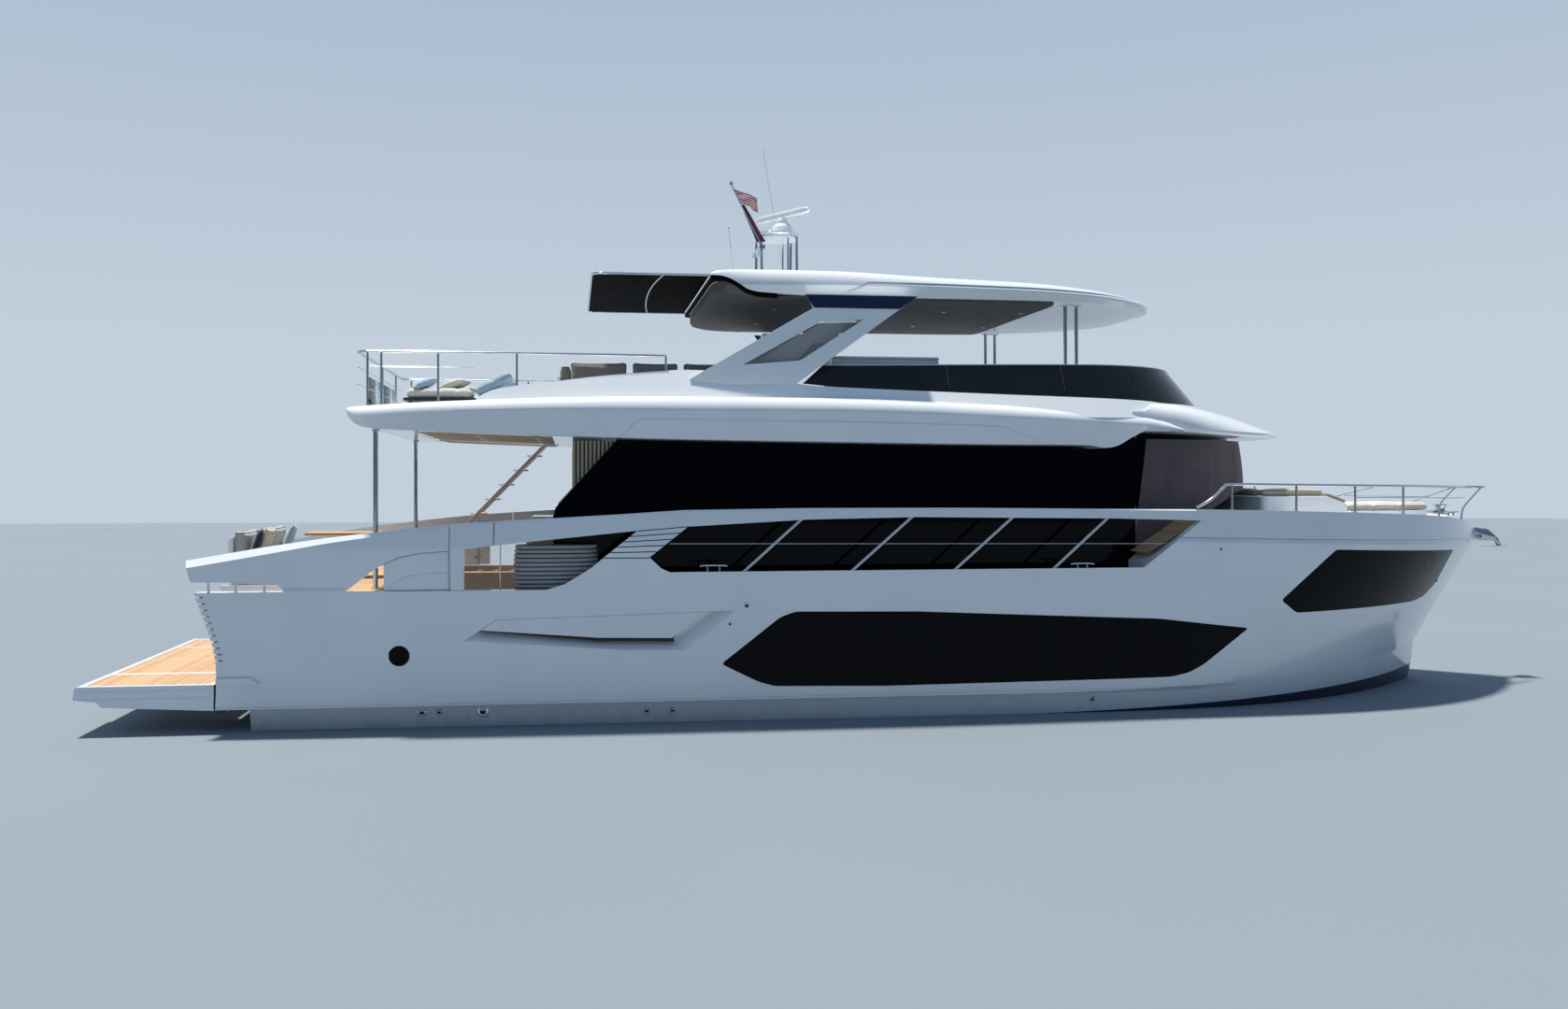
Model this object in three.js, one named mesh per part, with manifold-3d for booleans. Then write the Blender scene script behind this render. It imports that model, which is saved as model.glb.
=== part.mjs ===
// A 23 m flybridge motor yacht afloat, built as separate named pieces.
// Millimetres. +X to the bow, +Y to port, +Z up, origin amidships on the waterline.

import * as THREE from "three";
import Module from "manifold-3d";
import { mergeVertices } from "three/addons/utils/BufferGeometryUtils.js";

const wasm = await Module();
wasm.setup();

// Driving dimensions
const GAP = 0.3; // between faces that touch
const RUN = 8; // running clearance of a moving piece
const DECK_Z = 1960; // main deck, cockpit floor and side decks
const FORE_Z = 2900; // foredeck inside its toe rail
const RAMP_X = 3860; // where the side deck meets its ramp
const FORE_X = 4700; // aft end of the foredeck
const SKIN = 90; // thickness of the bulwarks
const STEM_X = 11500; // tip of the bow
const HOUSE_HALF = 2180; // half width of the deckhouse
const HOUSE_WALL = 60;
const HOUSE_FRONT_X = 6350; // windscreen on the centreline
const FLY_Z = 4450; // flybridge floor
const TOP_Z = 6250; // underside of the hardtop
const PLATFORM_Z = 680; // bathing platform
const GARAGE = { aft: -10400, fore: -8000, half: 1350, floor: 720, roof: 1780 };
const ENGINE_ROOM = { aft: -8100, fore: -5200, half: 1950, floor: -100, roof: 1760 };

// Small solids toolkit
function solidOf(points, faces) {
  const raw = new THREE.BufferGeometry();
  raw.setAttribute("position", new THREE.Float32BufferAttribute(points.flat(), 3));
  raw.setIndex(faces.flat());
  return solidFrom(raw);
}

function solidFrom(geometry) {
  const bare = new THREE.BufferGeometry();
  bare.setAttribute("position", geometry.attributes.position.clone());
  if (geometry.index) bare.setIndex(geometry.index.clone());
  const merged = mergeVertices(bare, 0.01);
  const position = merged.attributes.position.array;
  const kept = [];
  const index = merged.index.array;
  for (let i = 0; i < index.length; i += 3) {
    const [a, b, c] = [index[i], index[i + 1], index[i + 2]];
    if (a !== b && b !== c && a !== c) kept.push(a, b, c);
  }
  const build = (list) => new wasm.Manifold(new wasm.Mesh({
    numProp: 3,
    vertProperties: Float32Array.from(position),
    triVerts: Uint32Array.from(list),
  }));
  const made = build(kept);
  if (made.volume() > 0) return made;
  return build(kept.reverse());
}

function geometryOf(solid) {
  const mesh = solid.getMesh();
  const geometry = new THREE.BufferGeometry();
  geometry.setAttribute("position", new THREE.BufferAttribute(mesh.vertProperties.slice(), 3));
  geometry.setIndex(new THREE.BufferAttribute(mesh.triVerts.slice(), 1));
  geometry.computeVertexNormals();
  return geometry;
}

function join(...solids) {
  return solids.reduce((whole, next) => whole.add(next));
}

function cut(solid, ...tools) {
  return tools.reduce((whole, next) => whole.subtract(next), solid);
}

function common(first, second) {
  return first.intersect(second);
}

function mirror(solid) {
  return solid.mirror([0, 1, 0]);
}

// An outline as vectors, turning left, or right for a hole
function loopOf(points, left) {
  const loop = points.map(([a, b]) => new THREE.Vector2(a, b));
  return THREE.ShapeUtils.isClockWise(loop) === left ? loop.reverse() : loop;
}

function shapeOf(points, holes = []) {
  const shape = new THREE.Shape(loopOf(points, true));
  for (const hole of holes) shape.holes.push(new THREE.Path(loopOf(hole, false)));
  return shape;
}

function extruded(points, depth, holes) {
  return new THREE.ExtrudeGeometry(shapeOf(points, holes), { depth, bevelEnabled: false });
}

// An outline seen from the side, in X and Z, carried across from y0 to y1
function side(points, y0, y1, holes) {
  const geometry = extruded(points, y1 - y0, holes);
  geometry.rotateX(Math.PI / 2);
  geometry.translate(0, y1, 0);
  return solidFrom(geometry);
}

// An outline seen from above, in X and Y, carried up from z0 to z1
function plan(points, z0, z1, holes) {
  const geometry = extruded(points, z1 - z0, holes);
  geometry.translate(0, 0, z0);
  return solidFrom(geometry);
}

function box(x0, x1, y0, y1, z0, z1) {
  const geometry = new THREE.BoxGeometry(x1 - x0, y1 - y0, z1 - z0);
  geometry.translate((x0 + x1) / 2, (y0 + y1) / 2, (z0 + z1) / 2);
  return solidFrom(geometry);
}

// A round bar between two points
function rod(from, to, radius, sides = 10) {
  const a = new THREE.Vector3(...from);
  const b = new THREE.Vector3(...to);
  const geometry = new THREE.CylinderGeometry(radius, radius, a.distanceTo(b), sides);
  const along = b.clone().sub(a).normalize();
  geometry.applyQuaternion(new THREE.Quaternion().setFromUnitVectors(new THREE.Vector3(0, 1, 0), along));
  geometry.translate((a.x + b.x) / 2, (a.y + b.y) / 2, (a.z + b.z) / 2);
  return solidFrom(geometry);
}

// A body turned about the X axis, its profile given as [along, radius]
function turned(profile, sides, at) {
  const geometry = new THREE.LatheGeometry(profile.map(([along, r]) => new THREE.Vector2(r, along)), sides);
  geometry.rotateZ(-Math.PI / 2);
  geometry.translate(...at);
  return solidFrom(geometry);
}

// Rings of equal count, each a list of [x, y, z], skinned from first to last and closed at both ends
function loft(rings) {
  const count = rings[0].length;
  const faces = [];
  for (let r = 0; r + 1 < rings.length; r += 1) {
    for (let i = 0; i < count; i += 1) {
      const j = (i + 1) % count;
      const [a, b, c, d] = [r * count + i, r * count + j, (r + 1) * count + j, (r + 1) * count + i];
      faces.push([a, b, c], [a, c, d]);
    }
  }
  const points = rings.flat();
  const ends = [[rings[0], 0, 1], [rings[rings.length - 1], (rings.length - 1) * count, -1]];
  for (const [ring, base, way] of ends) {
    const middle = points.length;
    points.push([0, 1, 2].map((axis) => ring.reduce((sum, point) => sum + point[axis] / count, 0)));
    for (let i = 0; i < count; i += 1) {
      const [a, b] = [base + i, base + ((i + 1) % count)];
      faces.push(way > 0 ? [middle, b, a] : [middle, a, b]);
    }
  }
  return solidOf(points, faces);
}

// A round bar along a row of points, mitred where it turns
function tube(points, radius, sides = 8) {
  const path = points.map((point) => new THREE.Vector3(...point));
  const ways = path.slice(1).map((point, i) => point.clone().sub(path[i]).normalize());
  const up = new THREE.Vector3(0, 0, 1);
  return loft(path.map((at, i) => {
    const before = ways[Math.max(0, i - 1)];
    const after = ways[Math.min(ways.length - 1, i)];
    const along = before.clone().add(after).normalize();
    const across = new THREE.Vector3().crossVectors(along, up).normalize();
    const rise = new THREE.Vector3().crossVectors(across, along);
    const stretch = 1 / Math.max(0.5, along.dot(before));
    return Array.from({ length: sides }, (_, k) => {
      const angle = ((k + 0.5) / sides) * Math.PI * 2;
      const out = across.clone().multiplyScalar(radius * stretch * Math.cos(angle));
      return at.clone().add(out).addScaledVector(rise, radius * Math.sin(angle)).toArray();
    });
  }));
}

// The port half of an outline is given bow-wards; this closes it over the centreline
function bothSides(half) {
  const other = half.filter(([, y]) => y > 0.01).map(([x, y]) => [x, -y]).reverse();
  return [...half, ...other];
}

// Hull lines, from the keel up. beam is the greatest half breadth, full how full the bow is,
// narrow how much the stern draws in, and each line runs from its aft end to the stem.
const HULL_LINES = [
  { name: "keel", beam: 0, aft: [-9150, -840], stem: [7900, -780], full: 2.0, narrow: 0 },
  { name: "bottom", beam: 1300, aft: [-9150, -450], stem: [9500, -420], full: 2.2, narrow: 0.02 },
  { name: "chine", beam: 2520, aft: [-9170, -120], stem: [10150, -20], full: 2.8, narrow: 0.045 },
  { name: "boot", beam: 2620, aft: [-9170, 305], stem: [10225, 330], full: 2.95, narrow: 0.045 },
  { name: "rail", beam: 2700, aft: [-9600, 330], stem: [10260, 640], full: 3.0, narrow: 0.03 },
  { name: "middle", beam: 2780, aft: [-9590, 1100], stem: [10600, 1180], full: 3.1, narrow: 0.03 },
  { name: "deck", beam: 2850, aft: [-9840, 1960], stem: [11120, 1960], full: 3.4, narrow: 0.03 },
  { name: "knuckle", beam: 2890, aft: [-10010, 2580], stem: [STEM_X, 2500], full: 3.7, narrow: 0.03 },
  { name: "cap", beam: 2860, aft: [-10130, 3200], stem: [STEM_X, 3200], full: 3.7, narrow: 0.03 },
];
const STATIONS = [
  0, 0.1, 0.2, 0.3, 0.4, 0.5, 0.59, 0.66, 0.72, 0.77, 0.81, 0.85, 0.88, 0.91, 0.94, 0.97, 0.985, 1,
];
const PARALLEL = 0.59; // share of the length before the bow starts to draw in

function hullPoint(line, s, inset) {
  const bow = Math.max(0, (s - PARALLEL) / (1 - PARALLEL));
  const stern = Math.max(0, (PARALLEL - s) / PARALLEL);
  const shape = (1 - bow ** line.full) * (1 - line.narrow * stern ** 2);
  const stemX = line.stem[0] - 1.5 * inset;
  const y = Math.max(0, line.beam - inset) * shape;
  const z = line.aft[1] + (line.stem[1] - line.aft[1]) * bow ** 1.5;
  return [line.aft[0] + (stemX - line.aft[0]) * s, y, z];
}

// The whole outer form of the hull up to above its rail, or the same drawn in by inset
function hullForm(inset = 0) {
  const points = [];
  const faces = [];
  const rows = HULL_LINES.map((line) => STATIONS.map((s) => hullPoint(line, s, inset)));
  const width = STATIONS.length;
  for (const sign of [1, -1]) {
    for (const row of rows) for (const [x, y, z] of row) points.push([x, y * sign, z]);
  }
  const other = rows.length * width;
  const at = (row, station) => row * width + station;
  for (let r = 0; r + 1 < rows.length; r += 1) {
    for (let i = 0; i + 1 < width; i += 1) {
      const [a, b, c, d] = [at(r, i), at(r, i + 1), at(r + 1, i + 1), at(r + 1, i)];
      faces.push([a, c, b], [a, d, c]);
      faces.push([other + a, other + b, other + c], [other + a, other + c, other + d]);
    }
    faces.push([at(r, 0), other + at(r, 0), other + at(r + 1, 0)]);
    faces.push([at(r, 0), other + at(r + 1, 0), at(r + 1, 0)]);
  }
  const top = rows.length - 1;
  for (let i = 0; i + 1 < width; i += 1) {
    const [a, b] = [at(top, i), at(top, i + 1)];
    faces.push([a, other + a, other + b], [a, other + b, b]);
  }
  return solidOf(points, faces);
}

const FORM = hullForm();
const FORM_INSIDE = hullForm(SKIN);
const FORM_DECK = hullForm(SKIN + GAP);

// Top of the cap rail from the quarter to the bow, as [x, z]
const CAP_TOP = [
  [-9990, 2425], [-8130, 2700], [-7180, 2810], [-6420, 2885], [-5790, 2925], [-4080, 3020],
  [-3130, 3080], [-1400, 3105], [830, 3105], [FORE_X, 3070], [6200, 3040], [7500, 3005],
  [9000, 2950], [9700, 2905], [10600, 2800], [11300, 2600], [11700, 2440],
];

function capHeight(x) {
  const i = CAP_TOP.findIndex(([at]) => at >= x);
  if (i <= 0) return CAP_TOP[0][1];
  const [[x0, z0], [x1, z1]] = [CAP_TOP[i - 1], CAP_TOP[i]];
  return z0 + ((z1 - z0) * (x - x0)) / (x1 - x0);
}

function capBetween(x0, x1) {
  const middle = CAP_TOP.filter(([x]) => x > x0 && x < x1);
  return [[x0, capHeight(x0)], ...middle, [x1, capHeight(x1)]];
}

// Deckhouse outline from above: straight sides and a full rounded front
function houseOutline(inset, aftX) {
  const startX = 3000;
  const reach = HOUSE_FRONT_X - inset - startX;
  const half = HOUSE_HALF - inset;
  const power = 2.4;
  const outline = [[aftX, half]];
  for (let i = 0; i <= 12; i += 1) {
    const angle = (i / 12) * Math.PI / 2;
    const x = startX + reach * Math.sin(angle) ** (2 / power);
    outline.push([x, half * Math.cos(angle) ** (2 / power)]);
  }
  return bothSides(outline);
}

// Long outlines seen from the side, as [x, z]
const LONG_WINDOW = [
  [-2580, 860], [-1730, 1530], [-1510, 1610], [300, 1590], [4050, 1430], [5560, 1250],
  [4840, 710], [4600, 590], [4300, 530], [-120, 490], [-1800, 520], [-2040, 590],
];
const BOW_WINDOW = [
  [6200, 1600], [7180, 2420], [9990, 2420], [9650, 1900], [9450, 1680], [9200, 1560], [6420, 1410],
];
const SCOOP = [[-6220, 1250], [-5770, 1540], [-2800, 1620], [-2380, 1630], [-3080, 1070], [-3940, 1080]];
const SCOOP_BLADE = [[-6040, 1400], [-5750, 1530], [-2790, 1600], [-3300, 1250], [-4350, 1270]];
const SIDE_OPENING = [
  [-3070, 2845], [-3620, 2410], [-3450, 2250], [-3330, 2195], [3770, 2205], [FORE_X - 20, 2905],
  [3290, 2940], [270, 2970], [-1330, 2940],
];

function shrunk(points, by) {
  const n = points.length;
  const area = points.reduce((sum, [x, z], i) => {
    const [nx, nz] = points[(i + 1) % n];
    return sum + x * nz - nx * z;
  }, 0);
  const turn = area > 0 ? 1 : -1;
  return points.map(([x, z], i) => {
    const [px, pz] = points[(i + n - 1) % n];
    const [nx, nz] = points[(i + 1) % n];
    const [ax, az] = [x - px, z - pz];
    const [bx, bz] = [nx - x, nz - z];
    const [la, lb] = [Math.hypot(ax, az), Math.hypot(bx, bz)];
    const [n1x, n1z] = [(-az / la) * turn, (ax / la) * turn];
    const [n2x, n2z] = [(-bz / lb) * turn, (bx / lb) * turn];
    const scale = by / (1 + n1x * n2x + n1z * n2z);
    return [x + (n1x + n2x) * scale, z + (n1z + n2z) * scale];
  });
}

const PANE = 25; // thickness of the flush hull windows
const FORM_PANE = hullForm(PANE);
const FORM_SEAT = hullForm(PANE + GAP);

function hullPane(outline) {
  return cut(common(FORM, side(shrunk(outline, GAP), 0, 4000)), FORM_PANE);
}

function hullRecess(outline, depth) {
  const inner = depth === PANE ? FORM_SEAT : hullForm(depth);
  const tool = cut(side(outline, 100, 4000), inner);
  return join(tool, mirror(tool));
}

function hull() {
  const belowRail = [
    [-12000, -3000], [-12000, DECK_Z], [FORE_X, DECK_Z],
    ...capBetween(FORE_X, 11700), [13000, 2440], [13000, -3000],
  ];
  let body = common(FORM, side(belowRail, -4000, 4000));
  const ramp = [
    [RAMP_X, 1900], [RAMP_X, 2400], [FORE_X + 15, FORE_Z], [FORE_X + 20, FORE_Z], [FORE_X + 20, 1900],
  ];
  body = join(body, common(FORM_DECK, side(ramp, -4000, 4000)));
  const wellEnd = 11150;
  body = cut(body, common(hullForm(170), box(FORE_X - 10, wellEnd, -4000, 4000, FORE_Z, 4000)));
  body = cut(body, plan(houseOutline(-GAP, -6000), DECK_Z, 3600));
  const blade = side(SCOOP_BLADE, 100, 4000);
  const scoop = cut(hullRecess(SCOOP, 75), blade, mirror(blade));
  body = cut(body, hullRecess(LONG_WINDOW, PANE), hullRecess(BOW_WINDOW, PANE), scoop);
  body = cut(body, rod([-7110, -4000, 1050], [-7110, -2600, 1050], 145, 24));
  body = cut(body, box(GARAGE.aft, GARAGE.fore, -GARAGE.half, GARAGE.half, GARAGE.floor, GARAGE.roof));
  const room = ENGINE_ROOM;
  body = cut(body, box(room.aft, room.fore, -room.half, room.half, room.floor, room.roof));
  body = cut(body, transomStairs(), mirror(transomStairs()));
  body = cut(body, box(11140, 12000, -ROLLER.half - GAP, ROLLER.half + GAP, ROLLER.floor, 3000));
  const boss = rod([POD.x, POD.y, POD.top], [POD.x, POD.y, -380], 240, 24);
  const lug = liftLug();
  return join(body, boss, mirror(boss), lug, mirror(lug), transomKnuckles());
}

// Ears on the transom that carry the shaft of the platform's arms
function liftLug() {
  const { hullX, hullZ, armY, shaft } = LIFT;
  const ear = join(
    box(hullX, -9150, armY + 30, armY + 58, hullZ - 60, hullZ + 60),
    rod([hullX, armY + 30, hullZ], [hullX, armY + 58, hullZ], 60, 24),
  );
  return cut(ear, rod([hullX, armY, hullZ], [hullX, armY + 90, hullZ], shaft + 1, 24));
}

const STAIR = { inner: 1520, outer: 2470, steps: 5, tread: 270 };

function transomStairs() {
  const rise = (DECK_Z - PLATFORM_Z) / STAIR.steps;
  const foot = -9250;
  const outline = [[-11000, 3000], [-11000, PLATFORM_Z], [foot, PLATFORM_Z]];
  for (let i = 1; i <= STAIR.steps; i += 1) {
    outline.push([foot + (i - 1) * STAIR.tread, PLATFORM_Z + i * rise]);
    if (i < STAIR.steps) outline.push([foot + i * STAIR.tread, PLATFORM_Z + i * rise]);
  }
  outline.push([foot + (STAIR.steps - 1) * STAIR.tread, 3000]);
  return side(outline, STAIR.inner, STAIR.outer);
}

const WING_CURVE = [[-7310, 2340], [-7480, 2240], [-7640, 2110], [-7760, 2010], [-7840, DECK_Z + GAP]];

function wing() {
  const outline = [
    ...capBetween(-9990, -6425), [-6425, DECK_Z + GAP], [-7310, DECK_Z + GAP],
    ...WING_CURVE, [-8640, DECK_Z + GAP], [-8770, 2095], [-9900, 2110],
  ];
  const skin = cut(common(FORM, side(outline, 0, 4000)), FORM_INSIDE);
  const posts = [-9660, -9300, -8920].map((x) => {
    const y = hullPoint(HULL_LINES[6], (x + 9840) / 20960, 0)[1] - SKIN / 2;
    return rod([x, y, DECK_Z + GAP], [x, y, 2150], 20, 8);
  });
  return join(skin, wingKnuckles(), ...posts);
}

// Each gate turns inward on two pairs of knuckles inside its aft edge
const GATE = {
  aft: -6415, fore: -5790, pinX: -6385, pinY: 2700, post: 210, reach: 592, knuckle: 12, pin: 7,
};
const KNUCKLES = [2110, 2690]; // where the upper face of each fixed knuckle lies

function gateRound(radius) {
  return rod([GATE.pinX, GATE.pinY, 1000], [GATE.pinX, GATE.pinY, 4000], radius, 96);
}

function gate() {
  const { aft, fore, pinX, pinY, post, knuckle, pin } = GATE;
  const foot = DECK_Z + 10;
  const outline = [
    ...capBetween(aft, fore), [fore, 2590], [aft + post, 2540], [aft + post, foot], [aft, foot],
  ];
  let leaf = cut(common(FORM, side(outline, 0, 4000)), FORM_INSIDE);
  leaf = common(leaf, gateRound(GATE.reach));
  const hinges = KNUCKLES.flatMap((z) => [
    rod([pinX, pinY, z + GAP], [pinX, pinY, z + 30], knuckle, 20),
    box(pinX - 10, pinX + 10, pinY, pinY + 70, z + GAP, z + 30),
    rod([pinX, pinY, z - 34], [pinX, pinY, z + 10], pin, 16),
  ]);
  return join(leaf, ...hinges);
}

function wingKnuckles() {
  const { aft, pinX, pinY, knuckle, pin } = GATE;
  const parts = KNUCKLES.flatMap((z) => [
    rod([pinX, pinY, z - 30], [pinX, pinY, z], knuckle, 20),
    box(aft - 70, pinX, pinY - knuckle, pinY + knuckle - 2, z - 30, z),
    box(aft - 70, aft - 15, pinY - knuckle, pinY + 70, z - 30, z),
  ]);
  return cut(join(...parts), rod([pinX, pinY, 1000], [pinX, pinY, 4000], pin + GAP, 16));
}

const STRUTS = [[-2270, -1370], [-680, 240], [860, 1780], [2370, 3270]];

function bulwark() {
  const outline = [
    ...capBetween(GATE.fore - 40, FORE_X - GAP), [FORE_X - GAP, DECK_Z + GAP], [-5070, DECK_Z + GAP],
    [-4810, 2040], [-4660, 2130], [-4450, 2260], [-4230, 2440], [-3790, 2790], [-5510, 2620],
    [GATE.fore - 40, 2590],
  ];
  const form = cut(common(FORM, side(outline, 0, 4000, [SIDE_OPENING])), FORM_INSIDE);
  const skin = cut(form, gateRound(GATE.reach + 6));
  const struts = STRUTS.map(([low, high]) => rod([low, 2805, 2180], [high, 2805, 2990], 24, 8));
  return join(skin, ...struts);
}

// Deckhouse walls with their windows cut out. Each window is [aft x, fore x].
const SIDE_WINDOWS = [[-4080, -2350], [-2260, -400], [-310, 1550], [1640, 3300]];
const GLASS = { foot: 2300, top: 3960, skin: 20 };
const SCREEN = { x: 3960, foot: 3120, top: 4160, bars: [[-2300, -1180], [-1120, 1120], [1180, 2300]] };
const AFT_LINE = [[-4990, 1900], [-4990, 2970], [-4950, 3110], [-4060, 4100], [-4060, 5000]];
const AFT_WALL = {
  x: -4060, thick: 60, foot: DECK_Z + 60, top: 3920, panes: [[-2040, -760], [-700, 700], [760, 2040]],
};
const DOOR = { half: 740, thick: 40, travel: 1250 };

function underAt(x) {
  const i = UPPER_STATIONS.findIndex((station) => station.x >= x);
  const [a, b] = [UPPER_STATIONS[i - 1], UPPER_STATIONS[i]];
  return a.under + ((b.under - a.under) * (x - a.x)) / (b.x - a.x);
}

function houseShell(outside, inside) {
  const within = plan(houseOutline(inside, -7500), 1000, 5000);
  return cut(plan(houseOutline(outside, -7000), DECK_Z + GAP, 4400), within);
}

// Everything below the upper deck and forward of the slanted aft edge of the side walls
function underUpperDeck() {
  const between = UPPER_STATIONS.filter(({ x }) => x > -4990 && x < 6500);
  const inner = between.map(({ x, under }) => [x, under - GAP]);
  const [low, high] = [[-4990, underAt(-4990) - GAP], [6500, 4230 - GAP]];
  const headroom = side([[-4990, 1000], low, ...inner, high, [6500, 1000]], -4000, 4000);
  return cut(headroom, side([[-9000, 1000], ...AFT_LINE, [-9000, 5000]], -4000, 4000));
}

function deckhouse() {
  const { x, thick, foot, top, panes } = AFT_WALL;
  const half = HOUSE_HALF - HOUSE_WALL + 5;
  let walls = join(houseShell(0, HOUSE_WALL), box(x, x + thick, -half, half, DECK_Z + GAP, 4300));
  walls = common(walls, underUpperDeck());
  for (const [y0, y1] of panes) walls = cut(walls, box(x - 10, x + thick + 10, y0, y1, foot, top));
  for (const [x0, x1] of SIDE_WINDOWS) walls = cut(walls, box(x0, x1, -4000, 4000, GLASS.foot, GLASS.top));
  for (const [y0, y1] of SCREEN.bars) {
    walls = cut(walls, box(SCREEN.x, 7000, y0, y1, SCREEN.foot, SCREEN.top));
  }
  return walls;
}

// Glass bonded over the outside of the walls
function sideGlass() {
  const band = common(houseShell(-GLASS.skin, -GAP), underUpperDeck());
  return common(band, box(-4985, SCREEN.x - 130, 0, 3000, DECK_Z + 90, 5000));
}

function windscreen() {
  const band = common(houseShell(-GLASS.skin, -GAP), underUpperDeck());
  return common(band, box(SCREEN.x - 120, 7000, -3000, 3000, FORE_Z + 130, 5000));
}

function screenCover() {
  const outline = [[3960, 2500], [FORE_X + 20, 2950], [7000, 2950], [7000, 4215], [4180, 4215]];
  const skin = cut(plan(houseOutline(-GLASS.skin - 24, -7000), 2000, 4400),
    plan(houseOutline(-GLASS.skin - GAP, -7500), 1000, 5000));
  return common(skin, side(outline, -4000, 4000));
}

function aftGlass() {
  const { x, thick, foot, top } = AFT_WALL;
  const sheet = box(x + thick + GAP, x + thick + 18, -2100, 2100, foot - 20, top + 60);
  return cut(sheet, box(x, 0, -DOOR.half + 40, DOOR.half - 40, 0, top));
}

function slidingDoor() {
  const { x, foot, top } = AFT_WALL;
  const leaf = box(x - 5 - DOOR.thick, x - 5, -DOOR.half, DOOR.half, DECK_Z + GAP, top + 40);
  const recess = box(x - 100, x - 30, -DOOR.half + 60, DOOR.half - 60, foot + 30, top - 30);
  return cut(leaf, recess);
}

// Upper deck: sections along the boat, each with half width, floor, crease and lower edge
const UPPER_STATIONS = [
  { x: -7850, half: 2560, top: 4545, crease: 4480, under: 4400 },
  { x: -7560, half: 2760, top: 4560, crease: 4400, under: 4240 },
  { x: -6590, half: 2800, top: 4620, crease: 4450, under: 4190 },
  { x: -4870, half: 2830, top: 4690, crease: 4490, under: 4130 },
  { x: -3200, half: 2840, top: 4715, crease: 4490, under: 4090 },
  { x: -560, half: 2840, top: 4705, crease: 4490, under: 4055 },
  { x: 1420, half: 2800, top: 4640, crease: 4430, under: 4035 },
  { x: 2900, half: 2740, top: 4560, crease: 4370, under: 4030 },
  { x: 3500, half: 2710, top: 4520, crease: 4340, under: 4090 },
  { x: 3900, half: 2670, top: 4490, crease: 4320, under: 4240 },
  { x: 4530, half: 2600, top: 4450, crease: 4290, under: 4240 },
  { x: 5300, half: 2440, top: 4430, crease: 4285, under: 4235 },
  { x: 6000, half: 2110, top: 4400, crease: 4280, under: 4230 },
  { x: 6500, half: 1730, top: 4370, crease: 4280, under: 4230 },
  { x: 6900, half: 1240, top: 4340, crease: 4275, under: 4230 },
  { x: 7150, half: 760, top: 4310, crease: 4270, under: 4235 },
  { x: 7250, half: 250, top: 4295, crease: 4265, under: 4240 },
];

function upperDeck() {
  const rings = UPPER_STATIONS.map(({ x, half, top, crease, under }) => {
    const foot = [[0, under], [half * 0.9 - 60, under], [half * 0.975, under]];
    const port = [...foot, [half, crease], [half * 0.93, top]];
    const star = [...port].reverse().map(([y, z]) => [-y, z]);
    return [...port, [0, top + 20], ...star.slice(0, -1)].map(([y, z]) => [x, y, z]);
  });
  const front = loft([brow(FLY_Z - 170), brow(4650)]);
  const slab = join(loft(rings), front);
  const stairwell = box(STEPS.x0 + 200, STEPS.x1 + 60, STEPS.y0 - 60, STEPS.y1 + 60, 3000, 6000);
  return cut(slab, coamingForm(GAP), box(-9000, -5900, -2330, 2330, FLY_Z, 5000), stairwell);
}

function brow(z) {
  const half = z > 4600 ? 2380 : 2560;
  const tip = z > 4600 ? 5950 : 7050;
  const points = [[2600, half]];
  for (let i = 1; i <= 10; i += 1) {
    const angle = (i / 10) * Math.PI / 2;
    points.push([3000 + (tip - 3000) * Math.sin(angle), half * Math.cos(angle)]);
  }
  return bothSides(points).map(([x, y]) => [x, y, z]);
}

// Flybridge coaming and screen share one sloping form
const COAMING = {
  low: 4450, high: 5350, halfLow: 2720, halfHigh: 2290, tipLow: 6080, tipHigh: 5300, aft: -6060,
};

function coamingForm(grow) {
  const ringAt = (z) => {
    const t = (z - COAMING.low) / (COAMING.high - COAMING.low);
    const half = COAMING.halfLow + (COAMING.halfHigh - COAMING.halfLow) * t + grow;
    const tip = COAMING.tipLow + (COAMING.tipHigh - COAMING.tipLow) * t + grow;
    const points = [[COAMING.aft - grow, half]];
    for (let i = 0; i <= 10; i += 1) {
      const angle = (i / 10) * Math.PI / 2;
      points.push([3000 + (tip - 3000) * Math.sin(angle), half * Math.cos(angle)]);
    }
    return bothSides(points).map(([x, y]) => [x, y, z]);
  };
  return common(loft([ringAt(4300), ringAt(5400)]), box(-9000, 9000, -4000, 4000, FLY_Z, 6000));
}

const COAMING_TOP = [
  [-6060, 4670], [-5750, 4815], [-4870, 4940], [-3990, 5050], [-2820, 5120], [-1440, 4930],
  [-750, 4880], [1560, 4800], [3890, 4730], [4500, 4700], [6300, 4700],
];

function coamingTop(grow) {
  return [[-6200, 4000], ...COAMING_TOP.map(([x, z]) => [x - grow, z + grow]), [6300, 4000]];
}

function coaming() {
  const wall = cut(coamingForm(0), coamingForm(-110));
  const aftOpen = box(-7000, COAMING.aft + 300, -2200, 2200, 4000, 5500);
  const kept = common(cut(wall, aftOpen), side(coamingTop(0), -4000, 4000));
  return common(kept, box(-9000, 9000, -4000, 4000, FLY_Z + GAP, 6000));
}

function flyScreen() {
  const wall = cut(coamingForm(-30), coamingForm(-60));
  const foot = COAMING_TOP.filter(([x]) => x > -900).map(([x, z]) => [x, z + GAP]);
  const outline = [[-1330, 4935], ...foot, [6300, 5215], [4450, 5215], [2290, 5265], [-1000, 5225]];
  return cut(common(wall, side(outline, -4000, 4000)), archBlock(), mirror(archBlock()));
}

function archBlock() {
  return side(shrunk(ARCH, -GAP), 2180, 2500);
}

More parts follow.
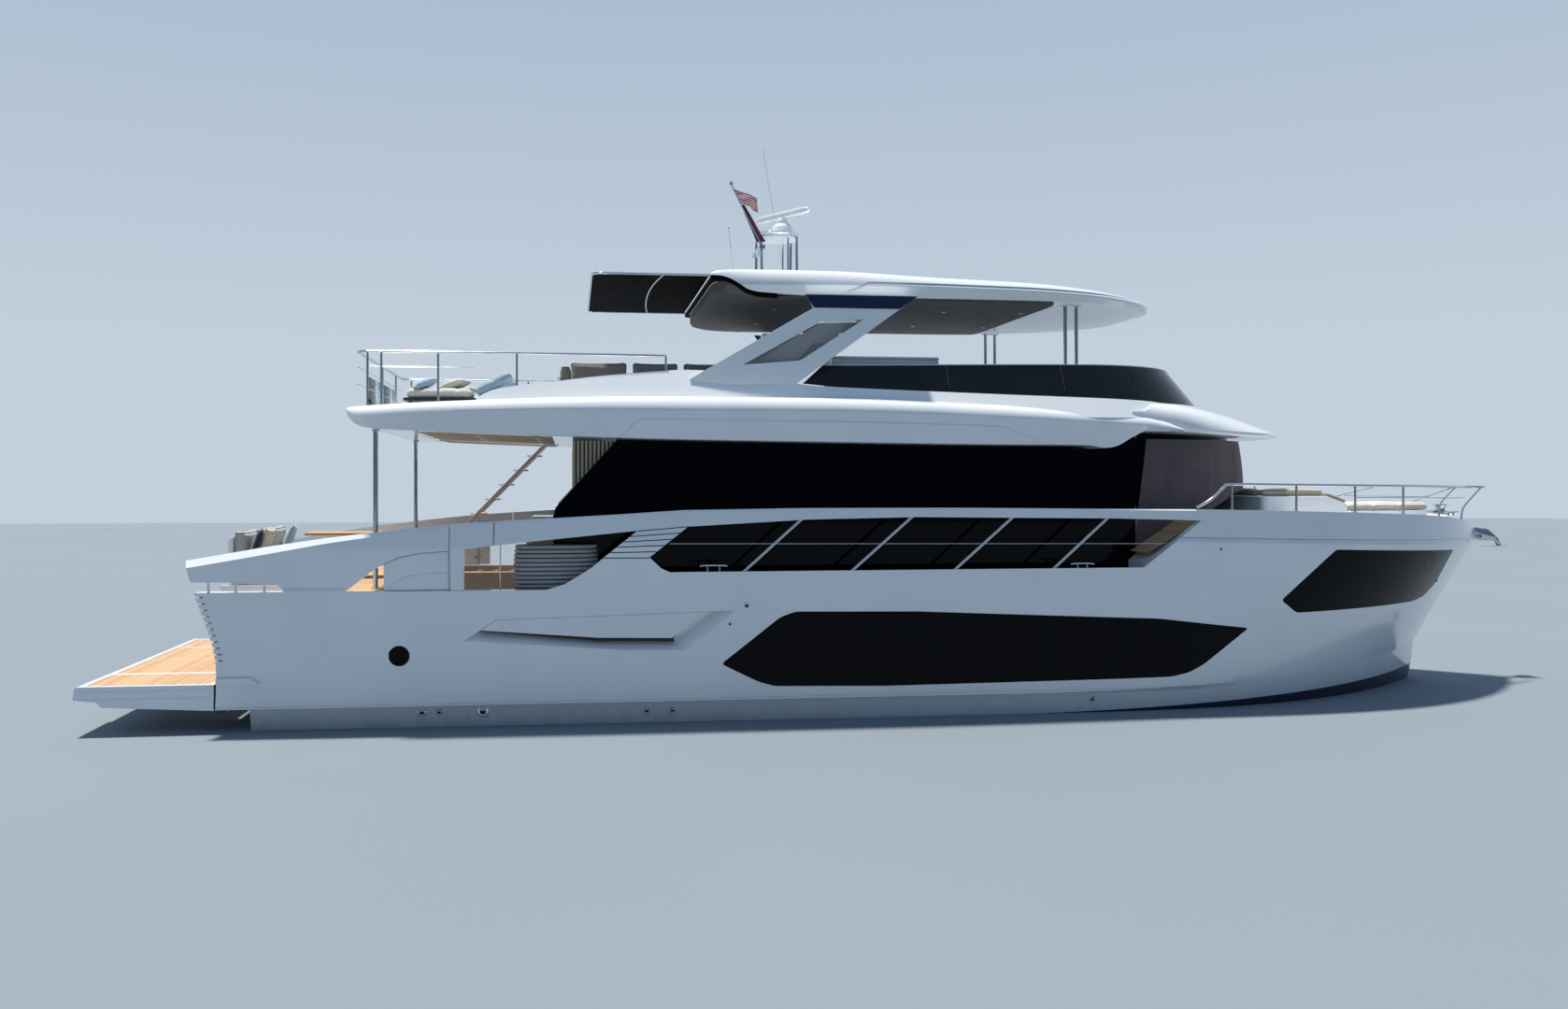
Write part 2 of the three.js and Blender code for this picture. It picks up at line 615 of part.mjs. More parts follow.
const ARCH = [
  [-3020, 4975], [-1120, 6085], [-1200, 6249], [360, 6249], [210, 6110], [-1430, 4930], [-1570, 4820],
];
const ARCH_HOLE = [[-2230, 5200], [-1050, 5860], [-420, 5890], [-1380, 5270]];

function arch() {
  const plate = side(ARCH, 2180, 2500, [ARCH_HOLE]);
  const below = common(coamingForm(GAP), side(coamingTop(GAP), -4000, 4000));
  return cut(plate, below);
}

// Hardtop: sections along the boat
const HARDTOP_STATIONS = [
  { x: -2650, half: 2130, top: 6610, edge: 6480, under: 6400, shoulder: 0.985 },
  { x: -2450, half: 2180, top: 6655, edge: 6440, under: 6300, shoulder: 0.96 },
  { x: -1940, half: 2210, top: 6680, edge: 6420, under: TOP_Z, shoulder: 0.92 },
  { x: -600, half: 2220, top: 6680, edge: 6440, under: TOP_Z },
  { x: 750, half: 2210, top: 6620, edge: 6430, under: TOP_Z },
  { x: 2300, half: 2180, top: 6570, edge: 6400, under: TOP_Z },
  { x: 3200, half: 2050, top: 6520, edge: 6370, under: TOP_Z },
  { x: 3900, half: 1780, top: 6470, edge: 6340, under: TOP_Z },
  { x: 4450, half: 1380, top: 6430, edge: 6330, under: TOP_Z + 10 },
  { x: 4800, half: 900, top: 6400, edge: 6325, under: TOP_Z + 30 },
  { x: 4980, half: 300, top: 6370, edge: 6320, under: TOP_Z + 50 },
];

function hardtop() {
  return loft(HARDTOP_STATIONS.map(({ x, half, top, edge, under, shoulder = 0.9 }) => {
    const port = [[0, under], [half * 0.94, under], [half, edge], [half * shoulder, top]];
    const star = [...port].reverse().map(([y, z]) => [-y, z]);
    return [...port, [0, top + 15], ...star.slice(0, -1)].map(([y, z]) => [x, y, z]);
  }));
}

const AWNING = { fore: -2650 - GAP, aft: -4420, half: 2060, z: 6560, thick: 24, tube: 18 };

function awning() {
  const { fore, aft, half, z, thick, tube } = AWNING;
  const rim = tube + GAP;
  return box(aft + rim, fore - 20, -half + rim, half - rim, z - thick / 2, z + thick / 2);
}

function awningFrame() {
  const { fore, aft, half, z, tube } = AWNING;
  const sides = [-half, half].map((y) => rod([fore, y, z], [aft, y, z], tube, 8));
  return join(...sides, rod([aft, -half - tube, z], [aft, half + tube, z], tube, 8));
}

function pole(x, y, z0, z1, radius) {
  return join(rod([x, y, z0], [x, y, z1], radius, 12), rod([x, y, z0], [x, y, z0 + 12], radius * 2, 16));
}

function frontPoles() {
  const y = 1850;
  const [x0, x1] = [2970, 3150];
  const foot = box(x0 - 70, x1 + 70, y - 60, y + 60, FLY_Z + GAP, FLY_Z + 15);
  const shafts = [x0, x1].map((x) => rod([x, y, FLY_Z + GAP], [x, y, TOP_Z - GAP], 28, 12));
  return join(foot, ...shafts);
}

function cockpitPole() {
  return pole(-7500, 2280, DECK_Z + GAP, underAt(-7470) - GAP, 28);
}

// Mast, scanner and aerials on the hardtop
const MAST = { x: -1205, top: 7580, roof: 6695 + GAP, legs: [-400, 190] };

function mast() {
  const { x, top, roof, legs } = MAST;
  const [aft, fore] = legs;
  const feet = legs.flatMap((dx) => [-330, 330].map((y) => [dx, y]));
  const bars = feet.map(([dx, y]) => rod([x + dx, y, roof + 10], [x + dx, y * 0.8, top - 20], 24, 8));
  const plate = box(x + aft - 60, x + fore + 60, -420, 420, roof, roof + 25);
  const deck = box(x + aft - 40, x + fore + 40, -310, 310, top - 45, top);
  const block = box(x - 170, x + 170, -150, 150, top - 10, top + 190);
  const bearing = rod([x, 0, top + 180], [x, 0, top + 270], 110, 20);
  const arm = box(-1010, -910, 400, 1000, roof, roof + 25);
  const aerial = rod([-949, 960, roof + 10], [-1381, 960, 9320], 9, 6);
  const bracket = box(x + aft - 70, x + aft + 20, -540, 300, top - 290, top - 230);
  const flagstaff = rod([-1635, -510, top - 260], [-2138, -510, 8320], 13, 8);
  return join(plate, ...bars, deck, block, bearing, arm, aerial, bracket, flagstaff);
}

const SCANNER_TURN = -56; // how far the scanner bar stands from the centreline, degrees

function scanner() {
  const { x, top } = MAST;
  const bar = box(-650, 650, -65, 65, top + 320, top + 430).rotate([0, 0, SCANNER_TURN]);
  const hub = rod([0, 0, top + 270 + GAP], [0, 0, top + 330], 80, 20);
  return join(bar, hub).translate([x, 0, 0]);
}

// Pods under the hull, each with two propellers turning opposite ways ahead of it
const POD = { x: -7350, y: 1150, top: -760, axisZ: -1320, nose: 400 };
const HUB = 75; // half the length of a propeller hub
const PROPS = {
  aft: { x: POD.x + POD.nose + HUB + 0.5, radius: 330 },
  fore: { x: POD.x + POD.nose + 3 * HUB + 1, radius: 300 },
};

function pod() {
  const { x, y, top, axisZ, nose } = POD;
  const fin = [[x - 300, axisZ], [x - 250, top - 30], [x + 330, top - 30], [x + 380, axisZ]];
  const leg = side(fin, y - 70, y + 70);
  const bulb = [[-520, 0], [-500, 60], [-300, 150], [250, 165], [nose - 20, 130], [nose, 110], [nose, 0]];
  const body = turned(bulb, 20, [x, y, axisZ]);
  const plate = rod([x, y, top - 45], [x, y, top - GAP], 235, 24);
  return join(leg, body, plate);
}

function propeller({ x, radius }, count, hand) {
  const hub = turned([[-HUB, 0], [-HUB, 108], [HUB, 96], [HUB, 0]], 18, [0, 0, 0]);
  const outline = [
    [-40, 60], [40, 60], [radius * 0.33, radius * 0.55], [radius * 0.26, radius * 0.88], [0, radius],
    [-radius * 0.24, radius * 0.86], [-radius * 0.28, radius * 0.5],
  ];
  const blades = Array.from({ length: count }, (_, i) => {
    const geometry = extruded(outline, 14);
    geometry.translate(0, 0, -7);
    geometry.rotateY(hand * Math.PI * 0.32);
    geometry.rotateX((i / count) * Math.PI * 2);
    return solidFrom(geometry);
  });
  const swept = common(join(...blades), box(-HUB, HUB, -radius, radius, -radius, radius));
  return join(hub, swept).translate([x, POD.y, POD.axisZ]);
}

// Bathing platform: fixed wings at the quarters, a lifting middle between them on two arms
const PLATFORM = { aft: -11450, fore: -9600 - GAP, split: 1470, out: 2610 };
const LIFT = {
  half: 1455, fore: -9700, deck: 110, hullX: -9320, hullZ: 120, elbowX: -9764, elbowZ: -198,
  deckX: -10350, deckZ: 450, armY: 900, shaft: 26,
};

function platformWing() {
  const { aft, fore, split, out } = PLATFORM;
  const outline = [
    [fore, 320], [fore, PLATFORM_Z], [aft + 30, PLATFORM_Z],
    [aft - 20, 505], [aft + 290, 465], [aft + 350, 395],
  ];
  return side(outline, split, out);
}

function liftPlatform() {
  const { half, fore, deck, deckX, deckZ, armY } = LIFT;
  const under = PLATFORM_Z - deck;
  const lug = [
    [deckX - 90, under + 5], [deckX + 90, under + 5], [deckX + 45, deckZ - 45], [deckX - 45, deckZ - 45],
  ];
  const lugs = [-armY - 60, -armY + 30, armY - 60, armY + 30].map((y) => side(lug, y, y + 30));
  const aft = PLATFORM.aft + 10;
  const slab = [[aft, under], [aft + 20, PLATFORM_Z], [fore, PLATFORM_Z], [fore, under]];
  const edge = side(slab, -half, half);
  const pins = [-armY, armY].map((y) => rod([deckX, y - 60, deckZ], [deckX, y + 60, deckZ], 14, 16));
  return join(edge, ...lugs, ...pins);
}

// A flat bar between two places seen from the side, as wide as its two half widths
function link([x0, z0], [x1, z1], [half0, half1], y, thick) {
  const length = Math.hypot(x1 - x0, z1 - z0);
  const [nx, nz] = [-(z1 - z0) / length, (x1 - x0) / length];
  const outline = [
    [x0 + nx * half0, z0 + nz * half0], [x1 + nx * half1, z1 + nz * half1],
    [x1 - nx * half1, z1 - nz * half1], [x0 - nx * half0, z0 - nz * half0],
  ];
  return side(outline, y - thick, y + thick);
}

// Each arm has an eye round the pin at either end, and an elbow that clears the platform when it is down
function liftArms() {
  const { hullX, hullZ, elbowX, elbowZ, deckX, deckZ, armY, shaft } = LIFT;
  const thick = 24;
  const arms = [-armY, armY].map((y) => {
    const bars = join(
      link([deckX, deckZ], [elbowX, elbowZ], [30, 44], y, thick),
      link([elbowX, elbowZ], [hullX, hullZ], [44, 40], y, thick),
    );
    const eyes = [[deckX, deckZ, 34], [elbowX, elbowZ, 44], [hullX, hullZ, 42]].map(([x, z, radius]) =>
      rod([x, y - thick, z], [x, y + thick, z], radius, 20));
    return cut(join(bars, ...eyes), rod([deckX, y - 30, deckZ], [deckX, y + 30, deckZ], 15, 16));
  });
  return join(...arms, rod([hullX, -armY - 64, hullZ], [hullX, armY + 64, hullZ], shaft, 24));
}

// The garage door swings up on knuckles along its top edge
const DOOR_HINGE = { x: -9812, z: 1786, radius: 12, pin: 6, places: [-900, 0, 900], width: 40 };

function garageDoor() {
  const { x, z, radius, pin, places, width } = DOOR_HINGE;
  const [low, high] = [GARAGE.floor + RUN, GARAGE.roof - RUN];
  const faceAt = (level) => -9592 - (level > 1100 ? ((level - 1100) * 250) / 860 : 0);
  const outline = [
    [faceAt(low), low], [faceAt(1100), 1100], [faceAt(high), high],
    [faceAt(high) + 60, high], [faceAt(1100) + 60, 1100], [faceAt(low) + 60, low],
  ];
  const leaf = side(outline, -GARAGE.half + RUN, GARAGE.half - RUN);
  const straps = places.flatMap((y) => [
    rod([x, y + GAP, z], [x, y + width, z], radius, 20),
    box(x - radius, x + 45, y + GAP, y + width, z - 50, z - radius + 6),
    rod([x, y - width, z], [x, y + 10, z], pin, 16),
  ]);
  return join(leaf, ...straps);
}

// Knuckles on the transom that carry the garage door
function transomKnuckles() {
  const { x, z, radius, pin, places, width } = DOOR_HINGE;
  const parts = places.flatMap((y) => [
    rod([x, y - width, z], [x, y, z], radius, 20),
    box(x, x + 60, y - width, y, z - 4, z + radius),
  ]);
  return cut(join(...parts), rod([x, -2000, z], [x, 2000, z], pin + GAP, 16));
}

function engines() {
  const { floor } = ENGINE_ROOM;
  const block = box(-7100, -5600, 600, 1500, floor + GAP, floor + 1080);
  return join(block, mirror(block), box(-6450, -6250, -700, 700, floor + GAP, floor + 120));
}

// Furniture
function cushion(x0, x1, y0, y1, z0, z1, r = 40) {
  const outline = [
    [x0 + r, y0], [x1 - r, y0], [x1, y0 + r], [x1, y1 - r],
    [x1 - r, y1], [x0 + r, y1], [x0, y1 - r], [x0, y0 + r],
  ];
  return plan(outline, z0, z1);
}

function table(x, y, floor, height, length, width) {
  const [dx, dy] = [length / 2, width / 2];
  const top = cushion(x - dx, x + dx, y - dy, y + dy, floor + height - 40, floor + height, 80);
  const foot = rod([x, y, floor + GAP], [x, y, floor + 20], 200, 20);
  return join(top, foot, rod([x, y, floor + 10], [x, y, floor + height - 30], 60, 12));
}

function cockpitSofa() {
  const seat = cushion(-9720, -8950, -1400, 1400, DECK_Z + GAP, DECK_Z + 430);
  return join(seat, cushion(-9760, -9540, -1400, 1400, DECK_Z + GAP, DECK_Z + 830));
}

function flySofa() {
  const seat = cushion(-4900, -4200, -1700, 1700, FLY_Z + GAP, FLY_Z + 430);
  const back = cushion(-4960, -4760, -1700, 1700, FLY_Z + GAP, FLY_Z + 950);
  const arms = [[-1850, -1250], [1250, 1850]].map(([y0, y1]) =>
    cushion(-4300, -2300, y0, y1, FLY_Z + GAP, FLY_Z + 430));
  return join(seat, back, ...arms);
}

function helmConsole() {
  const outline = [[4050, FLY_Z + GAP], [4050, 5050], [4350, 5240], [4950, 5150], [4950, FLY_Z + GAP]];
  return side(outline, -900, 900);
}

function helmSeats() {
  const seat = join(
    rod([3350, 520, FLY_Z + 50], [3350, 520, FLY_Z + 600], 90, 16),
    cushion(3100, 3650, 230, 810, FLY_Z + 560, FLY_Z + 700),
    cushion(3040, 3180, 230, 810, FLY_Z + 600, FLY_Z + 1250),
  );
  return join(seat, mirror(seat), cushion(3150, 3550, -800, 800, FLY_Z + GAP, FLY_Z + 80));
}

function foreSeat() {
  const outer = plan([[6480, -1500], [8150, -1300], [8150, 1300], [6480, 1500]], FORE_Z + GAP, FORE_Z + 490);
  return cut(outer, plan([[7150, -900], [8300, -850], [8300, 850], [7150, 900]], FORE_Z - 100, FORE_Z + 600),
    plan([[6700, -1250], [8300, -1080], [8300, 1080], [6700, 1250]], FORE_Z + 260, FORE_Z + 600));
}

function foreSunpad() {
  const outline = [[8300, -1080], [10050, -640], [10150, -500], [10150, 500], [10050, 640], [8300, 1080]];
  return plan(outline, FORE_Z + GAP, FORE_Z + 230);
}

// Stairs from the cockpit up to the flybridge, to port
const STEPS = { x0: -7150, x1: -5000, y0: 1050, y1: 1750, count: 9 };

function flyStairs() {
  const { x0, x1, y0, y1, count } = STEPS;
  const run = (x1 - x0) / count;
  const rise = (FLY_Z - DECK_Z) / (count + 1);
  const treads = Array.from({ length: count }, (_, i) => {
    const [x, z] = [x0 + i * run, DECK_Z + (i + 1) * rise];
    return box(x, x + run + 20, y0, y1, z - 40, z);
  });
  const [foot, head] = [DECK_Z + GAP, FLY_Z - rise];
  const stringer = [
    [x0, foot], [x0 + 220, foot], [x1 + 20, head - 40],
    [x1 + 20, head], [x1 - 120, head], [x0, DECK_Z + rise],
  ];
  return join(...treads, side(stringer, y0 - 25, y0 + 15), side(stringer, y1 - 15, y1 + 25));
}

// Rails
function topAt(x) {
  const i = UPPER_STATIONS.findIndex((station) => station.x >= x);
  const [a, b] = [UPPER_STATIONS[i - 1], UPPER_STATIONS[i]];
  return a.top + ((b.top - a.top) * (x - a.x)) / (b.x - a.x);
}

function coamingTopAt(x) {
  const i = COAMING_TOP.findIndex(([at]) => at >= x);
  const [[x0, z0], [x1, z1]] = [COAMING_TOP[i - 1], COAMING_TOP[i]];
  return z0 + ((z1 - z0) * (x - x0)) / (x1 - x0);
}

const FLY_RAIL = { top: 5335, y: 2400, aft: -7740, fore: -3350 };

function flyRail() {
  const { top, y, aft, fore } = FLY_RAIL;
  const loop = [[fore, y - 30, top - 10], [-5500, y + 20, top], [aft + 150, y, top], [aft, y - 150, top]];
  const ring = [...loop, ...loop.map(([x, side0, z]) => [x, -side0, z]).reverse()];
  const posts = [];
  for (const sign of [-1, 1]) {
    for (const x of [aft + 150, -7400, -6610]) posts.push([x, sign * y, topAt(x + 17) + 1.6, top]);
    for (const x of [-5500, fore]) {
      posts.push([x, sign * (x < -5000 ? y + 20 : y - 30), coamingTopAt(x + 17) + GAP, top]);
    }
  }
  for (const yPost of [-1500, 0, 1500]) posts.push([aft, yPost, FLY_Z + GAP, top]);
  const rods = posts.map(([x, py, z, high]) => rod([x, py, z], [x, py, high - 5], 16, 12));
  return join(tube(ring, 19), ...rods);
}

const BOW_RAIL = { top: 3440, inset: 110, from: 5900, xs: [5900, 6650, 7750, 8800, 9800, 10500, 11000] };

// Half breadth of the deck edge at a place along the boat, drawn in by the rail's inset
function deckEdge(x) {
  const line = HULL_LINES[8];
  const s = (x - line.aft[0]) / (line.stem[0] - line.aft[0]);
  return Math.max(0, hullPoint(line, s, 0)[1] - BOW_RAIL.inset * (1 + Math.max(0, (x - 8500) / 3000)));
}

function bowRail() {
  const { top, xs } = BOW_RAIL;
  const path = xs.map((x) => [x, deckEdge(x), top - (x - 5900) * 0.008]);
  const start = [5230, deckEdge(5230), capHeight(5230) + 24];
  const tip = [11450, 160, top - 45];
  const all = [start, ...path, tip];
  const posts = path.map(([x, y, z]) => rod([x, y, z - 3], [x, y, capHeight(x - 14) + GAP], 14, 12));
  const middle = path.slice(2).map(([x, y, z]) => [x, y, z - 190]);
  return join(tube(all, 17), tube(middle, 8, 6), ...posts);
}

const ROLLER = { floor: 2550, half: 90 };

function bowRoller() {
  const low = ROLLER.floor + GAP;
  const cheek = [
    [11150, low], [11150, 2700], [11650, 2640], [11820, 2500], [11820, 2430], [11560, 2430], [11530, low],
  ];
  const sole = box(11150, 11480, -ROLLER.half, ROLLER.half, low, low + 12);
  const wheel = rod([11740, -85, 2480], [11740, 85, 2480], 33, 24);
  return join(side(cheek, -ROLLER.half, -70), side(cheek, 70, ROLLER.half), sole, wheel);
}

function anchor() {
  const bend = [[11300, 2640], [11310, 2680], [11700, 2610], [11900, 2480], [11860, 2440], [11680, 2560]];
  const shank = side(bend, -18, 18);
  const fluke = plan([[11600, 0], [11900, -210], [12040, 0], [11900, 210]], 2330, 2350);
  return join(shank, fluke, side([[11860, 2330], [11860, 2470], [11910, 2480], [12000, 2340]], -14, 14));
}

// Finishes
const FINISH = {
  gelcoat: { color: 0xf2f4f5, roughness: 0.25, metalness: 0 },
  glass: { color: 0x0b0f16, roughness: 0.08, metalness: 0.1 },
  teak: { color: 0xb98d62, roughness: 0.7, metalness: 0 },
  steel: { color: 0xc9cdd1, roughness: 0.2, metalness: 1 },
  canvas: { color: 0x14161a, roughness: 0.9, metalness: 0 },
  mesh: { color: 0x3b3d42, roughness: 0.95, metalness: 0 },
  cushion: { color: 0xe8e6e0, roughness: 0.85, metalness: 0 },
  bronze: { color: 0xa8894e, roughness: 0.35, metalness: 1 },
  dark: { color: 0x2a2d31, roughness: 0.6, metalness: 0.2 },
};

const group = new THREE.Group();
group.name = "motor_yacht";

function add(name, solid, finish) {
  const mesh = new THREE.Mesh(geometryOf(solid), new THREE.MeshStandardMaterial(FINISH[finish]));
  mesh.name = name;
  group.add(mesh);
}

function addPair(name, solid, finish) {
  add(`${name}_port`, solid, finish);
  add(`${name}_starboard`, mirror(solid), finish);
}

add("hull", hull(), "gelcoat");
addPair("hull_window", hullPane(LONG_WINDOW), "glass");
addPair("bow_window", hullPane(BOW_WINDOW), "glass");
addPair("quarter_wing", wing(), "gelcoat");
addPair("boarding_gate", gate(), "gelcoat");
addPair("bulwark", bulwark(), "gelcoat");
addPair("platform_wing", platformWing(), "gelcoat");
add("lift_platform", liftPlatform(), "teak");
add("lift_arms", liftArms(), "steel");
add("garage_door", garageDoor(), "gelcoat");
add("engines", engines(), "dark");
add("deckhouse", deckhouse(), "gelcoat");
addPair("saloon_glass", sideGlass(), "glass");
add("windscreen", windscreen(), "glass");
add("windscreen_cover", screenCover(), "mesh");
add("aft_glass", aftGlass(), "glass");
add("sliding_door", slidingDoor(), "glass");
add("upper_deck", upperDeck(), "gelcoat");
add("fly_coaming", coaming(), "gelcoat");
add("fly_windscreen", flyScreen(), "glass");
addPair("arch", arch(), "gelcoat");
add("hardtop", hardtop(), "gelcoat");
add("awning_frame", awningFrame(), "steel");
add("awning", awning(), "canvas");
addPair("front_poles", frontPoles(), "steel");
addPair("cockpit_pole", cockpitPole(), "steel");
add("mast", mast(), "gelcoat");
add("radar_scanner", scanner(), "gelcoat");
add("fly_rail", flyRail(), "steel");
addPair("bow_rail", bowRail(), "steel");
add("bow_roller", bowRoller(), "steel");
add("anchor", anchor(), "steel");
add("fly_stairs", flyStairs(), "gelcoat");
add("cockpit_sofa", cockpitSofa(), "cushion");
add("cockpit_table", table(-8250, 0, DECK_Z, 720, 1300, 700), "teak");
add("cockpit_cabinet", box(-5350, -4950, -500, 500, DECK_Z + GAP, 2930), "teak");
add("fly_sofa", flySofa(), "cushion");
add("fly_table", table(-2900, 0, FLY_Z, 700, 1200, 650), "teak");
add("fly_bar", cushion(-800, 900, -2000, -1400, FLY_Z + GAP, FLY_Z + 950), "gelcoat");
add("helm_console", helmConsole(), "gelcoat");
add("helm_seats", helmSeats(), "cushion");
add("fore_seat", foreSeat(), "cushion");
add("fore_sunpad", foreSunpad(), "cushion");
addPair("pod", pod(), "dark");
addPair("propeller_aft", propeller(PROPS.aft, 4, 1), "bronze");
addPair("propeller_fore", propeller(PROPS.fore, 3, -1), "bronze");

export default group;
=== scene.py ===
"""Looks of a 23 m flybridge motor yacht afloat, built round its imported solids.

Sizes are millimetres, as a yard gives them, with +X to the bow, +Y to port and +Z up from the
waterline. A mesh is turned to metres as it is made, so every piece lies in the frame of the solids.
"""

from __future__ import annotations

import logging
import math
from collections.abc import Iterable, Sequence
from dataclasses import dataclass
from enum import Enum
from typing import Any

import bmesh
import bpy
import numpy as np
from mathutils import Matrix, Vector
from mathutils.bvhtree import BVHTree


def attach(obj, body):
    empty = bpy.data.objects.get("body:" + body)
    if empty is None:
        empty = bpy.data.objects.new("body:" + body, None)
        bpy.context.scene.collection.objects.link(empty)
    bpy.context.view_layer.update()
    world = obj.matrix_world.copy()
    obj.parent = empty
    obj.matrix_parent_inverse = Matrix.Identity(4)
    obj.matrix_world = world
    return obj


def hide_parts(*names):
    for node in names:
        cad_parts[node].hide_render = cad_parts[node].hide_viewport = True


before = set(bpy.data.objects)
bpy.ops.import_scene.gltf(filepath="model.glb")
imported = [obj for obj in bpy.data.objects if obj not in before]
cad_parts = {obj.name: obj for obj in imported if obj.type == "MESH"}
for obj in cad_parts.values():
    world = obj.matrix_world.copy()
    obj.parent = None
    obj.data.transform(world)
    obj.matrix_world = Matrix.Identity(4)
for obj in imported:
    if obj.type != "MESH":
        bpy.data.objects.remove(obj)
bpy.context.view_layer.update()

LOG = logging.getLogger("yacht")
MM = 0.001
# What a seated piece leaves under it
GAP = 0.3
# Out past the side of the boat, for tools that cut right across her
FAR = 4000.0
Point = Sequence[float]
Outline = Sequence[Sequence[float]]
Line = tuple[tuple[float, float], ...]
Rows = tuple[tuple[float, ...], ...]
Node = bpy.types.ShaderNode
Piece = bpy.types.Object

PORT, STARBOARD = 1, -1
SIDES = {"port": PORT, "starboard": STARBOARD}
YACHT = "yacht"


# Meshes


def new_object(name: str, points: Iterable[Point], faces: Iterable[Sequence[int]]) -> Piece:
    """Makes a mesh object, merging points that coincide and turning its faces outward.

    Args:
        name: The object's name.
        points: Corners in millimetres.
        faces: Corner indices of each face.

    Returns:
        The new object, linked to the scene.
    """
    kept: dict[tuple[int, int, int], int] = {}
    place: list[int] = []
    corners: list[tuple[float, float, float]] = []
    for x, y, z in points:
        key = (round(x * 50), round(y * 50), round(z * 50))
        if key not in kept:
            kept[key] = len(corners)
            corners.append((x * MM, y * MM, z * MM))
        place.append(kept[key])
    rings = []
    for face in faces:
        ring: list[int] = []
        for index in face:
            if not ring or place[index] != ring[-1]:
                ring.append(place[index])
        if len(ring) > 1 and ring[0] == ring[-1]:
            ring.pop()
        if len(ring) == len(set(ring)) and len(ring) > 2:
            rings.append(ring)
    mesh = bpy.data.meshes.new(name)
    mesh.from_pydata(corners, [], rings)
    work = bmesh.new()
    work.from_mesh(mesh)
    bmesh.ops.recalc_face_normals(work, faces=work.faces)
    work.to_mesh(mesh)
    work.free()
    mesh.update()
    piece = bpy.data.objects.new(name, mesh)
    bpy.context.scene.collection.objects.link(piece)
    return piece


class Join(Enum):
    """How one solid meets another."""

    CUT = "DIFFERENCE"
    COMMON = "INTERSECT"
    ADD = "UNION"


def settled(piece: Piece) -> Piece:
    """Turns a piece's modifiers into its mesh.

    Args:
        piece: The piece, whose mesh is renewed.

    Returns:
        The same piece.
    """
    bpy.context.view_layer.update()
    shape = piece.evaluated_get(bpy.context.evaluated_depsgraph_get())
    mesh = bpy.data.meshes.new_from_object(shape)
    piece.modifiers.clear()
    old = piece.data
    piece.data = mesh
    bpy.data.meshes.remove(old)
    return piece


def meet(base: Piece, how: Join, *tools: Piece) -> Piece:
    """Cuts, joins or keeps the common part of a solid and its tools, and removes the tools.

    Args:
        base: The solid that is kept.
        how: What is done with each tool.
        tools: Closed solids.

    Returns:
        The base with its new mesh.
    """
    for tool in tools:
        step = base.modifiers.new("form", "BOOLEAN")
        step.object = tool
        step.operation = how.value
        step.solver = "MANIFOLD"
        settled(base)
        bpy.data.meshes.remove(tool.data)
    return base


def cut(base: Piece, *tools: Piece) -> Piece:
    """Cuts the tools out of a solid."""
    return meet(base, Join.CUT, *tools)


def common(base: Piece, *tools: Piece) -> Piece:
    """Keeps what a solid shares with its tools."""
    return meet(base, Join.COMMON, *tools)


def added(base: Piece, *tools: Piece) -> Piece:
    """Joins the tools to a solid."""
    return meet(base, Join.ADD, *tools)


def copied(piece: Piece) -> Piece:
    """Makes a second object with its own mesh.

    Args:
        piece: The piece that is copied.

    Returns:
        The copy.
    """
    twin = piece.copy()
    twin.data = piece.data.copy()
    bpy.context.scene.collection.objects.link(twin)
    return twin


def mirrored(piece: Piece, name: str = "") -> Piece:
    """Makes the same piece on the other side of the boat.

    Args:
        piece: The piece that is copied.
        name: The copy's name, or nothing to let one be made up.

    Returns:
        The mirrored copy.
    """
    twin = copied(piece)
    twin.data.transform(Matrix.Scale(-1, 4, (0, 1, 0)))
    twin.data.flip_normals()
    if name:
        twin.name = name
    return twin


def grid_faces(rows: int, columns: int, closed: bool) -> list[tuple[int, int, int, int]]:
    """Lists the faces of a grid of points kept row by row.

    Args:
        rows: How many rows there are.
        columns: How many points a row has.
        closed: Whether each row runs back to its first point.

    Returns:
        The faces.
    """
    last = columns if closed else columns - 1
    return [
        (r * columns + i, r * columns + (i + 1) % columns,
         (r + 1) * columns + (i + 1) % columns, (r + 1) * columns + i)
        for r in range(rows - 1) for i in range(last)
    ]


def loft(rings: Sequence[Sequence[Point]], name: str = "loft") -> Piece:
    """Skins rings of equal count into a closed solid.

    Args:
        rings: Rings of points in order along the solid.
        name: The solid's name.

    Returns:
        The solid.
    """
    count = len(rings[0])
    points = [tuple(p) for ring in rings for p in ring]
    faces: list[Sequence[int]] = list(grid_faces(len(rings), count, True))
    faces.append(list(range(count)))
    faces.append(list(range((len(rings) - 1) * count, len(rings) * count)))
    return new_object(name, points, faces)


def side(outline: Outline, y0: float, y1: float, name: str = "side") -> Piece:
    """Makes a solid from an outline in X and Z, carried across from y0 to y1."""
    return loft([[(x, y, z) for x, z in outline] for y in (y0, y1)], name)


def through(outline: Outline) -> Piece:
    """Makes a tool from an outline in X and Z that reaches right across the boat."""
    return side(outline, -FAR, FAR)


def plan(outline: Outline, z0: float, z1: float, name: str = "plan") -> Piece:
    """Makes a solid from an outline in X and Y, carried up from z0 to z1."""
    return loft([[(x, y, z) for x, y in outline] for z in (z0, z1)], name)


def oblong(x0: float, y0: float, x1: float, y1: float) -> list[tuple[float, float]]:
    """Lists the corners of an oblong."""
    return [(x0, y0), (x1, y0), (x1, y1), (x0, y1)]


def taper(x0: float, half0: float, x1: float, half1: float) -> list[tuple[float, float]]:
    """Lists the corners of a shape across the centreline, as wide aft and forward as it is told."""
    return [(x0, -half0), (x1, -half1), (x1, half1), (x0, half0)]


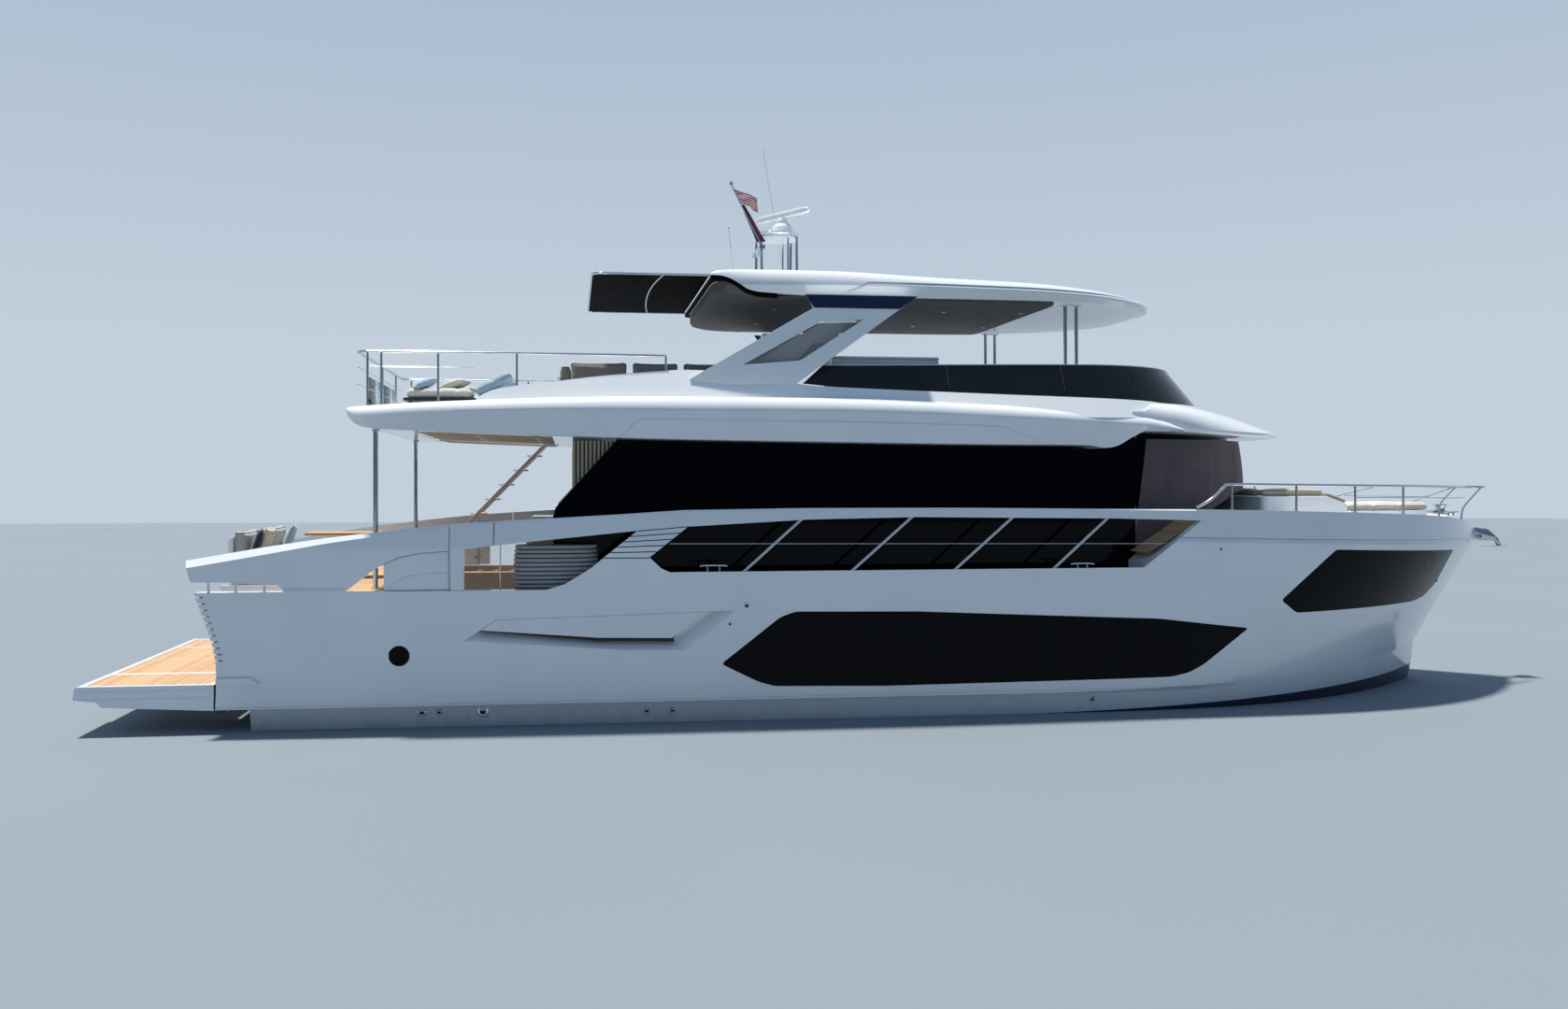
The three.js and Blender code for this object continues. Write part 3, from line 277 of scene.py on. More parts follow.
def block(low: Point, high: Point, name: str = "block") -> Piece:
    """Makes a block between two corners."""
    return plan(oblong(*low[:2], *high[:2]), low[2], high[2], name)


def around(count: int) -> list[float]:
    """Lists evenly spaced angles round a full turn."""
    return [float(angle) for angle in np.linspace(0, 2 * math.pi, count + 1)[:-1]]


def swell(value: float, power: float) -> float:
    """Raises a sine or cosine to a power and keeps its sign, which squares off a round."""
    return math.copysign(abs(value) ** power, value)


def rounded(outline: Outline, radius: float, steps: int = 6) -> list[tuple[float, float]]:
    """Rounds an outline's corners.

    Args:
        outline: Corners of a closed outline.
        radius: How far from each corner the round starts, at most.
        steps: Points in each round.

    Returns:
        The finer outline.
    """
    made = []
    count = len(outline)
    for i, corner in enumerate(outline):
        here = Vector(corner)
        before = Vector(outline[i - 1]) - here
        after = Vector(outline[(i + 1) % count]) - here
        reach = min(radius, before.length * 0.45, after.length * 0.45)
        start = here + before.normalized() * reach
        end = here + after.normalized() * reach
        for k in range(steps + 1):
            t = k / steps
            made.append(tuple((1 - t) ** 2 * start + 2 * t * (1 - t) * here + t * t * end))
    return made


def smooth_path(points: Sequence[Point], steps: int, closed: bool = False) -> list[Vector]:
    """Runs a smooth line through a row of points.

    Args:
        points: The points that it passes.
        steps: New points for each stretch.
        closed: Whether the line runs back to its start.

    Returns:
        The finer row.
    """
    row = [Vector(p) for p in points]
    count = len(row)
    pick = (lambda i: row[i % count]) if closed else (lambda i: row[max(0, min(count - 1, i))])
    made = []
    for i in range(count if closed else count - 1):
        a, b, c, d = pick(i - 1), pick(i), pick(i + 1), pick(i + 2)
        for k in range(steps):
            t = k / steps
            made.append(0.5 * (2 * b + (c - a) * t + (2 * a - 5 * b + 4 * c - d) * t * t
                               + (3 * b - a - 3 * c + d) * t ** 3))
    if not closed:
        made.append(row[-1])
    return made


def tube(points: Sequence[Point], radius: float, sides: int = 12, closed: bool = False,
         name: str = "tube") -> Piece:
    """Makes a round bar along a row of points.

    Args:
        points: Its centre line.
        radius: Its radius.
        sides: Faces round it.
        closed: Whether it is a ring.
        name: Its name.

    Returns:
        The bar.
    """
    path = [Vector(p) for p in points]
    count = len(path)
    rings = []
    up = Vector((0, 0, 1))
    across = None
    for i, at in enumerate(path):
        before = path[i - 1] if closed or i else at
        after = path[(i + 1) % count] if closed or i + 1 < count else at
        along = (after - before).normalized()
        if across is None:
            across = along.cross(up if abs(along.z) < 0.9 else Vector((0, 1, 0))).normalized()
        across = (across - along * across.dot(along)).normalized()
        rise = across.cross(along)
        rings.append([
            at + (across * math.cos(angle) + rise * math.sin(angle)) * radius
            for angle in (2 * math.pi * k / sides for k in range(sides))
        ])
    if not closed:
        return loft(rings, name)
    points_flat = [p for ring in rings for p in ring]
    faces = list(grid_faces(count, sides, True))
    faces += [((count - 1) * sides + i, (count - 1) * sides + (i + 1) % sides, (i + 1) % sides, i)
              for i in range(sides)]
    return new_object(name, points_flat, faces)


def turned(profile: Outline, at: Point, sides: int = 32, axis: str = "Z", name: str = "turned",
           hollow: bool = False) -> Piece:
    """Turns a profile of [radius, height] about an axis through a point.

    Args:
        profile: Radii and heights from one end to the other.
        at: Where the axis starts.
        sides: Faces round it.
        axis: The axis, X, Y or Z.
        name: Its name.
        hollow: Whether the profile runs back to its start, for a ring open in its middle.

    Returns:
        The turned solid.
    """
    order = {"X": (2, 0, 1), "Y": (1, 2, 0), "Z": (0, 1, 2)}[axis]
    rings = []
    for radius, height in profile:
        ring = []
        for k in range(sides):
            angle = 2 * math.pi * k / sides
            flat = (radius * math.cos(angle), radius * math.sin(angle), height)
            ring.append([at[i] + flat[order[i]] for i in range(3)])
        rings.append(ring)
    if not hollow:
        return loft(rings, name)
    rings.append(rings[0])
    return new_object(name, [p for ring in rings for p in ring], grid_faces(len(rings), sides, True))


def pin(radius: float, low: float, high: float, at: Point, sides: int = 32, axis: str = "Z") -> Piece:
    """Makes a plain round solid, such as a pin, a lens or the tool for a hole."""
    profile = [(0, low), (radius, low), (radius, high), (0, high)]
    return turned(profile, at, sides, axis)


def gathered(name: str, pieces: Sequence[Piece]) -> Piece:
    """Puts several meshes into one object.

    Args:
        name: The object's name.
        pieces: Objects that become part of it.

    Returns:
        The object.
    """
    work = bmesh.new()
    for piece in pieces:
        work.from_mesh(piece.data)
    mesh = bpy.data.meshes.new(name)
    work.to_mesh(mesh)
    work.free()
    for piece in pieces:
        bpy.data.meshes.remove(piece.data)
    whole = bpy.data.objects.new(name, mesh)
    bpy.context.scene.collection.objects.link(whole)
    return whole


def skin_of(piece: Piece) -> BVHTree:
    """Makes a tree of a piece's faces, for rays and nearest points."""
    corners = [vertex.co for vertex in piece.data.vertices]
    return BVHTree.FromPolygons(corners, [face.vertices for face in piece.data.polygons])


def breadth_at(skin: BVHTree, x: float, z: float) -> float:
    """Finds how far a skin stands out to port at a place seen from the side.

    Args:
        skin: The skin's faces.
        x: The place along the boat.
        z: Its height.

    Returns:
        The distance from the centreline, or 0 where there is no skin.
    """
    start = Vector((x * MM, 1.5 * FAR * MM, z * MM))
    hit = skin.ray_cast(start, Vector((0, -1, 0)))[0]
    return hit.y / MM if hit else 0.0


def skinned(front: Sequence[Point], back: Sequence[Point], columns: int, rows: int, name: str) -> Piece:
    """Closes two grids of points, its two faces, into one thin sheet.

    Args:
        front: One face's points, column by column.
        back: The other face's points.
        columns: How many columns there are.
        rows: How many points a column has.
        name: The sheet's name.

    Returns:
        The sheet.
    """
    count = len(front)
    faces: list[Sequence[int]] = list(grid_faces(columns, rows, False))
    faces += [tuple(count + i for i in reversed(f)) for f in grid_faces(columns, rows, False)]
    rim = [(c * rows + r, (c + 1) * rows + r) for c in range(columns - 1) for r in (0, rows - 1)]
    rim += [(c * rows + r, c * rows + r + 1) for c in (0, columns - 1) for r in range(rows - 1)]
    faces += [(a, b, count + b, count + a) for a, b in rim]
    return new_object(name, [*front, *back], faces)


def softened(piece: Piece, sharp: float = 28, bevel: float = 0, segments: int = 2) -> Piece:
    """Shades a piece smooth but for its edges, and rounds those if asked.

    Args:
        piece: The piece.
        sharp: Edges that turn more than this many degrees stay crisp.
        bevel: How wide the rounded edges are, in millimetres.
        segments: Faces across a rounded edge.

    Returns:
        The same piece.
    """
    if bevel:
        weld = piece.modifiers.new("weld", "WELD")
        weld.merge_threshold = 0.00002
        edge = piece.modifiers.new("edge", "BEVEL")
        edge.width = bevel * MM
        edge.segments = segments
        edge.limit_method = "ANGLE"
        edge.angle_limit = math.radians(sharp)
        edge.use_clamp_overlap = True
        edge.harden_normals = False
        settled(piece)
    mesh = piece.data
    mesh.polygons.foreach_set("use_smooth", [True] * len(mesh.polygons))
    mesh.set_sharp_from_angle(angle=math.radians(sharp))
    even = piece.modifiers.new("normals", "WEIGHTED_NORMAL")
    even.keep_sharp = True
    even.weight = 60
    return piece


# Finishes


def to_linear(hex_colour: str) -> tuple[float, float, float, float]:
    """Turns an sRGB hex colour to linear red, green, blue and full alpha.

    Args:
        hex_colour: The colour, as a hash mark and six digits.

    Returns:
        The four values.
    """
    parts = [int(hex_colour[i:i + 2], 16) / 255 for i in (1, 3, 5)]
    red, green, blue = (c / 12.92 if c <= 0.04045 else ((c + 0.055) / 1.055) ** 2.4 for c in parts)
    return (red, green, blue, 1.0)


def add_node(tree: bpy.types.NodeTree, kind: str, settings: dict[str | int, Any] | None = None,
             links: dict[str | int, Any] | None = None, stops: Sequence[tuple[float, str]] = ()) -> Node:
    """Adds one node with its settings and links.

    Args:
        tree: The material's node tree.
        kind: The node's type, without the words ShaderNode.
        settings: Its properties, or values of its input sockets, by name or number.
        links: Output sockets that feed its inputs, by the input's name or number.
        stops: For a colour ramp, places from 0 to 1 with their hex colours.

    Returns:
        The node.
    """
    node = tree.nodes.new("ShaderNode" + kind)
    for name, value in (settings or {}).items():
        if isinstance(name, str) and name not in node.inputs:
            setattr(node, name, value)
        else:
            node.inputs[name].default_value = value
    for name, source in (links or {}).items():
        tree.links.new(source, node.inputs[name])
    for number, (place, colour) in enumerate(stops):
        marks = node.color_ramp.elements
        mark = marks[number] if number < len(marks) else marks.new(place)
        mark.position = place
        mark.color = to_linear(colour)
    return node


@dataclass(frozen=True)
class Finish:
    """A surface: what it is made of and how that was finished.

    The grain is a fine bump of its real size. The drift is a slow change of tone across the piece,
    the way a hand-laid or sun-worn surface shows.
    """

    name: str
    slot: str
    colour: str
    drift: str = ""
    drift_mm: float = 900
    roughness: float = 0.4
    roughness_drift: float = 0.08
    metallic: float = 0.0
    ior: float = 1.5
    coat: float = 0.0
    coat_roughness: float = 0.05
    sheen: float = 0.0
    transmission: float = 0.0
    specular: float = 0.5
    grain_mm: float = 3.0
    grain_depth: float = 0.1
    stretch: tuple[float, float, float] = (1.0, 1.0, 1.0)

    def material(self) -> bpy.types.Material:
        """Makes the Blender material, the first time it is asked for.

        Returns:
            The material.
        """
        made = bpy.data.materials.get(self.name)
        if made:
            return made
        made = bpy.data.materials.new(self.name)
        made.use_nodes = True
        tree = made.node_tree
        shader = tree.nodes["Principled BSDF"]
        colour, rough, bump = self.pattern(tree)
        settings = {
            "Metallic": self.metallic, "Coat Weight": self.coat, "Coat Roughness": self.coat_roughness,
            "Sheen Weight": self.sheen, "Sheen Roughness": 0.5, "Transmission Weight": self.transmission,
            "Specular IOR Level": self.specular,
        }
        if not self.metallic:
            settings["IOR"] = self.ior
        for name, value in settings.items():
            shader.inputs[name].default_value = value
        tree.links.new(colour, shader.inputs["Base Color"])
        tree.links.new(rough, shader.inputs["Roughness"])
        if bump is not None:
            tree.links.new(bump, shader.inputs["Normal"])
        return made

    def axes(self, tree: bpy.types.NodeTree) -> Node:
        """Adds the surface's own X, Y and Z, in metres, as one node's outputs."""
        place = add_node(tree, "TexCoord")
        return add_node(tree, "SeparateXYZ", {}, {"Vector": place.outputs["Object"]})

    def mottle(self, tree: bpy.types.NodeTree, size_mm: float, detail: float = 3.0,
               stretch: tuple[float, float, float] = (1.0, 1.0, 1.0)) -> Any:
        """Mottles the surface with spots of a real size.

        Args:
            tree: The node tree.
            size_mm: How far across a spot is.
            detail: How much finer detail it has.
            stretch: How far the spots are drawn out along X, Y and Z.

        Returns:
            The socket of the value, from 0 to 1.
        """
        scale = tuple(1.0 / s for s in stretch)
        place = add_node(tree, "TexCoord")
        spot = add_node(tree, "Mapping", {"Scale": scale}, {"Vector": place.outputs["Object"]})
        node = add_node(tree, "TexNoise", {"Scale": 1 / (size_mm * MM), "Detail": detail},
                        {"Vector": spot.outputs["Vector"]})
        return node.outputs["Fac"]

    def tone(self, tree: bpy.types.NodeTree) -> Any:
        """Drifts slowly from the base colour to the second tone.

        Args:
            tree: The node tree.

        Returns:
            The colour's socket.
        """
        value = self.mottle(tree, self.drift_mm, 4.0)
        stops = [(0.3, self.colour), (0.75, self.drift or self.colour)]
        return add_node(tree, "ValToRGB", {}, {"Fac": value}, stops).outputs["Color"]

    def worn(self, tree: bpy.types.NodeTree) -> Any:
        """Lets the roughness drift a little across the surface.

        Args:
            tree: The node tree.

        Returns:
            The roughness socket.
        """
        value = self.mottle(tree, self.drift_mm * 0.35, 5.0)
        spread = add_node(tree, "MapRange", {
            "To Min": max(0.02, self.roughness - self.roughness_drift),
            "To Max": self.roughness + self.roughness_drift}, {"Value": value})
        return spread.outputs["Result"]

    def pattern(self, tree: bpy.types.NodeTree) -> tuple[Any, Any, Any]:
        """Lays the grain under the drifting colour and roughness.

        Args:
            tree: The node tree.

        Returns:
            The sockets of the colour, roughness and normal.
        """
        grain = self.mottle(tree, self.grain_mm, 3.0, self.stretch)
        bump = add_node(tree, "Bump", {"Distance": self.grain_depth * MM}, {"Height": grain})
        return self.tone(tree), self.worn(tree), bump.outputs["Normal"]


@dataclass(frozen=True)
class Gelcoat(Finish):
    """Polished gelcoat: flat and glossy, but its long fairing waves bend what it mirrors."""

    wave_mm: float = 1400
    wave_depth: float = 2.2

    def pattern(self, tree: bpy.types.NodeTree) -> tuple[Any, Any, Any]:
        """Lays a long wave under a faint orange peel.

        Args:
            tree: The node tree.

        Returns:
            The sockets of the colour, roughness and normal.
        """
        wave = add_node(tree, "Bump", {"Distance": self.wave_depth * MM},
                        {"Height": self.mottle(tree, self.wave_mm, 1.0)})
        peel = add_node(tree, "Bump", {"Distance": self.grain_depth * MM},
                        {"Height": self.mottle(tree, self.grain_mm, 2.0), "Normal": wave.outputs["Normal"]})
        return self.tone(tree), self.worn(tree), peel.outputs["Normal"]


@dataclass(frozen=True)
class HullGelcoat(Gelcoat):
    """The hull's gelcoat, with navy antifouling under the waterline and a tide stain above it."""

    antifouling: str = "#0B1530"
    stain: str = "#B4AD9B"
    bow_rise: float = 0.26

    def pattern(self, tree: bpy.types.NodeTree) -> tuple[Any, Any, Any]:
        """Splits the surface at a paint line that climbs to the bow.

        Args:
            tree: The node tree.

        Returns:
            The sockets of the colour, roughness and normal.
        """
        colour, rough, normal = super().pattern(tree)
        spot = self.axes(tree)
        climb = add_node(tree, "MapRange", {
            "interpolation_type": "SMOOTHSTEP", "From Min": 1.0, "From Max": 11.0, "To Min": -0.01,
            "To Max": self.bow_rise}, {"Value": spot.outputs["X"]})
        under = add_node(tree, "Math", {"operation": "LESS_THAN"},
                         {0: spot.outputs["Z"], 1: climb.outputs["Result"]})
        streak = self.mottle(tree, 160, 4.0, (1.0, 1.0, 3.0))
        low = add_node(tree, "MapRange", {"From Min": 0.02, "From Max": 0.34, "To Min": 0.85, "To Max": 0.0},
                       {"Value": spot.outputs["Z"]})
        aft = add_node(tree, "MapRange", {"From Min": -3.0, "From Max": 3.0, "To Min": 1.0, "To Max": 0.25},
                       {"Value": spot.outputs["X"]})
        part = add_node(tree, "Math", {"operation": "MULTIPLY"}, {0: low.outputs["Result"], 1: streak})
        share = add_node(tree, "Math", {"operation": "MULTIPLY", "use_clamp": True},
                         {0: part.outputs["Value"], 1: aft.outputs["Result"]})
        dirty = add_node(tree, "Mix", {"data_type": "RGBA", 7: to_linear(self.stain)},
                         {0: share.outputs["Value"], 6: colour})
        painted = add_node(tree, "Mix", {"data_type": "RGBA", 7: to_linear(self.antifouling)},
                           {0: under.outputs["Value"], 6: dirty.outputs[2]})
        matt = add_node(tree, "Math", {"operation": "MULTIPLY_ADD", 1: 0.45},
                        {0: under.outputs["Value"], 2: rough})
        return painted.outputs[2], matt.outputs["Value"], normal


@dataclass(frozen=True)
class TeakPlanking(Finish):
    """Scrubbed teak laid along the boat in narrow planks, with black caulking between them."""

    plank_mm: float = 55
    caulk_mm: float = 5
    seam_depth: float = 0.8
    light: str = "#C9A67E"
    dark: str = "#A88460"
    caulk: str = "#1B1A19"
    across: bool = False

    def pattern(self, tree: bpy.types.NodeTree) -> tuple[Any, Any, Any]:
        """Lays planks, each a little lighter or darker.

        Args:
            tree: The node tree.

        Returns:
            The sockets of the colour, roughness and normal.
        """
        spot = self.axes(tree)
        way = spot.outputs["X" if self.across else "Y"]
        count = add_node(tree, "Math", {"operation": "MULTIPLY", 1: 1 / (self.plank_mm * MM)}, {0: way})
        number = add_node(tree, "Math", {"operation": "FLOOR"}, {0: count.outputs["Value"]})
        part = add_node(tree, "Math", {"operation": "FRACT"}, {0: count.outputs["Value"]})
        seam = add_node(tree, "Math", {"operation": "LESS_THAN", 1: self.caulk_mm / self.plank_mm},
                        {0: part.outputs["Value"]})
        chance = add_node(tree, "TexWhiteNoise", {"noise_dimensions": "1D"}, {"W": number.outputs["Value"]})
        long = (1.0, 14.0, 1.0) if self.across else (14.0, 1.0, 1.0)
        grain = self.mottle(tree, 9, 5.0, long)
        tone = add_node(tree, "Math", {"operation": "MULTIPLY_ADD", 1: 0.45},
                        {0: chance.outputs["Value"], 2: grain})
        wood = add_node(tree, "ValToRGB", {}, {"Fac": tone.outputs["Value"]},
                        [(0.35, self.dark), (0.95, self.light)])
        laid = add_node(tree, "Mix", {"data_type": "RGBA", 7: to_linear(self.caulk)},
                        {0: seam.outputs["Value"], 6: wood.outputs["Color"]})
        height = add_node(tree, "Math", {"operation": "MULTIPLY_ADD", 1: -1.5},
                          {0: seam.outputs["Value"], 2: grain})
        bump = add_node(tree, "Bump", {"Distance": self.seam_depth * MM}, {"Height": height.outputs["Value"]})
        return laid.outputs[2], self.worn(tree), bump.outputs["Normal"]


@dataclass(frozen=True)
class WovenCloth(Finish):
    """Cloth woven of round yarn, drawn as coarse as it needs to be to show, with painted shade darkening the
    hollows between its threads.
    """

    thread_mm: float = 6.0
    thread_depth: float = 0.8
    # Colour of the painted shade that darkens the hollows of the weave
    shade: str = "#000000"

    def pattern(self, tree: bpy.types.NodeTree) -> tuple[Any, Any, Any]:
        """Weaves crossing threads and darkens their hollows towards the shade colour: painted shade.

        Args:
            tree: The node tree.

        Returns:
            The sockets of the colour, roughness and normal.
        """
        spot = self.axes(tree)
        waves = []
        for axis in "XYZ":
            turn = add_node(tree, "Math", {"operation": "MULTIPLY", 1: 2 * math.pi / (self.thread_mm * MM)},
                            {0: spot.outputs[axis]})
            waves.append(add_node(tree, "Math", {"operation": "SINE"}, {0: turn.outputs["Value"]}))
        first = add_node(tree, "Math", {"operation": "ADD"},
                         {0: waves[0].outputs["Value"], 1: waves[1].outputs["Value"]})
        weave = add_node(tree, "Math", {"operation": "ADD"},
                         {0: first.outputs["Value"], 1: waves[2].outputs["Value"]})
        height = add_node(tree, "MapRange", {"From Min": -3.0, "From Max": 3.0},
                          {"Value": weave.outputs["Value"]})
        # Painted shade: the low parts of the weave are darkened towards black
        dark = add_node(tree, "ValToRGB", {}, {"Fac": height.outputs["Result"]},
                        [(0.2, self.shade), (0.7, "#FFFFFF")])
        weave_with_painted_shade = add_node(tree, "Mix", {"data_type": "RGBA", "blend_type": "MULTIPLY", 0: 0.35},
                         {6: self.tone(tree), 7: dark.outputs["Color"]})
        bump = add_node(tree, "Bump", {"Distance": self.thread_depth * MM},
                        {"Height": height.outputs["Result"]})
        return weave_with_painted_shade.outputs[2], self.worn(tree), bump.outputs["Normal"]


@dataclass(frozen=True)
class StripedCloth(WovenCloth):
    """Flag cloth sewn of even stripes, one colour and white, that run out from the hoist."""

    stripe_mm: float = 20
    slope: float = 0.32

    def tone(self, tree: bpy.types.NodeTree) -> Any:
        """Sews stripes that follow the flag's slope.

        Args:
            tree: The node tree.

        Returns:
            The colour's socket.
        """
        spot = self.axes(tree)
        level = add_node(tree, "Math", {"operation": "MULTIPLY_ADD", 1: self.slope},
                         {0: spot.outputs["X"], 2: spot.outputs["Z"]})
        count = add_node(tree, "Math", {"operation": "MULTIPLY", 1: 0.5 / (self.stripe_mm * MM)},
                         {0: level.outputs["Value"]})
        part = add_node(tree, "Math", {"operation": "FRACT"}, {0: count.outputs["Value"]})
        return add_node(tree, "ValToRGB", {}, {"Fac": part.outputs["Value"]},
                        [(0.48, self.colour), (0.52, "#E9E4DF")]).outputs["Color"]


# Gelcoat over glass fibre: mirror smooth, so its white takes the colour of the sky round it
GELCOAT = Gelcoat("polished_gelcoat", "gelcoat", "#E9EDF0", "#E2E7EB", roughness=0.16,
                  roughness_drift=0.05, coat=0.6, grain_mm=14, grain_depth=0.02)
HULL_GELCOAT = HullGelcoat("hull_gelcoat", "gelcoat", "#E9EDF0", "#E2E7EB", roughness=0.16,
                           roughness_drift=0.05, coat=0.6, grain_mm=14, grain_depth=0.02)
# Deck gelcoat with its moulded non-slip grit, which breaks up the gloss
NON_SLIP = Finish("non_slip_gelcoat", "gelcoat", "#E4E6E6", "#D9DBDA", roughness=0.55, grain_mm=5,
                  grain_depth=0.7)
# The same gelcoat in navy, polished until it mirrors like glass
NAVY_GELCOAT = Gelcoat("navy_gelcoat", "gelcoat", "#0A1233", "#0C153A", roughness=0.08,
                       roughness_drift=0.02, coat=1.0, grain_mm=14, grain_depth=0.02)
# Glass with a dark privacy tint: black until it mirrors something
GLASS = Gelcoat("tinted_glass", "dark_glass", "#020306", "#030509", roughness=0.03, roughness_drift=0.01,
                ior=1.5, specular=0.1, grain_mm=40, grain_depth=0.01, wave_mm=900, wave_depth=0.5)
# Toughened float glass, clear, so that it shows by its edges and what it mirrors
CLEAR_GLASS = Finish("clear_toughened_glass", "dark_glass", "#E4F0EE", roughness=0.03, roughness_drift=0.01,
                     ior=1.52, transmission=1.0, grain_mm=60, grain_depth=0.01)
# Cast acrylic, smoked nearly black and bent hot: a softer mirror than glass
SMOKED_ACRYLIC = Gelcoat("smoked_acrylic", "dark_glass", "#06080C", "#090B10", roughness=0.05,
                         roughness_drift=0.02, ior=1.49, specular=0.3, grain_mm=60, grain_depth=0.02,
                         wave_mm=500, wave_depth=0.8)
# Teak scrubbed with salt water: bare and matt, each plank a little lighter or darker
TEAK = TeakPlanking("scrubbed_teak", "teak", "#C9A67E", roughness=0.72)
TEAK_ACROSS = TeakPlanking("scrubbed_teak_across", "teak", "#C9A67E", roughness=0.72, across=True)
# Oak veneer under satin varnish, warm, with faint joints between wide boards
VARNISHED_OAK = TeakPlanking("varnished_oak", "teak", "#B79A74", roughness=0.3, coat=0.6, plank_mm=220,
                             caulk_mm=1.5, light="#C9B08C", dark="#A98D68")
# Drawn stainless tube, electropolished: a bright mirror with faint lines along it
STAINLESS = Finish("polished_stainless", "stainless_steel", "#D5D8DB", "#C9CDD1", roughness=0.13,
                   metallic=1.0, grain_mm=2, grain_depth=0.03, stretch=(12, 12, 1))
# Acrylic canvas dyed black in the yarn, which swallows the light. Here and below the threads are
# drawn several times coarser than they are, with painted shade in their hollows, so that they show
CANVAS = WovenCloth("black_acrylic_canvas", "black_canvas", "#060709", "#090A0C", roughness=0.85,
                    specular=0.08, thread_mm=8, thread_depth=0.5)
# Vinyl-coated shade mesh, woven open: dark, warm and dull
MESH_CLOTH = WovenCloth("dark_shade_mesh", "mesh_cloth", "#695F64", "#5C5358", roughness=0.9,
                        sheen=0.1, specular=0.25, thread_mm=9, thread_depth=0.8, drift_mm=350)
# Woven outdoor acrylic in its colours, with a bloom of loose fibre at its edges
CUSHION_CLOTH = WovenCloth("outdoor_cushion_cloth", "cushion_cloth", "#DAD6CC", "#CFCBC1", roughness=0.9,
                           sheen=0.3, thread_mm=7, thread_depth=0.5)
BLUE_CLOTH = WovenCloth("pale_blue_cloth", "cushion_cloth", "#A9C3D3", "#95B3C8", roughness=0.9,
                        sheen=0.3, thread_mm=7, thread_depth=0.5)
GREY_CLOTH = WovenCloth("grey_outdoor_cloth", "cushion_cloth", "#B9B8B4", "#AEADA9", roughness=0.9,
                        sheen=0.3, thread_mm=7, thread_depth=0.5)
GREY_PIPING = WovenCloth("charcoal_piping", "cushion_cloth", "#55565A", "#4C4D51", roughness=0.8,
                         thread_mm=5, thread_depth=0.3)
TAN_CLOTH = WovenCloth("tan_outdoor_cloth", "cushion_cloth", "#C4B8A5", "#B9AC99", roughness=0.9,
                       sheen=0.3, thread_mm=7, thread_depth=0.5)
TAN_PIPING = WovenCloth("brown_piping", "cushion_cloth", "#6E6254", "#645A4D", roughness=0.8,
                        thread_mm=5, thread_depth=0.3)
TAUPE_CLOTH = WovenCloth("taupe_outdoor_cloth", "cushion_cloth", "#8C857C", "#7F786F", roughness=0.9,
                         sheen=0.3, thread_mm=7, thread_depth=0.5)
NAVY_CUSHION = WovenCloth("navy_outdoor_cloth", "cushion_cloth", "#1D2947", "#18233F", roughness=0.9,
                          sheen=0.3, thread_mm=7, thread_depth=0.5)
# Foam-backed vinyl, calendered with a leather grain that dulls its shine
GREY_VINYL = Finish("grey_soft_vinyl", "cushion_cloth", "#A9A9A8", "#9B9C9C", roughness=0.55, grain_mm=6,
                    grain_depth=0.4)
# Cast bronze, ground and polished: warm, with broad grinding marks
BRONZE = Finish("polished_bronze", "bronze", "#B08A4C", "#9C7942", roughness=0.28, metallic=1.0,
                grain_mm=30, grain_depth=0.2)
# Epoxy sprayed over cast aluminium: dark, even and half matt
DRIVE_PAINT = Finish("epoxy_drive_paint", "coated_metal", "#1D2024", "#16181B", roughness=0.45, grain_mm=8,
                     grain_depth=0.2)
# Extruded rubber, nearly black and dull
RUBBER = Finish("black_rubber", "dark_glass", "#101113", "#17181A", roughness=0.6, grain_mm=4,
                grain_depth=0.1)
# Vinyl stretched over lining boards, dull with a fine grain
HEAD_LINING = Finish("grey_head_lining", "gelcoat", "#5E5C5A", "#565452", roughness=0.6, grain_mm=7,
                     grain_depth=0.3)
# Knitted flag polyester, thin and matt
STRIPED_CLOTH = StripedCloth("striped_flag_cloth", "mesh_cloth", "#B3202E", roughness=0.8, thread_mm=5,
                             thread_depth=0.2)
NAVY_CLOTH = WovenCloth("navy_flag_cloth", "mesh_cloth", "#1B2442", "#7A2230", roughness=0.8, thread_mm=5,
                        thread_depth=0.2, drift_mm=300)
# Vinyl-faced panels under the overhang, warm beside the gelcoat
SOFFIT_VINYL = Finish("beige_soffit_vinyl", "gelcoat", "#B9AB95", "#AFA18B", roughness=0.6, grain_mm=7,
                      grain_depth=0.3)
# Moulded acrylic lens, frosted to a milky white
LAMP = Finish("frosted_lens", "gelcoat", "#F4F1E4", "#EDE9DA", roughness=0.35, grain_mm=12,
              grain_depth=0.1)


def dressed(piece: Piece, finish: Finish, body: str = YACHT, replaces: Sequence[str] = ()) -> Piece:
    """Gives a piece its finish, its place on a body, and the solids that it stands for.

    Args:
        piece: The piece, already in place.
        finish: Its surface.
        body: The body that it moves with.
        replaces: Solids that it stands for.

    Returns:
        The same piece.
    """
    piece.data.materials.clear()
    piece.data.materials.append(finish.material())
    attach(piece, body)
    if replaces:
        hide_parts(*replaces)
    LOG.info("%s: %s faces in %s", piece.name, len(piece.data.polygons), finish.name)
    return piece


def paired(piece: Piece, name: str, finish: Finish, node: str = "", body: str = "") -> None:
    """Dresses a piece on the port side and its mirror image on the starboard side.

    Args:
        piece: The port piece.
        name: The name of both, before the side is added.
        finish: Their surface.
        node: The solid that each stands for, before the side is added.
        body: The body that each moves with, before the side is added, or nothing for the yacht.
    """
    twin = mirrored(piece, f"{name}_starboard")
    piece.name = f"{name}_port"
    for label, item in (("starboard", twin), ("port", piece)):
        dressed(item, finish, f"{body}_{label}" if body else YACHT, [f"{node}_{label}"] if node else ())


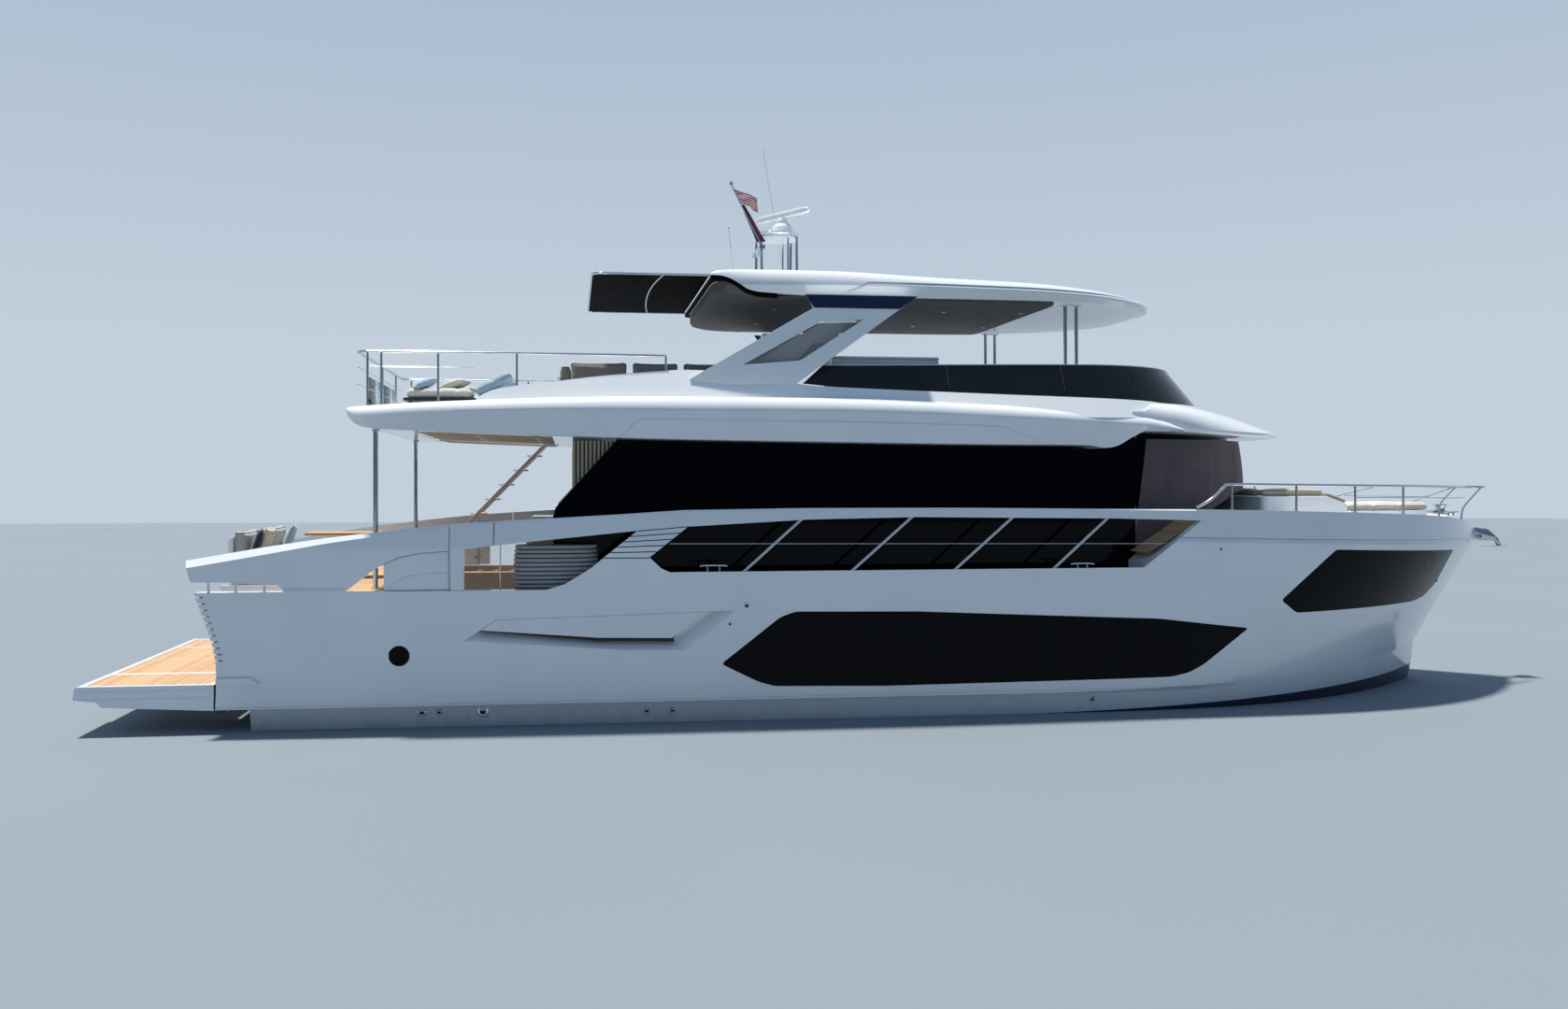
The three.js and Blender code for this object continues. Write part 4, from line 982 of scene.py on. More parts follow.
def carried(node: str, finish: Finish) -> None:
    """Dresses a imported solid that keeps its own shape.

    Args:
        node: The solid's name.
        finish: Its surface.
    """
    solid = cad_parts[node]
    solid.data.materials.clear()
    solid.data.materials.append(finish.material())
    weld = solid.modifiers.new("weld", "WELD")
    weld.merge_threshold = 0.0001


# Lines that several pieces share

# Levels of the decks, and the ramp from the side deck up to the foredeck
DECK_Z = 1960.0
FORE_Z = 2900.0
RAMP_X = 3860.0
RAMP_Z = 2400.0
FORE_X = 4700.0
FLY_Z = 4450.0
ROOF_Z = 6250.0
PLATFORM_Z = 680.0
# How thick the hull's sides are
SKIN = 90.0

# The steps from the platform to the cockpit
STEPS = 5
STEPS_X = -9250
STEP_RUN = 270
STEP_RISE = (DECK_Z - PLATFORM_Z) / STEPS

# The top of the hull's cap, in X and Z
CAP_TOP = [
    (-9990, 2425), (-8130, 2700), (-7180, 2810), (-6420, 2885), (-5790, 2925), (-4080, 3020),
    (-3130, 3080), (-1400, 3105), (830, 3105), (4700, 3070), (6200, 3040), (7500, 3005),
    (9000, 2950), (9700, 2905), (10600, 2800), (11300, 2600), (11700, 2440),
]
# The upper deck: x, its half breadth, and the heights of its top, its crease and its underside
UPPER_STATIONS = [
    (-7850, 2560, 4545, 4480, 4400), (-7560, 2760, 4560, 4400, 4240), (-6590, 2800, 4620, 4450, 4190),
    (-4870, 2830, 4690, 4490, 4130), (-3200, 2840, 4715, 4490, 4090), (-560, 2840, 4705, 4490, 4055),
    (1420, 2800, 4640, 4430, 4035), (2900, 2740, 4560, 4370, 4030), (3500, 2710, 4520, 4340, 4090),
    (3900, 2670, 4490, 4320, 4240), (4530, 2600, 4450, 4290, 4240), (5300, 2440, 4430, 4285, 4235),
    (6000, 2110, 4400, 4280, 4230), (6500, 1730, 4370, 4280, 4230), (6900, 1240, 4340, 4275, 4230),
    (7150, 760, 4310, 4270, 4235), (7250, 250, 4295, 4265, 4240),
]
# The top of the flybridge coaming, in X and Z
COAMING_TOP = [
    (-6060, 4670), (-5750, 4815), (-4870, 4940), (-3990, 5050), (-2820, 5120), (-1440, 4930),
    (-750, 4880), (1560, 4800), (3890, 4730), (4500, 4700), (6300, 4700),
]


def height_on(line: Outline, x: float) -> float:
    """Reads a line's height at a place along the boat.

    Args:
        line: Points of x and height, from aft forward.
        x: The place.

    Returns:
        The height there.
    """
    return float(np.interp(x, [p[0] for p in line], [p[1] for p in line]))


def between(line: Outline, x0: float, x1: float) -> list[tuple[float, float]]:
    """Takes the stretch of a line between two places along the boat.

    Args:
        line: Points of x and height, from aft forward.
        x0: The aft place.
        x1: The forward place.

    Returns:
        The stretch with a point at either end.
    """
    inner = [(x, z) for x, z in line if x0 < x < x1]
    return [(x0, height_on(line, x0)), *inner, (x1, height_on(line, x1))]


def dense(outline: Outline, step: float) -> list[tuple[float, float]]:
    """Adds points along a closed outline, none further apart than a step.

    Args:
        outline: The outline.
        step: The widest gap that is left.

    Returns:
        The finer outline.
    """
    made = []
    for i, (x0, z0) in enumerate(outline):
        x1, z1 = outline[(i + 1) % len(outline)]
        count = max(1, math.ceil(math.hypot(x1 - x0, z1 - z0) / step))
        made += [(x0 + (x1 - x0) * k / count, z0 + (z1 - z0) * k / count) for k in range(count)]
    return made


def shrunk(outline: Outline, by: float) -> list[tuple[float, float]]:
    """Draws a closed outline in by a distance.

    Args:
        outline: The outline.
        by: The distance, below zero to draw it out.

    Returns:
        The outline drawn in.
    """
    area = sum(a[0] * b[1] - b[0] * a[1] for a, b in zip(outline, [*outline[1:], outline[0]]))
    turn = 1 if area > 0 else -1
    made = []
    for i, here in enumerate(outline):
        before, after = Vector(outline[i - 1]), Vector(outline[(i + 1) % len(outline)])
        a = (Vector(here) - before).normalized()
        b = (after - Vector(here)).normalized()
        na, nb = Vector((-a.y, a.x)) * turn, Vector((-b.y, b.x)) * turn
        made.append(tuple(Vector(here) + (na + nb) * (by / max(0.2, 1 + na.dot(nb)))))
    return made


def both_sides(half: Outline) -> list[tuple[float, float]]:
    """Closes the port half of an outline seen from above over the centreline."""
    return [*half, *[(x, -y) for x, y in reversed(half) if y > 0.01]]


@dataclass(frozen=True)
class HullLine:
    """One line of the hull from its aft end to the stem, as [x, z] at either end."""

    beam: float
    aft: tuple[float, float]
    stem: tuple[float, float]
    full: float
    narrow: float


@dataclass
class HullForm:
    """The hull's outer form from its keel to above its cap."""

    parallel: float = 0.59
    aft_steps: int = 40
    bow_steps: int = 90
    between: int = 6
    lines: tuple[HullLine, ...] = (
        HullLine(0, (-9150, -840), (7900, -780), 2.0, 0),
        HullLine(1300, (-9150, -450), (9500, -420), 2.2, 0.02),
        HullLine(2520, (-9170, -120), (10150, -20), 2.8, 0.045),
        HullLine(2620, (-9170, 305), (10225, 330), 2.95, 0.045),
        HullLine(2700, (-9600, 330), (10260, 640), 3.0, 0.03),
        HullLine(2780, (-9590, 1100), (10600, 1180), 3.1, 0.03),
        HullLine(2850, (-9840, 1960), (11120, 1960), 3.4, 0.03),
        HullLine(2890, (-10010, 2580), (11500, 2500), 3.7, 0.03),
        HullLine(2860, (-10130, 3200), (11500, 3200), 3.7, 0.03),
    )
    smooth_runs: tuple[tuple[int, ...], ...] = ((0, 1, 2), (2, 3), (3, 4), (4, 5, 6, 7), (7, 8))
    skin: BVHTree | None = None

    def point(self, line: HullLine, s: float, inset: float) -> Vector:
        """Finds a point of a line.

        Args:
            line: The line.
            s: Its share of the way from the stern to the stem.
            inset: How far the form is drawn in.

        Returns:
            The point, to port.
        """
        bow = max(0.0, (s - self.parallel) / (1 - self.parallel))
        stern = max(0.0, (self.parallel - s) / self.parallel)
        shape = (1 - bow ** line.full) * (1 - line.narrow * stern ** 2)
        stem_x = line.stem[0] - 1.5 * inset
        return Vector((
            line.aft[0] + (stem_x - line.aft[0]) * s,
            (max(0.0, line.beam - inset) if line.beam else 0.0) * shape,
            line.aft[1] + (line.stem[1] - line.aft[1]) * bow ** 1.5,
        ))

    def section(self, s: float, inset: float) -> list[Vector]:
        """Draws a section, rounded between its crisp lines.

        Args:
            s: Its share of the way from the stern to the stem.
            inset: How far the form is drawn in.

        Returns:
            Its points to port, from the keel up.
        """
        column: list[Vector] = []
        for run in self.smooth_runs:
            row = smooth_path([self.point(self.lines[i], s, inset) for i in run],
                              self.between if len(run) > 2 else 1)
            column += row if not column else row[1:]
        return column

    def shares(self) -> list[float]:
        """Spaces the sections, closest near the stem.

        Returns:
            Each section's share of the way from the stern to the stem.
        """
        aft = [self.parallel * k / self.aft_steps for k in range(self.aft_steps)]
        bow = [1 - (1 - self.parallel) * (1 - k / self.bow_steps) ** 1.35 for k in range(self.bow_steps + 1)]
        return aft + bow

    def solid(self, inset: float = 0.0) -> Piece:
        """Builds the form.

        Args:
            inset: How far it is drawn in.

        Returns:
            The closed solid.
        """
        columns = [self.section(s, inset) for s in self.shares()]
        height = len(columns[0])
        port = [tuple(p) for column in columns for p in column]
        points = port + [(x, -y, z) for x, y, z in port]
        other = len(port)
        faces: list[Sequence[int]] = list(grid_faces(len(columns), height, False))
        faces += [tuple(other + i for i in reversed(face)) for face in list(faces)]
        for r in range(height - 1):
            faces.append((r, other + r, other + r + 1, r + 1))
        for c in range(len(columns) - 1):
            a, b = c * height + height - 1, (c + 1) * height + height - 1
            faces.append((a, other + a, other + b, b))
        return new_object("hull_form", points, faces)

    def out_at(self, x: float, z: float) -> float:
        """Finds the half breadth of the hull at a place seen from the side.

        Args:
            x: The place along the boat.
            z: Its height.

        Returns:
            The half breadth.
        """
        if self.skin is None:
            form = self.solid()
            self.skin = skin_of(form)
            bpy.data.meshes.remove(form.data)
        return breadth_at(self.skin, x, z)

    def within(self, outline: Outline, depth: float, proud: float = 0.0) -> Piece:
        """Takes the port skin behind an outline seen from the side.

        Args:
            outline: The outline, in X and Z.
            depth: How deep the piece goes below the skin.
            proud: How far it stands out of it.

        Returns:
            The skin piece.
        """
        outer = self.solid(-proud)
        return cut(common(outer, side(outline, 100, FAR)), self.solid(depth))


FORM = HullForm()
# Outlines seen from the side, in X and Z
LONG_WINDOW = [
    (-2580, 860), (-1730, 1530), (-1510, 1610), (300, 1590), (4050, 1430), (5560, 1250),
    (4840, 710), (4600, 590), (4300, 530), (-120, 490), (-1800, 520), (-2040, 590),
]
BOW_WINDOW = [
    (6095, 1668), (6995, 2440), (10020, 2345), (9930, 1825), (9830, 1700), (9600, 1560), (9260, 1497),
    (6405, 1460),
]
SIDE_OPENING = [
    (-3070, 2845), (-3620, 2410), (-3450, 2250), (-3330, 2195), (3770, 2205), (4680, 2905),
    (3290, 2940), (270, 2970), (-1330, 2940),
]
# Where the foot and the head of each strut stand
STRUTS = [(-2270, -1370), (-680, 240), (860, 1780), (2370, 3270)]


def house_outline(inset: float, aft_x: float, steps: int = 48) -> list[tuple[float, float]]:
    """Draws the deckhouse from above: straight sides and a full rounded front.

    Args:
        inset: How far it is drawn in.
        aft_x: Its aft end.
        steps: How finely the front is drawn.

    Returns:
        The outline in X and Y.
    """
    start, power, half = 3000.0, 2.4, 2180 - inset
    reach = 6350 - inset - start
    outline = [(aft_x, half)]
    for i in range(steps + 1):
        angle = i / steps * math.pi / 2
        outline.append((start + reach * math.sin(angle) ** (2 / power),
                        half * math.cos(angle) ** (2 / power)))
    return both_sides(outline)


@dataclass
class Topsides:
    """The hull and its bulwarks, drawn as one moulding with all that is let into it."""

    # Round fittings: x, z and radius
    port_at: tuple[float, float, float] = (-7110, 1050, 145)
    outlets: tuple[tuple[float, float, float], ...] = (
        (-6820, 225, 60), (-6580, 225, 50), (-5970, 222, 76), (-3640, 185, 52), (-3270, 185, 52),
        (3080, 215, 48))
    fairleads: tuple[tuple[float, float, float], ...] = (
        (-2220, 1710, 40), (-2460, 1440, 26), (4990, 2470, 22), (9900, 1800, 18))
    # Outlines and pairs of lines seen from the side, in X and Z
    scoop: Line = (
        (-6220, 1250), (-5770, 1540), (-2800, 1620), (-2380, 1630), (-3080, 1070), (-3940, 1080))
    scoop_floor: Line = (
        (-6010, 1385), (-5755, 1528), (-2800, 1605), (-2700, 1600), (-3230, 1190), (-4330, 1215))
    blade: Line = (
        (-6040, 1400), (-5750, 1600), (-2770, 1680), (-2790, 1615), (-3300, 1250), (-4350, 1270))
    slot: Line = (
        (-6030, 1396), (-4350, 1290), (-3300, 1270), (-3245, 1196), (-4330, 1214), (-6025, 1382))
    strake: tuple[Line, ...] = (
        ((3890, 2604), (4000, 2662), (11250, 2509)), ((3890, 2596), (4000, 2588), (11250, 2422)))
    blade_edge: tuple[Line, ...] = (
        ((-6160, 1282), (-5775, 1546), (-2800, 1628), (-2385, 1638)),
        ((-6160, 1268), (-5775, 1528), (-2800, 1612), (-2385, 1622)))
    panel: Line = (
        (-7330, 1962), (-7330, 2330), (-7120, 2430), (-6830, 2490), (-6300, 2530), (-6300, 1962))
    panel_line: tuple[Line, ...] = (
        ((-7263, 1974), (-7180, 2064), (-7020, 2160), (-6800, 2200), (-6430, 2217)),
        ((-7263, 1960), (-7180, 2046), (-7020, 2142), (-6800, 2183), (-6430, 2200)))
    joint_line: tuple[Line, ...] = (
        ((-8650, 2028), (-7840, 2022)), ((-8650, 1962), (-7840, 1958)))
    cap_drop: Line = (
        (-10200, 135), (-9000, 105), (-8000, 72), (-7000, 46), (-5800, 30), (-3000, 22), (4600, 20))
    chine_groove: Line = (
        (-9700, 352), (5200, 372), (5400, 378), (5200, 384), (-9700, 364))
    # Its aft and fore ends, half breadth, floor and roof
    garage: tuple[float, float, float, float, float] = (-10400, -8000, 1350, 720, 1780)

    def pair(self, tool: Piece) -> Piece:
        """Doubles a tool over the centreline."""
        return gathered("pair", [tool, mirrored(tool)])

    def ramp_over(self) -> Piece:
        """Makes the space above the side decks, the ramp and the foredeck's edge."""
        return through([(-12000, DECK_Z), (RAMP_X, DECK_Z), (RAMP_X, RAMP_Z), (FORE_X + 15, FORE_Z),
                        (FORE_X + 20, 4000), (-12000, 4000)])

    def blank(self) -> Piece:
        """Makes the moulding before anything is let into its sides.

        Returns:
            The moulding, with decks and wells open.
        """
        low = [(-12000, -3000), (-12000, DECK_Z), (-8640, DECK_Z), (-8770, 2095), (-9900, 2110)]
        outline = [*low, *between(CAP_TOP, -9990, 11700), (13000, 2440), (13000, -3000)]
        body = common(FORM.solid(), through(outline))
        cut(body, common(FORM.solid(SKIN), self.ramp_over()))
        cut(body, common(FORM.solid(170), block((FORE_X - 10, -FAR, FORE_Z), (11150, FAR, 4000))))
        cut(body, plan(house_outline(-GAP, -6000), DECK_Z + 5, 3600))
        opening = [(-6205, DECK_Z), (-5070, DECK_Z), (-4810, 2040), (-4660, 2130), (-4450, 2260),
                   (-4230, 2440), (-3790, 2790), (-5510, 2620), (-5790, 2590), (-6205, 2540)]
        gate = [(-6416, DECK_Z), (-6205, DECK_Z), (-6205, 2540), (-5788, 2590), (-5788, 3400), (-6416, 3400)]
        curve = [(-7310, DECK_Z), (-7310, 2340), (-7480, 2240), (-7640, 2110), (-7760, 2010),
                 (-7840, DECK_Z)]
        for hole in (opening, gate, curve, SIDE_OPENING):
            cut(body, through(hole))
        return cut(body, block((-12000, -1400, DECK_Z - 60), (-9700, 1400, 4000)))

    def stairs(self) -> Piece:
        """Makes the space over the transom stairs.

        Returns:
            The tool, to port.
        """
        outline = [(-11000, 3000), (-11000, PLATFORM_Z), (STEPS_X, PLATFORM_Z)]
        for i in range(1, STEPS + 1):
            outline.append((STEPS_X + (i - 1) * STEP_RUN, PLATFORM_Z + i * STEP_RISE))
            if i < STEPS:
                outline.append((STEPS_X + i * STEP_RUN, PLATFORM_Z + i * STEP_RISE))
        outline.append((-8170, 3000))
        return side(outline, 1520, 2470)

    def recess(self, outline: Outline, depth: float) -> Piece:
        """Makes a tool that sinks an outline into both sides by a depth."""
        return self.pair(cut(side(outline, 1, FAR), FORM.solid(depth)))

    def groove(self, lines: Sequence[Outline], depth: float) -> Piece:
        """Makes a tool for a V groove: square under its upper line, running out at its lower one.

        Args:
            lines: Its upper and its lower line, from aft forward.
            depth: How deep it is under the upper line.

        Returns:
            The tool, for both sides.
        """
        high, low = lines
        rings = []
        for t in np.linspace(0, 1, 97):
            x = float(high[0][0] + (high[-1][0] - high[0][0]) * t)
            top, foot = height_on(high, x), height_on(low, x)
            deep = depth * min(1.0, t / 0.02 + 0.05, (1 - t) / 0.02 + 0.05)
            y0, y1 = FORM.out_at(x, top), FORM.out_at(x, foot) + 1
            rings.append([(x, y0 + 60, top), (x, y0 - deep, top - 1), (x, y1, foot), (x, y1 + 60, foot)])
        return self.pair(loft(rings))

    def cap_bevel(self) -> Piece:
        """Makes a tool that eases the cap's outer edge, widest at the stern.

        Returns:
            The tool, for both sides.
        """
        rings = []
        for x in np.linspace(-10200, 4600, 75):
            top, drop = height_on(CAP_TOP, x), height_on(self.cap_drop, x)
            y = FORM.out_at(max(x, -9900), top - drop)
            rings.append([(x, y + 150, top - drop), (x, y, top - drop), (x, y - 0.8 * drop, top + 1),
                          (x, y - 0.8 * drop, top + 150), (x, y + 150, top + 150)])
        return self.pair(loft(rings))

    def louvres(self) -> list[list[tuple[float, float]]]:
        """Lists the outlines of the slots in the strip between the side openings.

        Returns:
            The outlines, in X and Z.
        """
        slots = []
        for k in range(6):
            aft, fore = 2405 + 75.6 * k, 2402 + 88.2 * k
            x0, x1 = -4236 + (aft - 2440) * 1.257, -3614 + (fore - 2410) * 1.264
            slots.append([(x0, aft - 7), (x1, fore - 7), (x1 + 18, fore + 8), (x0 + 19, aft + 8)])
        return slots

    def scoop_tool(self) -> Piece:
        """Makes the air intake's recess: deepest under its blade, running out flush below.

        Returns:
            The tool, for both sides.
        """
        rings: list[list[Point]] = []
        count = 14
        for outline, depth in ((self.scoop, -60), (self.scoop, 0), (self.scoop_floor, 170)):
            ring = []
            for i, (x0, z0) in enumerate(outline):
                x1, z1 = outline[(i + 1) % len(outline)]
                for k in range(count):
                    x, z = x0 + (x1 - x0) * k / count, z0 + (z1 - z0) * k / count
                    ring.append((x, FORM.out_at(x, z) - depth, z))
            rings.append(ring)
        tool = cut(loft(rings), side(self.blade, 100, FAR))
        return self.pair(tool)

    def moulding(self) -> Piece:
        """Builds the finished moulding.

        Returns:
            The hull with its bulwarks.
        """
        body = self.blank()
        self.carve_sides(body)
        self.carve_ends(body)
        sweep = common(self.gate_round(598), block((-6300, -FAR, DECK_Z), (-5000, FAR, 4000)))
        cut(body, self.pair(sweep), self.deck(GAP, DECK_Z - 6, DECK_Z + 20))
        body.name = "hull_moulding"
        return softened(body, 24)

    def carve_sides(self, body: Piece) -> None:
        """Lets the windows, the air intake, the louvres, the grooves and the seams into both sides.

        Args:
            body: The moulding.
        """
        glass = [self.recess(rounded(outline, 60), 26) for outline in (LONG_WINDOW, BOW_WINDOW)]
        cut(body, *glass, self.scoop_tool(), *[self.recess(slot, 50) for slot in self.louvres()])
        shadow = (self.strake[0], [(x, z - 13) for x, z in self.strake[0]])
        cut(body, self.groove(self.strake, 40), self.groove(shadow, 75), self.groove(self.blade_edge, 14),
            self.recess(self.chine_groove, 10))
        cut(body, self.recess(self.panel, 30), self.groove(self.panel_line, 44),
            self.groove(self.joint_line, 26), self.cap_bevel())
        seam = cut(side(self.panel, 1, FAR), side(shrunk(self.panel, 10), 0, FAR + 100), FORM.solid(76))
        cut(body, self.pair(seam))
        x, z, radius = self.port_at
        hole = [(x + radius * math.cos(a), z + radius * math.sin(a)) for a in around(64)]
        cut(body, self.recess(hole, 60))

    def carve_ends(self, body: Piece) -> None:
        """Opens the garage, the stairs and the roller's slot, and cuts the slots of the quarters.

        Args:
            body: The moulding.
        """
        aft, fore, half, floor, roof = self.garage
        cut(body, block((aft, -half, floor), (fore, half, roof)))
        cut(body, self.pair(self.stairs()))
        cut(body, block((11140, -90.3, 2550), (12000, 90.3, 3000)))
        for z0 in range(1010, 1900, 88):
            edge = -9595 - max(0.0, z0 - 1100) * 250 / 860
            cut(body, self.pair(block((edge - 90, 2590, z0), (edge + 105, 2900, z0 + 20))))

    def stanchions(self) -> None:
        """Sets the short posts in the gap under each quarter's cap."""
        posts = []
        for x in (-9660, -9300, -8920):
            y = FORM.out_at(x, DECK_Z) - 45
            posts.append(tube([(x, y, DECK_Z - 2), (x, y, 2130)], 20, 14))
        paired(softened(gathered("wing_stanchions", posts), 40), "wing_stanchions", STAINLESS)

    def gate_round(self, radius: float) -> Piece:
        """Makes the round space that the port gate sweeps."""
        return pin(radius, 1000, 4000, (-6385, 2700, 0), 128)

    def deck(self, grow: float, z0: float, z1: float) -> Piece:
        """Makes the teak of the cockpit and the side decks as a flat solid.

        Args:
            grow: How far its edges stand out.
            z0: Its underside.
            z1: Its top.

        Returns:
            The solid.
        """
        area = common(FORM.solid(SKIN + 70 - grow), block((-9680 - grow, -3000, z0), (3780 + grow, 3000, z1)))
        cut(area, plan(house_outline(-60 + grow, -4990 - 60), 1000, 4000),
            self.pair(block((-11000, 1470 + grow, 1000), (-8110 - grow, 3000, 4000))))
        return area

    def teak(self) -> None:
        """Lays the teak in its recess in the deck."""
        laid = self.deck(0, DECK_Z - 5.7, DECK_Z)
        laid.name = "teak_deck"
        dressed(softened(laid, 30), TEAK)
        slope = (FORE_Z - RAMP_Z) / (FORE_X + 15 - RAMP_X)
        corners = ((3885, GAP), (4690, GAP), (4690, 6), (3885, 6))
        line = [(x, RAMP_Z + (x - RAMP_X) * slope + lift) for x, lift in corners]
        ramp = common(FORM.solid(SKIN + 40), side(line, 2000, 4000))
        cut(ramp, plan(house_outline(-40, 3000), 2000, 4000))
        paired(softened(ramp, 30), "ramp_teak", TEAK_ACROSS)

    def panes(self) -> None:
        """Glazes the flush windows of the hull, with the rings of their opening ports."""
        # Painted shade: black rubber sheets sunk in the louvre slots and in the intake's slot under its blade
        # darken them
        shade_inserts = [FORM.within(slot, 49, -22) for slot in self.louvres()]
        shade_inserts.append(FORM.within(self.slot, 176, -64))
        paired(gathered("vent_shadows", shade_inserts), "vent_painted_shade", RUBBER)
        x0, x1, z0, z1 = -6415.7, -6409, DECK_Z + 1, 2850
        paired(FORM.within(oblong(x0, z0, x1, z1), 80, -12), "gate_seals", RUBBER)
        ledge = FORM.within([(-9590, 690), (-9590, 776), (-9120, 776), (-8990, 690)], 5, 42)
        paired(softened(ledge, 24, 4), "quarter_ledge", GELCOAT)
        ports = {"long": [(-467, 919), (2554, 883), (3837, 853), (4487, 849)], "bow": [(9300, 2150)]}
        for name, outline in (("long", LONG_WINDOW), ("bow", BOW_WINDOW)):
            pane = FORM.within(rounded(shrunk(outline, 4), 60), 24, 0)
            for x, z in ports[name]:
                for radius in (150, 128):
                    spots = [(x + radius * math.cos(a), z + radius * math.sin(a)) for a in around(48)]
                    ring = [(px, FORM.out_at(px, pz) - 0.5, pz) for px, pz in spots]
                    cut(pane, tube(ring, 2.5, 6, True))
            node = "hull_window" if name == "long" else "bow_window"
            paired(softened(pane, 24), f"{name}_window", GLASS, node)

    def fittings(self) -> None:
        """Sets the round ports, the outlets and the fairleads on both sides."""
        x, z, radius = self.port_at
        y = FORM.out_at(x, z)
        lens = turned([(0, y - 40), (radius - 3, y - 40), (radius - 3, y - 30), (0, y - 26)],
                      (x, 0, z), 48, "Y")
        rim = turned([(radius - 5, y - 30), (radius + 9, y - 4), (radius + 9, y + 4), (radius + 2, y + 7),
                      (radius - 6, y + 2), (radius - 14, y - 26)], (x, 0, z), 64, "Y", hollow=True)
        paired(lens, "round_port", GLASS)
        paired(softened(rim, 50), "round_port_rim", STAINLESS)
        rings, shade_discs = [], []
        for px, pz, pr in (*self.outlets, *self.fairleads):
            py = FORM.out_at(px, pz)
            lip = [(pr * 0.62, py - 18), (pr, py - 6), (pr, py + 6), (pr * 0.85, py + 11),
                   (pr * 0.62, py + 7)]
            rings.append(turned(lip, (px, 0, pz), 32, "Y", hollow=True))
            # Painted shade: a black disc set inside each outlet and fairlead stands for the dark of its bore
            shade_disc = [(0, py - 16), (pr * 0.66, py - 16), (pr * 0.66, py + 1), (0, py + 1)]
            shade_discs.append(turned(shade_disc, (px, 0, pz), 24, "Y"))
        paired(softened(gathered("outlet_rings", rings), 40), "outlet_rings", STAINLESS)
        paired(gathered("outlet_shade_discs", shade_discs), "outlet_shade_discs", RUBBER)

    def struts(self) -> None:
        """Sets the slanted struts, the safety wires and the cleats in the side openings."""
        bars = [tube([(a, 2805, 2185), (b, 2805, 2985)], 24, 16) for a, b in STRUTS]
        for x0, x1 in ((-2895, -2500), (2656, 3020)):
            z = 2240 if x0 < 0 else 2225
            horn = [(x0, 2790, z + 30), (x0 + 60, 2790, z + 42), (x1 - 60, 2790, z + 42), (x1, 2790, z + 30)]
            bars.append(tube(smooth_path(horn, 4), 13, 12))
            for x in (x0 + 110, x1 - 110):
                bars.append(turned([(0, -60), (20, -60), (14, 0), (11, 40), (0, 42)], (x, 2790, z), 16))
        paired(softened(gathered("struts", bars), 40), "bulwark_struts", STAINLESS)
        wire = tube([(-3330, 2812, 2600), (4160, 2812, 2557)], 4.5, 8)
        paired(wire, "bulwark_wire", STAINLESS)

    def gates(self) -> None:
        """Makes the boarding gates and their hinges, which turn with their own bodies."""
        foot = DECK_Z + 10
        outline = [*between(CAP_TOP, -6406, -5796), (-5796, 2590), (-6211, 2540), (-6211, foot),
                   (-6406, foot)]
        leaf = cut(common(FORM.solid(), side(outline, 100, FAR)), FORM.solid(SKIN))
        cut(leaf, self.cap_bevel())
        common(leaf, self.gate_round(592))
        x, y = -6385.0, 2700.0
        moving, fixed = [], []
        for z in (2110, 2690):
            moving += [pin(12, z + GAP, z + 30, (x, y, 0), 24),
                       block((x - 10, y, z + GAP), (x + 10, y + 70, z + 30)),
                       pin(7, z - 34, z + 10, (x, y, 0), 20)]
            ear = pin(12, z - 30, z, (x, y, 0), 24)
            added(ear, block((x - 100, y - 12, z - 30), (x, y + 10, z)),
                  block((x - 100, y - 12, z - 30), (x - 45, y + 70, z)))
            fixed.append(cut(ear, pin(7.3, 1000, 4000, (x, y, 0), 20)))
        paired(gathered("gate_hinges", fixed), "gate_hinges", STAINLESS)
        paired(softened(leaf, 24), "gate_leaf", HULL_GELCOAT, "boarding_gate", "gate")
        paired(gathered("gate_pins", moving), "gate_pins", STAINLESS, body="gate")

    def build(self) -> None:
        """Builds all of it."""
        nodes = ["hull", "bulwark_port", "bulwark_starboard", "quarter_wing_port", "quarter_wing_starboard"]
        dressed(self.moulding(), HULL_GELCOAT, YACHT, nodes)
        self.stanchions()
        self.panes()
        self.fittings()
        self.struts()
        self.gates()
        self.teak()


